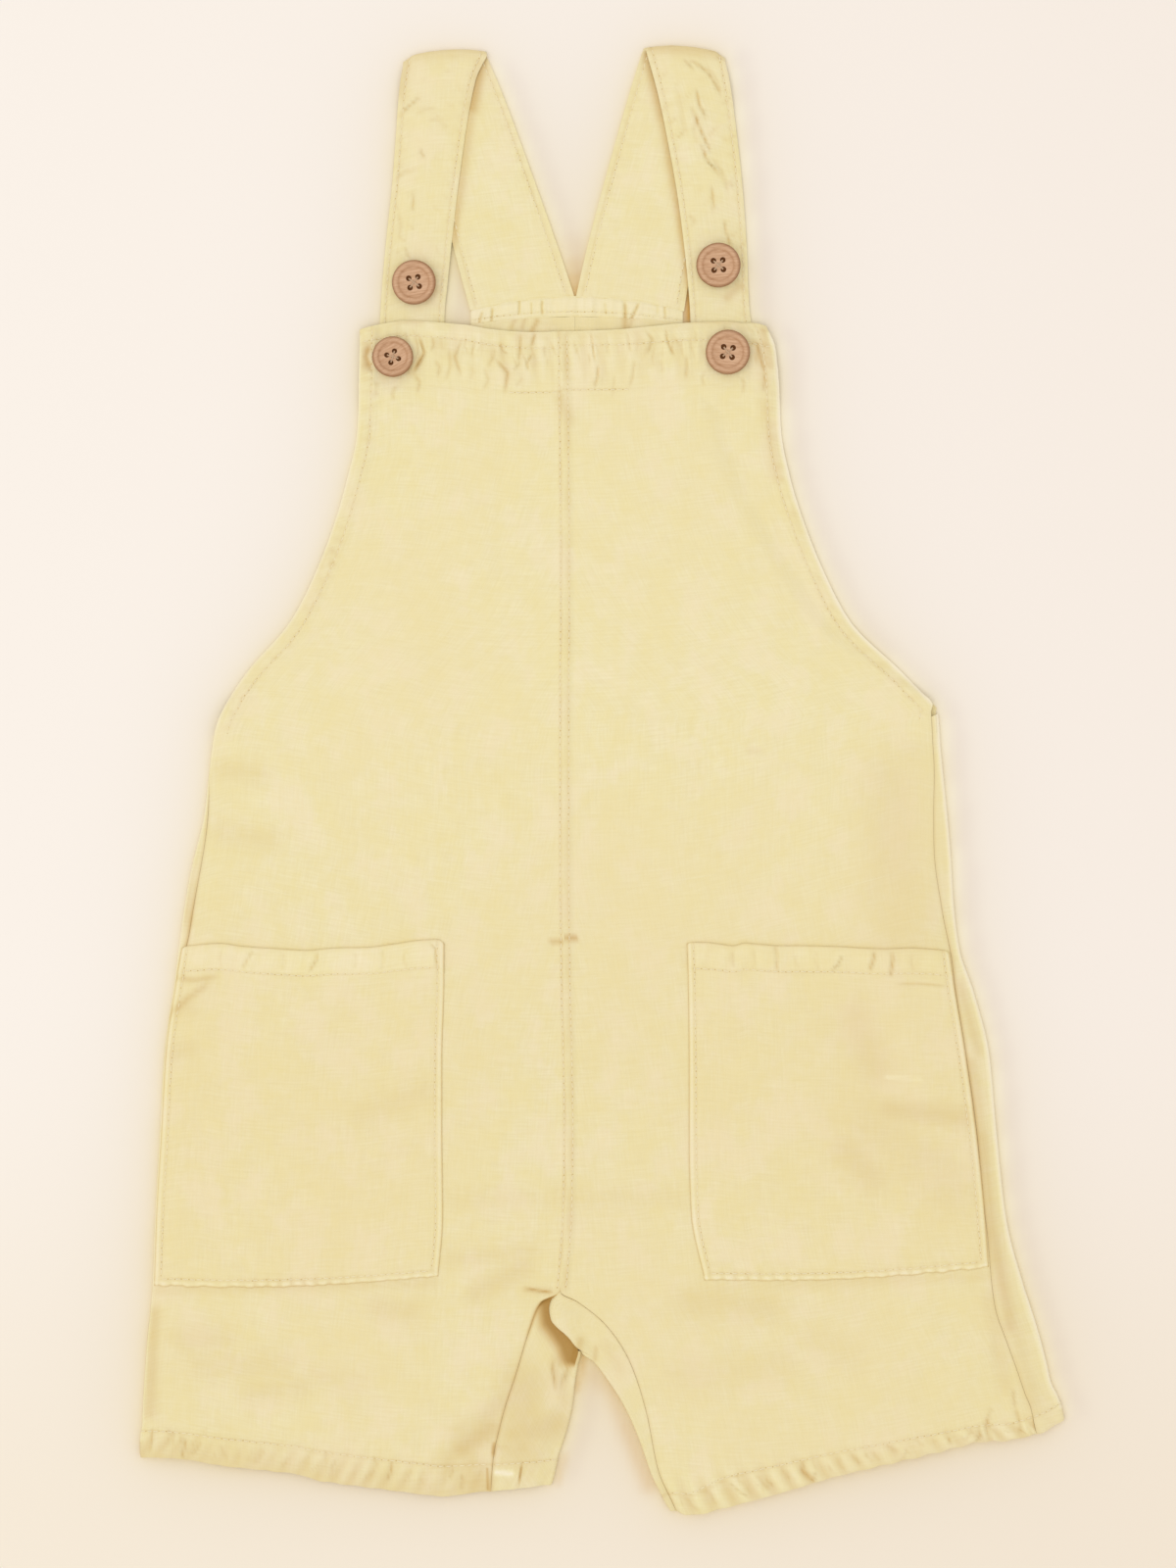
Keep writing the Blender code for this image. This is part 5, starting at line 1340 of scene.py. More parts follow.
def front_panel(half, material):
    """Bib, body and leg of one half, from the armhole to the centre seam."""
    at = half.at
    zones = [(at["bib"], 26, 0.7), (at["crotch"], 6, 0.9), (at["hem"], 14, 0.75)]
    v = graded(at["bib"], at["hem"], 2.0, zones)
    inward = half.inward(v)
    gap = SEAM_GAP / 2
    below_corner = smoothstep((v - at["corner"]) / 3.0)
    below_crotch = (v > at["crotch"]).astype(float)
    middle = half.mid(v) + half.outward(half.mid, v) * (gap * below_crotch)[:, None]
    on_side = half.side == "left"
    first = half.edge(v) + inward * (np.maximum(half.wrap(v), 0.0) + gap * below_corner)[:, None]
    edge_travel = np.concatenate([np.arange(0.0, 6.6, EDGE_STEP * DETAIL), [EDGE_BAND]])
    columns = []
    for travel in edge_travel:
        flat = (half.edge(v) if on_side else first) + inward * travel
        point = on_top(flat)
        if on_side:
            rolled = side_path(half, v, seam_travel(half, v) + gap + travel)
            amount = rolled_amount(half, v)
            point = point * (1.0 - amount) + rolled * amount
        columns.append(point)
    start = columns[-1][:, :2]
    width = np.linalg.norm(middle - start, axis=1)
    near_middle = np.concatenate([[6.0, 5.0], np.arange(4.2, 0.1, -0.5 * DETAIL), [0.0]])
    body = round(FRONT_COLUMNS / DETAIL)
    fractions = [
        (k / body) * (1.0 - near_middle[0] / width) for k in range(1, body + 1)
    ] + [1.0 - t / width for t in near_middle[1:]]
    fractions = np.array(fractions).T
    plans = start[:, None] + (middle - start)[:, None] * fractions[..., None]
    turned = len(columns)
    grid = np.zeros((len(v), turned + plans.shape[1], 3))
    grid[:, :turned] = np.stack(columns, axis=1)
    grid[:, turned:, :2] = plans
    grid[..., 1] += row_rise(half, v[:, None], grid[..., 0], "front")
    keep = turned if on_side else 0
    grid[:, keep:, 2] = top_height(grid[:, keep:, 0], grid[:, keep:, 1])
    rows, wide = grid.shape[:2]
    travelled, wide_here = np.tile(edge_travel, (rows, 1)), width[:, None]
    to_edge = np.column_stack([travelled, EDGE_BAND + wide_here * fractions])
    to_middle = np.column_stack([wide_here + EDGE_BAND - travelled, wide_here * (1.0 - fractions)])
    to_top = np.tile((v - at["bib"])[:, None], (1, wide))
    to_foot = np.tile((at["hem"] - v)[:, None], (1, wide))
    open_edge = 1.0 - smoothstep((v[:, None] - at["corner"] + 6.0) / 12.0)
    relief, painted_shade = front_relief(
        half, to_edge, to_middle, to_top, to_foot, grid[..., 0], grid[..., 1], open_edge
    )
    made, outer, normals = cloth(
        f"cloth_front_{half.side}", grid, relief, np.zeros_like(relief), not on_side, material, painted_shade
    )
    crotch_row = int(np.searchsorted(v, at["crotch"]))
    corner_row = int(np.searchsorted(v, at["corner"] + 2.0))
    first_row = int(np.searchsorted(v, at["bib"] + 1.2))
    facing_row = int(np.searchsorted(v, at["bib"] + FACING_STITCH))
    last = wide - 1
    from_edge = range(int(np.interp(1.4, to_edge[5], np.arange(wide))), last)
    row_of = hem_stitch_rows(half, v, grid)
    faced = np.flatnonzero(facing_shows(grid[facing_row, :last, 0]) > 0.1)
    lines = [
        column_path(to_edge, ARMHOLE_STITCH, range(first_row, corner_row)),
        row_path(to_top[:, 0], BIB_STITCH, from_edge),
        row_path(to_top[:, 0], FACING_STITCH, faced),
        column_path(to_middle, SEAM_STITCH[half.side], range(first_row, crotch_row - 1)),
        [(row_of[c], c) for c in range(last)],
    ]
    thread = stitches(f"stitches_front_{half.side}", outer, normals, lines)
    return made, thread


def roll_over(plan, z, t, share):
    """Moves the inside of the right leg into the roll that it makes over the left at the crotch."""
    fade = 1.0 - smoothstep(t / ROLL_FADE)
    plan[..., 0] += rise_at(ROLL_EDGE, share) * fade
    crest = ROLL_CREST * bump(t - 3.4, 3.2) * smoothstep(share / 0.15)
    crest = crest * (1.0 - 0.75 * smoothstep((share - 0.75) / 0.25))
    z = z + crest
    turned = np.sqrt(1.0 - (1.0 - np.clip(t / 2.6, 0.0, 1.0)) ** 2)
    amount = smoothstep(share / 0.15) * (1.0 - smoothstep((share - 0.88) / 0.12))
    return plan, z * (1.0 - amount) + (ROLL_LOW + (z - ROLL_LOW) * turned) * amount


def valley(x, y, z):
    """Lowers the inside of the left leg under and beside that roll."""
    axis = np.array(VALLEY)
    beside = bump(distance_to_line(axis, x, y), VALLEY_WIDTH)
    under = x > np.interp(y, axis[::-1, 1], axis[::-1, 0])
    ends = smoothstep((-174.6 - y) / 2.5) * smoothstep((y + 200.5) / 3.0)
    amount = np.where(under, 1.0, beside) * ends
    return z + (VALLEY_LOW - z) * amount, amount


def back_panel(half, material):
    """Back of one half: the turned side, the underside and the inside of the leg."""
    at = half.at
    crotch_at = at["crotch"]
    zones = [(at["neck"], 8, 1.2), (crotch_at, 6, 0.45), (at["hem"], 14, 0.9)]
    v = graded(at["neck"], at["hem"], 2.4, zones)
    v = np.unique(np.concatenate([v[np.abs(v - crotch_at) > 0.2], [crotch_at]]))
    gap = SEAM_GAP / 2
    inward, outward = half.inward(v), half.outward(half.under, v)
    sided = (v >= at["corner"] - 1e-6)[:, None]
    legged = (v >= crotch_at - 1e-6)[:, None]
    legs = legged.astype(float)
    off_seam = np.full(len(v), OFF_SEAM)
    columns, to_seam = [], []
    if half.side == "left":
        turned = seam_travel(half, v) - gap
        for share in np.concatenate([[1.0, 0.94, 0.88, 0.82, 0.75], np.linspace(0.66, 0.0, 9)[:-1]]):
            rolled = side_path(half, v, turned * share)
            flat = on_floor(half.edge(v) + inward * (FOLD_RADIUS * (1.0 - share)))
            amount = rolled_amount(half, v)
            columns.append(np.where(sided, flat * (1 - amount) + rolled * amount, np.nan))
            to_seam.append(turned * (1.0 - share))
    else:
        seam = half.edge(v) + inward * (half.wrap(v) - gap)[:, None]
        tangent = half.edge(v) + inward * FOLD_RADIUS
        for share in (0.0, 0.05, 0.1, 0.16, 0.23, 0.32, 0.43, 0.56, 0.7, 0.85):
            columns.append(np.where(sided, on_top(seam * (1 - share) + tangent * share), np.nan))
            to_seam.append(np.linalg.norm(seam - tangent, axis=1) * share)
        for angle in np.linspace(90.0, -90.0, ARC_STEPS + 1)[:-1]:
            columns.append(np.where(sided, arc_point(half.edge(v), inward, angle), np.nan))
            to_seam.append(off_seam)
    armhole = half.edge(v)
    armhole[:, 0] += half.sign * np.minimum(half.wrap(v), 0.0)
    start = np.where(sided, half.edge(v) + inward * FOLD_RADIUS, armhole)
    centre = half.under(v)
    end = np.where(legged, half.under(v) + outward * FOLD_RADIUS, centre)
    bottom_first = len(columns)
    for share in smoother_ends(round(BACK_COLUMNS / DETAIL)):
        columns.append(on_floor(start * (1.0 - share) + end * share))
        to_seam.append(off_seam)
    bottom_last = len(columns) - 1
    inseam = half.mid(v) - half.outward(half.mid, v) * gap
    crotch_row = int(np.argmax(legged[:, 0]))
    fold = half.under(v)
    for angle in np.linspace(-90.0, 90.0, ARC_STEPS + 1)[1:]:
        columns.append(np.where(legged, arc_point(fold, outward, angle), np.nan))
        to_seam.append(off_seam)
    flap_first = len(columns)
    t = v - crotch_at
    for share in smoother_ends(round(FLAP_COLUMNS / DETAIL))[1:]:
        plan = fold * (1.0 - share) + inseam * share + outward * (FOLD_RADIUS * (1.0 - share) ** 2)
        z = top_height(plan[:, 0], plan[:, 1])
        if half.side == "right":
            plan, z = roll_over(plan, z, np.maximum(t, 0.0), np.full(len(v), share))
        else:
            z, _ = valley(plan[:, 0], plan[:, 1], z)
        columns.append(np.where(legged, np.column_stack([plan, z]), np.nan))
        to_seam.append(np.linalg.norm(plan - inseam, axis=1) + 3.0 * (1.0 - legs[:, 0]))
    grid = np.stack(columns, axis=1)
    to_seam = np.stack(to_seam, axis=1)
    grid[..., 1] += row_rise(half, v[:, None], grid[..., 0], "back")
    x, y = np.nan_to_num(grid[..., 0]), np.nan_to_num(grid[..., 1])
    on_ground = np.zeros(grid.shape[:2], bool)
    on_ground[:, bottom_first:bottom_last + 1] = True
    to_foot = np.tile((at["hem"] - v)[:, None], (1, grid.shape[1]))
    stitch_at = hem_stitch(half, x)
    hem_roping = roping(x + 0.55 * half.sign * to_foot, 6.0, 4.1)
    foot = hem_step(to_foot, stitch_at + 0.5, 0.5) + groove(to_foot, stitch_at, 0.25)
    foot = foot + 0.2 * bump(to_foot - 4.0, 5.0) * hem_roping
    depth, lift = crease_field(CREASES, x, y)
    inside = np.arange(grid.shape[1]) >= flap_first
    seam_depth = np.where(inside, inseam_depth(half, y), side_seam_depth(half, y))
    seam_dip = seam_depth * bump(to_seam, 0.7)
    relief = foot + rounded(to_foot, 0.45, 1.3) - depth + lift - 0.25 * seam_dip
    relief = np.where(on_ground, 0.0, relief)
    relief = relief * smoothstep(np.nan_to_num(grid[..., 2]) / (2 * FOLD_RADIUS))
    # Painted shade in the hem's puckers and along its stitches, in the creases and seams, with painted
    # highlight at the outline
    hem_shade_paint = 0.2 * bump(to_foot - 4.0, 5.0) * np.maximum(-hem_roping, 0.0)
    hem_shade_paint = 0.25 * bump(to_foot - stitch_at, 0.45) + hem_shade_paint
    painted_shade = CREASE_SHADE_PAINT * depth + 0.9 * seam_dip + hem_shade_paint + painted_cloth_shade(x, y) - painted_rim_highlight(x, y)
    # The underside a little deeper in colour, with painted shade on its patches; painted shade deep in
    # the valley under the roll at the crotch
    painted_shade = np.where(on_ground, 0.12 + painted_patch_shade(INSIDE_SHADE_PATCHES, x, y), painted_shade)
    if half.side == "left":
        in_valley = np.nan_to_num(valley(x, y, np.zeros_like(x))[1])
        painted_shade[:, flap_first:] += VALLEY_SHADE_PAINT * in_valley[:, flap_first:]
    grid[..., 2] = np.where(on_ground, under_relief(x, y), grid[..., 2])
    gathers = gather_wave(x) * BACK_GATHER_RISE
    gathers = gathers * (1.0 - smoothstep((v[:, None] - at["neck"]) / BACK_GATHER_LENGTH))
    gathers = gathers * on_ground
    made, outer, normals = cloth(
        f"cloth_back_{half.side}", grid, relief, gathers, half.side == "left", material, painted_shade
    )
    row_of = hem_stitch_rows(half, v, grid)
    parts = [(0, bottom_first + 1), (bottom_last, grid.shape[1]), (bottom_first + 1, bottom_last)]
    lines = [[(row_of[c], c) for c in range(*part)] for part in parts]
    lines.append([(r, bottom_last - 2.0) for r in range(4, crotch_row)])
    flush = outer - normals * np.where(on_ground, STITCH_SUNK, 0.0)[..., None]
    thread = stitches(f"stitches_back_{half.side}", flush, normals, lines)
    return made, thread


def smoother_ends(count):
    """Shares from 0 to 1 that lie closer together towards both ends."""
    t = np.linspace(0.0, 1.0, count + 1)
    return t * 0.35 + smoothstep(t) * 0.65


def under_relief(x, y):
    """Shallow creases of the underside, which otherwise rests flat on the floor."""
    wave = np.nan_to_num(unevenness(x * 0.9 + 31.0, y * 0.9 - 17.0))
    seams = 0.25 * bump(np.nan_to_num(x) + 8.6, 1.2)
    return np.maximum(wave, 0.0) * 0.8 + seams


def gather_wave(x):
    """Ridges of the gathers between 0 and 1, flat at both ends of the casing."""
    place = (x - CASING_LEFT) / (CASING_RIGHT - CASING_LEFT)
    ends = smoothstep(place * 8) * smoothstep((1 - place) * 8)
    uneven = place + 0.02 * np.sin(place * 11.0)
    return ends * (0.5 - 0.5 * np.cos(2 * math.pi * GATHERS * uneven))


def casing_line(x, middle, drop):
    return middle - drop * ((x - CASING_MIDDLE) / CASING_HALF) ** 2


def back_casing(material):
    """Gathered band at the top of the back."""
    x = np.linspace(CASING_LEFT + SEAM_GAP, CASING_RIGHT - SEAM_GAP, round(CASING_COLUMNS / DETAIL))
    top = casing_line(x, CASING_TOP, CASING_TOP_DROP) + CASING_LAP
    foot = casing_line(x, CASING_FOOT, CASING_FOOT_DROP) - CASING_LAP
    shares = np.linspace(0.0, 1.0, round(CASING_ROWS / DETAIL) + 1)
    grid = np.stack([np.column_stack([x, top + (foot - top) * s, np.zeros(len(x))]) for s in shares])
    depth = shares[:, None] * CASING_TALL
    to_foot = CASING_TALL - depth
    puff = 0.55 + 0.45 * np.sin(math.pi * shares)[:, None]
    creased, lift = crease_field(CASING_CREASES, grid[..., 0], grid[..., 1])
    thick = gather_wave(x)[None] * GATHER_RISE * puff + 0.08 * roping(x, 3.1, 1.3)[None] * puff
    thick = thick + groove(to_foot, CASING_STITCH, 0.2, 0.6) - 0.35 * bump(depth - 0.3, 0.5)
    thick = thick - creased + lift
    thick = thick + CASING_RISE * smoothstep(to_foot / 1.5)
    # Painted shade in the creases, along the stitches, at the top edge, in the gathers' hollows, towards
    # the right and at the foot, on a paler base
    painted_shade = 1.25 * creased + 0.22 * bump(to_foot - CASING_STITCH, 0.4) + 0.25 * bump(depth - 0.2, 0.4)
    painted_shade = painted_shade + 0.08 * np.maximum(-roping(x + 0.3 * depth, 3.1, 1.3), 0.0) * puff - 0.25
    painted_shade = painted_shade + 0.10 * smoothstep((x - 14.0) / 14.0) + 0.35 * bump(to_foot, 0.6)
    made, _, normals = cloth(
        "cloth_back_casing", grid, np.zeros_like(thick), thick, True, material, painted_shade
    )
    upper = grid - normals * (WALL + thick)[..., None]
    row = (len(shares) - 1) * (1.0 - CASING_STITCH / CASING_TALL)
    lines = [[(row, c) for c in range(1, len(x) - 1)]]
    thread = stitches("stitches_back_casing", upper, -normals, lines)
    return made, thread


def pocket_plan(side, across, down):
    """Plan point of a pocket from shares of its width and height."""
    rows = np.array(POCKETS[side])
    level = np.concatenate([[0.0], np.cumsum(-np.diff(rows[:, 1] + rows[:, 3]))])
    row = smooth_through(level / level[-1], rows, down)
    plan = row[:, :2] * (1.0 - across)[:, None] + row[:, 2:] * across[:, None]
    plan[:, 1] += rise_at(POCKET_TOPS[side], plan[:, 0]) * (1.0 - smoothstep(down / 0.35))
    plan[:, 1] -= POCKET_HANG * np.sin(math.pi * across) * np.maximum(2.0 * down - 1.0, 0.0)
    corner = bump(across, 0.012) + bump(across - 1.0, 0.012)
    plan[:, 1] -= 0.6 * corner * (1.0 - smoothstep(down / 0.03))
    frayed = roping(plan[:, 0], 9.7, 1.2) + 0.5 * roping(plan[:, 0], 3.7, 4.0)
    frayed = frayed + 0.3 * roping(plan[:, 0], 1.9, 2.0)
    plan[:, 1] += 0.24 * frayed * smoothstep((down - 0.965) / 0.035)
    return plan


def pocket(side, material):
    """Patch pocket that follows the front it is sewn to."""
    half = HALVES[side]
    wide, tall = POCKET_WIDTH, POCKET_HEIGHT
    across = graded(0.0, wide, 0.85, [(0.0, 4.0, 0.5), (wide, 4.0, 0.5)]) / wide
    down = graded(0.0, tall, 1.3, [(0.0, 11.0, 0.6), (tall, 4.0, 0.5)]) / tall
    grid = np.zeros((len(down), len(across), 3))
    for r, share in enumerate(down):
        grid[r, :, :2] = pocket_plan(side, across, np.full(len(across), share))
    x, y = grid[..., 0], grid[..., 1]
    edge = half.edge(np.linspace(half.at["corner"], half.at["hem"], 60))
    inset = FOLD_RADIUS - np.clip(distance_to_line(edge, x, y), 0.0, FOLD_RADIUS)
    drop = FOLD_RADIUS - np.sqrt(np.maximum(FOLD_RADIUS**2 - inset**2, 0.0))
    grid[..., 2] = top_height(x, y) - (drop if side == "left" else 0.0)
    from_left, from_right = across[None] * wide, (1.0 - across[None]) * wide
    from_top, from_foot = down[:, None] * tall, (1.0 - down[:, None]) * tall
    side_edge = np.minimum(from_left, from_right)
    nearest = np.minimum(np.minimum(side_edge, from_foot), from_top)
    stitched = np.minimum(side_edge, from_foot)
    seed = 1.4 if side == "left" else 3.3
    hem_roping = roping(x + 0.35 * from_top, 7.5, seed)
    hem_zone = bump(from_top - 4.0, 5.0) * smoothstep(side_edge / 5.0)
    foot_roping = roping(x, 4.3, seed + 2.0)
    foot_zone = bump(from_foot - 1.6, 2.4)
    side_roping = roping(y, 5.0, seed + 3.0)
    hem_highlight = 0.16 if side == "left" else 0.10
    depth, lift = crease_field(POCKET_CREASES, x, y)
    relief = POCKET_LIFT + POCKET_WALL + rounded(nearest, 0.4, 1.1)
    relief = relief + groove(stitched, POCKET_STITCH, 0.2, 0.6)
    relief = relief + hem_step(from_top, POCKET_HEM_STITCH + 0.4, 0.4)
    relief = relief + groove(from_top, POCKET_HEM_STITCH, 0.22, 0.6) * smoothstep(side_edge / 2.0)
    relief = relief + 0.14 * hem_zone * hem_roping + 0.16 * foot_zone * foot_roping
    relief = relief + 0.06 * bump(side_edge - 2.0, 3.0) * side_roping - depth + lift
    relief = relief + 0.22 * smoothstep(from_foot / 12) * smoothstep(side_edge / 12) * (
        1 - smoothstep((from_top - 8.0) / 60.0)
    )
    # Painted shade round the edges, along the stitches and in the creases and puckers; painted highlight
    # just inside the side edges and on the hem band, and a paler uneven line along the foot
    painted_shade = CREASE_SHADE_PAINT * depth + 0.15 * bump(stitched - POCKET_STITCH, 0.4) + 0.75 * bump(side_edge, 0.3)
    painted_shade = painted_shade + 0.35 * bump(from_top, 0.3) + 0.55 * bump(from_foot, 0.28) - hem_highlight * hem_zone
    painted_shade = painted_shade - 0.40 * bump(side_edge - 0.85, 0.4)
    painted_shade = painted_shade - (0.34 + 0.34 * np.clip(foot_roping, -1.0, 1.0)) * bump(from_foot - 0.85, 0.45)
    painted_shade = painted_shade + 0.22 * bump(from_top - POCKET_HEM_STITCH, 0.4) * smoothstep(side_edge / 2.0)
    painted_shade = painted_shade + 0.10 * hem_zone * np.maximum(-hem_roping, 0.0)
    painted_shade = painted_shade + 0.14 * foot_zone * np.maximum(-foot_roping, 0.0)
    painted_shade = painted_shade + painted_cloth_shade(x, y) - painted_rim_highlight(x, y)
    made, outer, normals = cloth(
        f"cloth_pocket_{side}", grid, relief, np.full(grid.shape[:2], -POCKET_LIFT - WALL), False,
        material, painted_shade,
    )
    sides = (POCKET_STITCH / wide, 1 - POCKET_STITCH / wide)
    levels = (1 - POCKET_STITCH / tall, POCKET_HEM_STITCH / tall)
    left, right = np.interp(sides, across, np.arange(len(across)))
    foot, hem = np.interp(levels, down, np.arange(len(down)))
    lines = [[(r, c) for r in np.arange(1, foot, 1.0)] for c in (left, right)]
    lines += [[(r, c) for c in np.arange(left, right, 1.0)] for r in (foot, hem)]
    thread = stitches(f"stitches_pocket_{side}", outer, normals, lines)
    return made, thread


def strap_rows(rows, spacing):
    """Rows of a strap table, read through at an even spacing."""
    table = np.array(rows, float)
    middle = (table[:, :RIGHT_X] + table[:, RIGHT_X:HEIGHT]) / 2
    knots = lengths_along(middle)
    count = round(knots[-1] / spacing)
    return smooth_through(knots, table, np.linspace(0.0, knots[-1], count + 1))


def strap(side, material):
    """Strap in one length: under, round the turn at the shoulder and over."""
    under = strap_rows(STRAPS[side]["under"], 1.2 * DETAIL)
    over = strap_rows(STRAPS[side]["over"], 1.0 * DETAIL)
    turn = []
    a, b = under[-1], over[0]
    for step in range(1, STRAP_TURN_STEPS):
        share = step / STRAP_TURN_STEPS
        phi = math.pi * step / STRAP_TURN_STEPS
        row = a * (1.0 - share) + b * share
        row[[LEFT_Y, RIGHT_Y]] += STRAP_REACH * math.sin(phi)
        row[HEIGHT] = b[HEIGHT] / 2 * (1.0 - math.cos(phi))
        turn.append(row)
    rows = np.vstack([under, turn, over])
    shares = graded(0.0, STRAP_TAPE, 0.9, [(0.0, 3.5, 0.45), (STRAP_TAPE, 3.5, 0.45)]) / STRAP_TAPE
    grid = np.zeros((len(rows), len(shares), 3))
    left, right, height = rows[:, :RIGHT_X], rows[:, RIGHT_X:HEIGHT], rows[:, HEIGHT]
    for c, share in enumerate(shares):
        grid[:, c, :2] = left * (1 - share) + right * share
        grid[:, c, 2] = height
    outer_share = shares if side == "left" else 1.0 - shares
    top_y = (left[:, 1:] + right[:, 1:]) / 2
    arch = STRAP_ARCH * np.sin(math.pi * shares) ** 0.7 * smoothstep((top_y - STRAP_ARCH_FROM) / 12.0)
    corner = STRAP_CORNER * (1.0 - smoothstep(outer_share * STRAP_TAPE / 3.5))
    corner = corner * smoothstep((top_y - 240.0) / 6.0)
    grid[..., 1] += arch - corner
    resting = STRAP_REST + (STRAP_REST_TOP - STRAP_REST) * smoothstep((top_y - 222.0) / 15.0)
    full = np.where(np.arange(len(rows)) > len(under), height, 0.0)
    full = np.maximum(full, over[0, HEIGHT] * (top_y[:, 0] > 247.0))
    share_left = np.minimum(resting / np.maximum(full, 1.0)[:, None], 1.0)
    hanging = smoothstep(outer_share[None] * STRAP_TAPE / STRAP_DRAPE)
    grid[..., 2] *= share_left + (1.0 - share_left) * hanging
    grid[0, :, 1] = casing_line(grid[0, :, 0], CASING_TOP, CASING_TOP_DROP)
    width = np.hypot(*(right - left).T)[:, None]
    nearest = np.minimum(shares[None], 1.0 - shares[None]) * width
    along = np.tile(np.arange(len(rows))[:, None] * STRAP_STEP * DETAIL, (1, len(shares)))
    front_part = (np.arange(len(rows)) > len(under) + len(turn) // 2)[:, None]
    edge_roping = roping(along + 0.5 * nearest, 5.1, 1.9)
    depth, lift = crease_field(STRAP_CREASES, grid[..., 0], grid[..., 1])
    relief = rounded(nearest, 0.35, 0.9) + groove(nearest, STRAP_STITCH, 0.18, 0.6)
    relief = relief + 0.07 * bump(nearest - 2.0, 3.0) * edge_roping - depth + lift
    relief = relief + 0.25 * smoothstep(nearest / 10.0)
    across = shares[None] * STRAP_TAPE
    slant = -0.6 if side == "left" else 0.6
    fine = wrinkles(0.8 * along + slant * across, 0.8 * across - slant * along, 5.2, 2.2, 11.0)
    fine = fine * (1.0 if side == "right" else 0.55)
    relief = relief - 0.30 * fine
    relief = np.where(front_part, relief, 0.0)
    inside = 0.16 * (roping(along * 0.6 + 6 * shares[None], 19.0, 0.8) * 0.5 + 0.5)
    inside = np.where(front_part, 0.0, inside + groove(nearest, STRAP_STITCH, 0.18, 0.6))
    x, y = grid[..., 0], grid[..., 1]
    # Painted shade along the stitches and edge puckers; on the over part in the creases, wrinkles and
    # patches, on the under part the painted shadow that the over part casts
    painted_shade = 0.12 * bump(nearest - 2.0, 2.5) * np.maximum(-edge_roping, 0)
    painted_shade = 0.2 * bump(nearest - STRAP_STITCH, 0.4) + painted_shade
    on_over = CREASE_SHADE_PAINT * depth + painted_patch_shade(STRAP_SHADE_PATCHES, x, y) + 0.45 * np.maximum(fine, 0.0)
    painted_shade = painted_shade + np.where(front_part, on_over, painted_patch_shade(WEDGE_SHADOW_PATCHES, x, y))
    made, outer, normals = cloth(f"cloth_strap_{side}", grid, relief, inside, False, material, painted_shade)
    upper = np.where(front_part[..., None], outer, grid - normals * (WALL + inside)[..., None])
    facing = np.where(front_part[..., None], normals, -normals)
    turn_row = len(under) + len(turn) // 2
    lines = []
    for at in (STRAP_STITCH / STRAP_TAPE, 1.0 - STRAP_STITCH / STRAP_TAPE):
        c = float(np.interp(at, shares, np.arange(len(shares))))
        lines.append([(r, c) for r in range(1, turn_row - 3)])
        lines.append([(r, c) for r in range(turn_row + 4, len(rows) - 1)])
    thread = stitches(f"stitches_strap_{side}", upper, facing, lines)
    return made, thread


# Buttons

def turned_mesh():
    """Button turned from its outline, before its holes."""
    points, faces = [(0.0, 0.0, BUTTON_PROFILE[0][1])], []
    for radius, height in BUTTON_PROFILE:
        points.extend((radius * a, radius * b, height) for a, b in circle(BUTTON_SIDES))
    points.append((0.0, 0.0, BUTTON_PROFILE[-1][1]))
    last = 1 + (len(BUTTON_PROFILE) - 1) * BUTTON_SIDES
    for k in range(BUTTON_SIDES):
        after = (k + 1) % BUTTON_SIDES
        faces.append([0, 1 + after, 1 + k])
        for low in range(1, last, BUTTON_SIDES):
            high = low + BUTTON_SIDES
            faces.append([low + k, low + after, high + after, high + k])
        faces.append([last + k, last + after, len(points) - 1])
    return points, faces


def button_holes():
    half = BUTTON_HOLE_SPACING / 2
    return [(-half, -half), (half, -half), (half, half), (-half, half)]


def hole_ring(x, y, height, sides):
    return [(x + BUTTON_HOLE_RADIUS * a, y + BUTTON_HOLE_RADIUS * b, height) for a, b in circle(sides)]


def peg_mesh():
    """Pegs that cut the four holes."""
    points, faces = [], []
    sides = BUTTON_HOLE_SIDES
    for x, y in button_holes():
        first = len(points)
        points.extend(hole_ring(x, y, PEG_FOOT, sides) + hole_ring(x, y, PEG_TOP, sides))
        faces.extend(ring_faces(first, 2, sides))
        faces.append([first + k for k in reversed(range(sides))])
        faces.append([first + sides + k for k in range(sides)])
    return points, faces


def button(place):
    """Turned wooden button with its holes cut and its thread."""
    node = place.name
    made = plain_object(f"wood_{node}", *turned_mesh(), ("wood",))
    pegs = plain_object("pegs", *peg_mesh(), ("wood",))
    cut = made.modifiers.new("holes", "BOOLEAN")
    cut.operation = "DIFFERENCE"
    cut.solver = "EXACT"
    cut.object = pegs
    depsgraph = bpy.context.evaluated_depsgraph_get()
    holed = bpy.data.meshes.new_from_object(made.evaluated_get(depsgraph))
    made.modifiers.clear()
    made.data = holed
    bpy.data.objects.remove(pegs)
    holed.shade_smooth()
    holed.set_sharp_from_angle(angle=math.radians(WOOD_SHARP))
    tilt, low_side = math.radians(place.tilt), math.radians(place.low_side)
    spin = Matrix.Rotation(math.radians(place.turn), 4, "Z")
    lean = Matrix.Rotation(tilt, 4, Vector((-math.sin(low_side), math.cos(low_side), 0.0)))
    lo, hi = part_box(node)
    height = lo.z / MM + BUTTON_PROFILE[0][0] * math.sin(tilt)
    at = Matrix.Translation(Vector((place.x, place.y, height)) * MM)
    made.matrix_world = at @ lean @ spin @ Matrix.Diagonal((place.size, place.size, 1.0, 1.0))
    thread = button_thread(place, made.matrix_world)
    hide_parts(node)
    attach(made, "root")
    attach(thread, "root")


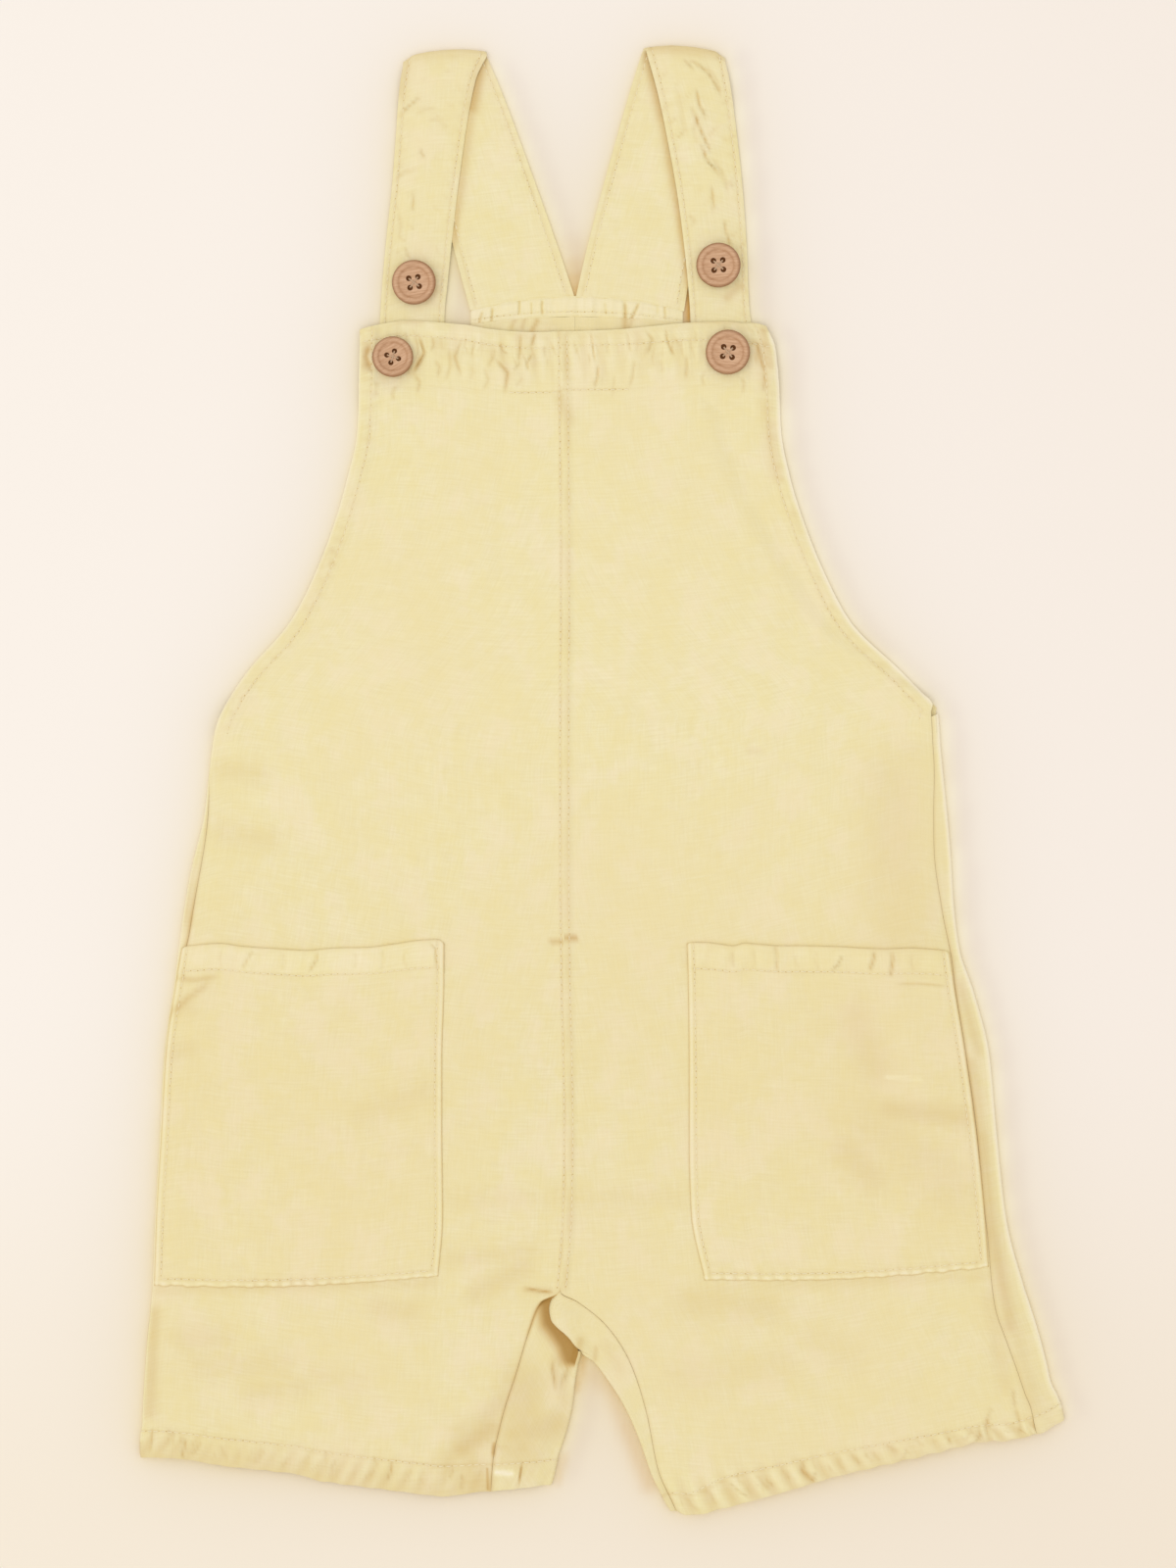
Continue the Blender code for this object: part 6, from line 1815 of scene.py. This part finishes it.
def button_thread(place, world):
    """Threads through the four holes: a few strands along both diagonals and down into the holes, with
    discs of painted shade at their foot.
    """
    points, faces, strands = [], [], []
    holes = button_holes()
    for a, b in ((0, 2), (1, 3)):
        for shift in (-0.13, 0.13):
            start, end = np.array(holes[a]), np.array(holes[b])
            run = (end - start) / np.linalg.norm(end - start)
            side = np.array([-run[1], run[0]]) * shift
            top = BUTTON_PROFILE[-1][1] + 0.12 + (0.2 if a else 0.0)
            shares = np.clip([-0.1, 0.0, 0.08, 0.5, 0.92, 1.0, 1.1], 0.03, 0.97)
            heights = (0.9, 1.7, top, top + 0.12, top, 1.7, 0.9)
            strands.append([
                np.array([*(start + (end - start) * share + side), z])
                for share, z in zip(shares, heights)
            ])
    for strand in strands:
        sideways, upward = [], []
        for k in range(len(strand)):
            ahead = strand[min(k + 1, len(strand) - 1)] - strand[max(k - 1, 0)]
            ahead = ahead / np.linalg.norm(ahead)
            side = np.cross(ahead, [0.0, 0.0, 1.0])
            side = side / max(np.linalg.norm(side), 1e-6)
            sideways.append(side)
            upward.append(np.cross(side, ahead))
        add_thread(points, faces, strand, sideways, upward, [BUTTON_THREAD] * len(strand))
    which = [0] * len(faces) + [1] * len(holes)
    for x, y in holes:
        faces.append([len(points) + k for k in range(BUTTON_SHADE_SIDES)])
        points.extend(hole_ring(x, y, BUTTON_SHADE_HEIGHT, BUTTON_SHADE_SIDES))
    made = plain_object(f"thread_{place.name}", points, faces, ("button_thread", "shade"), which)
    made.matrix_world = world
    return made


# Materials

# Colours of the painted shade, and of the deepest painted shade
SHADE_PAINT_COLOUR = (204, 166, 98)
DEEP_SHADE_PAINT_COLOUR = (170, 128, 58)
# Painted shade of the needle holes
NEEDLE_HOLE_SHADE_COLOUR = (212, 186, 130)
YELLOW_DYE = (237, 223, 160)
PINK_DYE = (244, 229, 197)
# Colour of the painted highlight
HIGHLIGHT_PAINT_COLOUR = (252, 243, 222)
THREAD_COLOUR = (240, 228, 190)
GRAIN_DARK, GRAIN_LIGHT = (194, 150, 112), (216, 176, 140)
PORE_COLOUR = (160, 112, 78)
# Colours of the painted shade on the buttons' rims and round their hollow faces
RIM_SHADE_COLOUR = (146, 98, 62)
DISH_SHADE_COLOUR = (168, 120, 84)


def srgb(r, g, b):
    """Linear colour of a display colour from 0 to 255."""
    return [((c / 255 + 0.055) / 1.055) ** 2.4 if c > 10 else c / 255 / 12.92 for c in (r, g, b)] + [1.0]


def node(tree, kind, **values):
    made = tree.nodes.new(kind)
    for key, value in values.items():
        if key in made.inputs:
            made.inputs[key].default_value = value
        else:
            setattr(made, key, value)
    return made


def math_node(tree, operation, a, b):
    made = node(tree, "ShaderNodeMath", operation=operation)
    for slot, value in zip(made.inputs, (a, b)):
        if isinstance(value, (int, float)):
            slot.default_value = value
        else:
            tree.links.new(value, slot)
    return made.outputs[0]


def mix_node(tree, factor, a, b):
    made = node(tree, "ShaderNodeMix", data_type="RGBA")
    for slot, value in ((made.inputs[0], factor), (made.inputs[6], a), (made.inputs[7], b)):
        if isinstance(value, (int, float, list)):
            slot.default_value = value
        else:
            tree.links.new(value, slot)
    return made.outputs[2]


def stretched_noise(tree, coordinates, scale, detail, roughness):
    """Noise in threads per metre across and along the cloth."""
    scaling = node(tree, "ShaderNodeMapping")
    scaling.inputs["Scale"].default_value = scale
    tree.links.new(coordinates, scaling.inputs["Vector"])
    noise = node(tree, "ShaderNodeTexNoise", Scale=1.0, Detail=detail, Roughness=roughness)
    tree.links.new(scaling.outputs[0], noise.inputs["Vector"])
    return noise.outputs["Fac"]


def remap(tree, value, low, high, to_low=0.0, to_high=1.0):
    made = node(tree, "ShaderNodeMapRange")
    tree.links.new(value, made.inputs[0])
    for k, number in enumerate((low, high, to_low, to_high)):
        made.inputs[1 + k].default_value = number
    return made.outputs[0]


def coated(name, settings):
    """New material, its nodes and its shader with some values set."""
    material = bpy.data.materials.new(name)
    material.use_nodes = True
    tree = material.node_tree
    shader = tree.nodes["Principled BSDF"]
    for key, value in settings.items():
        shader.inputs[key].default_value = value
    return material, tree, shader


def linen(name, light, dark, warm):
    """Plain-weave linen: yarns both ways with slubs, mottled dye and a soft nap."""
    nap = {"Specular IOR Level": 0.25, "Sheen Weight": 0.18, "Sheen Roughness": 0.5}
    material, tree, shader = coated(name, nap)
    weave = node(tree, "ShaderNodeUVMap", uv_map="weave").outputs[0]
    place = node(tree, "ShaderNodeTexCoord").outputs["Object"]
    weft = stretched_noise(tree, weave, (90.0, 1500.0, 1.0), 3.0, 0.6)
    warp = stretched_noise(tree, weave, (1500.0, 90.0, 1.0), 3.0, 0.6)
    slub = stretched_noise(tree, weave, (28.0, 900.0, 1.0), 1.0, 0.5)
    slub_up = stretched_noise(tree, weave, (900.0, 22.0, 1.0), 1.0, 0.5)
    mottle = stretched_noise(tree, place, (260.0, 220.0, 220.0), 3.0, 0.6)
    blotch = stretched_noise(tree, place, (75.0, 60.0, 60.0), 3.0, 0.55)
    patch = stretched_noise(tree, place, (14.0, 11.0, 11.0), 2.0, 0.5)
    weft = math_node(tree, "MULTIPLY", weft, 0.55)
    yarns = math_node(tree, "ADD", weft, math_node(tree, "MULTIPLY", warp, 0.45))
    yarns = remap(tree, yarns, 0.36, 0.64)
    slubs = remap(tree, slub, 0.66, 0.78)
    slubs_up = remap(tree, slub_up, 0.68, 0.80)
    colour = mix_node(tree, yarns, dark, light)
    colour = mix_node(tree, remap(tree, mottle, 0.42, 0.66, 0.0, 0.34), colour, srgb(*YELLOW_DYE))
    colour = mix_node(tree, remap(tree, blotch, 0.44, 0.64, 0.0, 0.34), colour, srgb(*YELLOW_DYE))
    colour = mix_node(tree, remap(tree, blotch, 0.34, 0.48, 0.36, 0.0), colour, srgb(*PINK_DYE))
    colour = mix_node(tree, remap(tree, patch, 0.35, 0.75, 0.0, 0.45), colour, warm)
    colour = mix_node(tree, math_node(tree, "MULTIPLY", slubs, 0.30), colour, light)
    colour = mix_node(tree, math_node(tree, "MULTIPLY", slubs_up, 0.20), colour, warm)
    # Painted highlight below zero and painted shade above it, from the points' attribute
    painted_light = node(tree, "ShaderNodeAttribute", attribute_name="painted_light").outputs["Fac"]
    colour = mix_node(tree, remap(tree, painted_light, -1.0, 0.0, 0.85, 0.0), colour, srgb(*HIGHLIGHT_PAINT_COLOUR))
    colour = mix_node(tree, remap(tree, painted_light, 0.0, 1.0, 0.0, 0.75), colour, srgb(*SHADE_PAINT_COLOUR))
    colour = mix_node(tree, remap(tree, painted_light, 1.0, 2.0, 0.0, 0.9), colour, srgb(*DEEP_SHADE_PAINT_COLOUR))
    tree.links.new(colour, shader.inputs["Base Color"])
    tree.links.new(remap(tree, yarns, 0.0, 1.0, 0.94, 0.82), shader.inputs["Roughness"])
    height = math_node(tree, "ADD", yarns, math_node(tree, "MULTIPLY", slubs, 0.9))
    height = math_node(tree, "ADD", height, math_node(tree, "MULTIPLY", slubs_up, 0.6))
    bumps = node(tree, "ShaderNodeBump", Strength=0.28, Distance=0.00016)
    tree.links.new(height, bumps.inputs["Height"])
    tree.links.new(bumps.outputs[0], shader.inputs["Normal"])
    return material


def sewing_thread():
    settings = {"Base Color": srgb(*THREAD_COLOUR), "Roughness": 0.6, "Sheen Weight": 0.2}
    return coated("sewing_thread", settings)[0]


def matt(name, colour):
    """Plain dull material for small details."""
    settings = {"Base Color": srgb(*colour), "Roughness": 1.0, "Specular IOR Level": 0.0}
    return coated(name, settings)[0]


def wood():
    """Oiled wood with fine straight grain, and painted shade on the outer side of the rim and in a ring
    round the hollow face.
    """
    oiled = {"Roughness": 0.5, "Specular IOR Level": 0.4}
    material, tree, shader = coated("button_wood", oiled)
    place = node(tree, "ShaderNodeTexCoord").outputs["Object"]
    grain = stretched_noise(tree, place, (160.0, 1300.0, 500.0), 4.0, 0.6)
    pore = stretched_noise(tree, place, (500.0, 4200.0, 900.0), 2.0, 0.5)
    grained = remap(tree, grain, 0.35, 0.65)
    colour = mix_node(tree, grained, srgb(*GRAIN_DARK), srgb(*GRAIN_LIGHT))
    pores = math_node(tree, "MULTIPLY", remap(tree, pore, 0.58, 0.72), 0.4)
    colour = mix_node(tree, pores, colour, srgb(*PORE_COLOUR))
    split = node(tree, "ShaderNodeSeparateXYZ")
    tree.links.new(place, split.inputs[0])
    across = math_node(tree, "MULTIPLY", split.outputs[0], split.outputs[0])
    along = math_node(tree, "MULTIPLY", split.outputs[1], split.outputs[1])
    radius = math_node(tree, "SQRT", math_node(tree, "ADD", across, along), 0.0)
    # Painted shade on the outer side of the rim and in a ring round the hollow face
    rim = math_node(tree, "MULTIPLY", remap(tree, radius, 0.0064, 0.0073), 0.85)
    colour = mix_node(tree, rim, colour, srgb(*RIM_SHADE_COLOUR))
    dish_shade = math_node(tree, "ABSOLUTE", math_node(tree, "SUBTRACT", radius, 0.0051), 0.0)
    dish_shade = remap(tree, dish_shade, 0.0, 0.0004, 0.28, 0.0)
    colour = mix_node(tree, dish_shade, colour, srgb(*DISH_SHADE_COLOUR))
    tree.links.new(colour, shader.inputs["Base Color"])
    bumps = node(tree, "ShaderNodeBump", Strength=0.15, Distance=0.00005)
    tree.links.new(grain, bumps.inputs["Height"])
    tree.links.new(bumps.outputs[0], shader.inputs["Normal"])
    return material


MATERIALS = {
    "front": linen("linen_front", srgb(242, 233, 191), srgb(234, 222, 175), srgb(238, 222, 174)),
    "pocket": linen("linen_pocket", srgb(242, 232, 189), srgb(234, 221, 173), srgb(238, 221, 172)),
    "thread": sewing_thread(),
    # The needle holes and the buttons' holes are discs of painted shade
    "hole_shade": matt("needle_hole_shade", NEEDLE_HOLE_SHADE_COLOUR),
    "button_thread": matt("button_thread", (214, 184, 152)),
    "shade": matt("button_hole_shade", (112, 74, 44)),
    "wood": wood(),
}


# Scene

FLOOR_HEIGHT = -0.06
FLOOR_COLOUR = (248.4, 241.8, 234.0)
FLOOR_REACH = 300.0
FLOOR_STEP = 2.0
FLOOR_FAR = 3000.0
# Painted warm shade round the garment: share of red, green and blue it takes from the floor, by its reach
FLOOR_SHADE = {
    3.0: (0.050, 0.058, 0.155),
    10.0: (0.017, 0.059, 0.200),
    24.0: (0.092, 0.115, 0.195),
}
# Painted shade: share taken towards the feet, towards the right, and on the patches of painted shadow
# below
FLOOR_SHADE_LOWER = (0.040, 0.070, 0.152)
FLOOR_SHADE_RIGHT = (0.018, 0.033, 0.042)
FLOOR_SHADOW_SHARE = (0.13, 0.26, 0.42)
# Painted highlight along the garment's right side and painted shadow in the darker band beyond it,
# with how far from the garment each ends
FLOOR_HIGHLIGHT_PAINT = (0.05, 0.08, 0.05)
FLOOR_SHADOW_BAND = (0.045, 0.055, 0.040)
BAND_SHIFTS = (0.0, 3.0, 8.5)
BAND_BLUR = 1.8
# Top of the body's plan, where only the straps go on
COVERED_TOP = 155.0
# Painted shadow on the floor between the legs, in the V of the straps and beside the left strap
FLOOR_SHADOW_PATCHES = [
    (29.6, 172, 30.2, 157, 2, 1.9),
    (-9.1, 181, -8.9, 165, 5.5, 0.3),
    (-9, 176, -8.9, 164.5, 3.6, 0.7),
    (-8.9, 172, -8.8, 164, 2.4, 1.1),
    (-8.8, 168.5, -8.8, 164, 1.8, 1.5),
    (3, -205, 8.5, -220, 3.2, 0.55),
    (8.5, -220, 16.5, -240, 3.2, 0.65),
    (-5.6, -195, -7.6, -207, 1.4, 0.9),
    (-3, -203, 1, -206, 3.5, 0.35),
    (-14.6, -239, -12.6, -231, 1.6, 0.5),
]


WINDOW_PLACE = (-0.7, -0.2, 2.7)
WINDOW_SIZE, WINDOW_POWER = 3.2, 23.0
WINDOW_COLOUR = (1.0, 0.985, 0.968)
ROOM_COLOUR = (1.0, 0.975, 0.955, 1.0)
ROOM_LIGHT = 0.80


def add_camera():
    data = bpy.data.cameras.new("camera")
    data.lens = LENS
    data.sensor_width = SENSOR
    camera = placed("camera", data)
    distance = PHOTO_LONG_SIDE * LENS / SENSOR
    camera.location = Vector((CAMERA_X, CAMERA_Y, distance + STACK_HEIGHT)) * MM
    bpy.context.scene.camera = camera


def covered(x, y):
    """1 over the garment's plan and 0 beside it."""
    left, right = HALVES["left"], HALVES["right"]
    halves = (left, right)
    edges = [half.edge(np.linspace(half.at["bib"], half.at["hem"], 120)) for half in halves]
    insides = [half.under(np.linspace(half.at["crotch"], half.at["hem"], 60)) for half in halves]

    def at_height(line):
        return np.interp(y, line[::-1, 1], line[::-1, 0])

    body = (x > at_height(edges[0])) & (x < at_height(edges[1]))
    crotch = insides[0][0, 1]
    body &= ~((y < crotch) & (x > at_height(insides[0])) & (x < at_height(insides[1])))
    feet = np.array([edges[0][-1], insides[0][-1], insides[1][-1], edges[1][-1]])
    body &= y > np.interp(x, feet[:, 0], feet[:, 1])
    body &= y < COVERED_TOP
    mask = body.astype(float)
    for straps in STRAPS.values():
        for rows in straps.values():
            table = np.array(rows)
            table = table[np.argsort(table[:, LEFT_Y])]
            inside = (y > table[0, LEFT_Y]) & (y < table[-1, LEFT_Y] + STRAP_REACH)
            inside &= x > np.interp(y, table[:, LEFT_Y], table[:, LEFT_X])
            inside &= x < np.interp(y, table[:, RIGHT_Y], table[:, RIGHT_X])
            mask = np.maximum(mask, inside)
    return mask


def blurred(mask, cells):
    """Mask spread over a number of grid cells."""
    reach = int(3 * cells)
    weights = np.exp(-0.5 * (np.arange(-reach, reach + 1) / cells) ** 2)
    weights /= weights.sum()
    for axis in (0, 1):
        mask = np.apply_along_axis(lambda line: np.convolve(line, weights, mode="same"), axis, mask)
    return mask


def add_floor():
    """Pale floor, with painted warm shade, painted shadow and a painted highlight round the garment, and
    painted shade towards the feet and the right.
    """
    reach, step = FLOOR_REACH, FLOOR_STEP
    ticks = np.arange(-reach, reach + step / 2, step)
    x, y = np.meshgrid(ticks, ticks)
    mask = covered(x, y)
    ratio = np.ones(x.shape + (3,))
    for spread, share in FLOOR_SHADE.items():
        ratio -= blurred(mask, spread / step)[..., None] * np.array(share)
    under, near, beyond = (blurred(covered(x - shift, y), BAND_BLUR / step) for shift in BAND_SHIFTS)
    ratio += np.maximum(near - under, 0.0)[..., None] * np.array(FLOOR_HIGHLIGHT_PAINT)
    ratio -= np.maximum(beyond - near, 0.0)[..., None] * np.array(FLOOR_SHADOW_BAND)
    ratio *= 1.0 - smoothstep((-y - 60.0) / 200.0)[..., None] * np.array(FLOOR_SHADE_LOWER)
    ratio *= 1.0 - np.clip((x + 200.0) / 400.0, 0.0, 1.0)[..., None] * np.array(FLOOR_SHADE_RIGHT)
    ratio *= 1.0 - painted_patch_shade(FLOOR_SHADOW_PATCHES, x, y)[..., None] * np.array(FLOOR_SHADOW_SHARE)
    points = [
        np.where(np.abs(axis) >= reach - 1e-6, np.sign(axis) * FLOOR_FAR, axis).ravel()
        for axis in (x, y)
    ]
    points = np.column_stack([*points, np.full(x.size, FLOOR_HEIGHT)]) * MM
    number = np.arange(x.size).reshape(x.shape)
    corners = [number[:-1, :-1], number[:-1, 1:], number[1:, 1:], number[1:, :-1]]
    quads = np.stack(corners, axis=-1)
    mesh = bpy.data.meshes.new("floor")
    mesh.from_pydata(points.tolist(), [], quads.reshape(-1, 4).tolist())
    base = np.array(srgb(*FLOOR_COLOUR)[:3])
    colours = np.column_stack([ratio.reshape(-1, 3) * base, np.ones(x.size)])
    layer = mesh.attributes.new("shade", "FLOAT_COLOR", "POINT")
    layer.data.foreach_set("color", colours.ravel())
    dull = {"Roughness": 0.9, "Specular IOR Level": 0.1}
    material, tree, shader = coated("floor", dull)
    painted = node(tree, "ShaderNodeAttribute", attribute_name="shade").outputs["Color"]
    tree.links.new(painted, shader.inputs["Base Color"])
    mesh.materials.append(material)
    floor = placed("floor", mesh)


def add_light():
    data = bpy.data.lights.new("window", "AREA")
    data.shape = "DISK"
    data.size = WINDOW_SIZE
    data.energy = WINDOW_POWER
    data.color = WINDOW_COLOUR
    light = placed("window", data)
    light.location = WINDOW_PLACE
    light.rotation_euler = (-Vector(WINDOW_PLACE)).to_track_quat("-Z", "Y").to_euler()
    world = bpy.data.worlds.new("room")
    world.use_nodes = True
    background = world.node_tree.nodes["Background"]
    background.inputs["Color"].default_value = ROOM_COLOUR
    background.inputs["Strength"].default_value = ROOM_LIGHT
    bpy.context.scene.world = world
    bpy.context.scene.view_settings.view_transform = "Standard"


def dress(made, thread, node_name, flat=None, strip=None):
    """Puts a cloth piece in the place of its solid and hides the solid. The flat size of its cut comes
    from a strip's width and the piece's area, from flat, or else from its solid's plan; nothing uses it."""
    lo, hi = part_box(node_name)
    area = made["area"]
    if strip:
        flat = (strip * MM, area / (strip * MM))
    elif flat:
        flat = (flat[0] * MM, flat[1] * MM)
    else:
        flat = (hi.x - lo.x, hi.y - lo.y)
    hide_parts(node_name)
    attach(made, "root")
    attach(thread, "root")
    return made


def main():
    add_camera()
    add_floor()
    add_light()
    for side, half in HALVES.items():
        made, thread = back_panel(half, MATERIALS["front"])
        dress(made, thread, f"back_{side}")
    made, thread = back_casing(MATERIALS["front"])
    dress(made, thread, "back_casing", flat=CASING_CUT)
    for side, half in HALVES.items():
        made, thread = front_panel(half, MATERIALS["front"])
        front = dress(made, thread, f"front_{side}")
        made, thread = pocket(side, MATERIALS["pocket"])
        dress(made, thread, f"pocket_{side}")
        made, thread = strap(side, MATERIALS["front"])
        dress(made, thread, f"strap_{side}", strip=STRAP_CUT)
    for place in BUTTONS:
        button(place)


main()
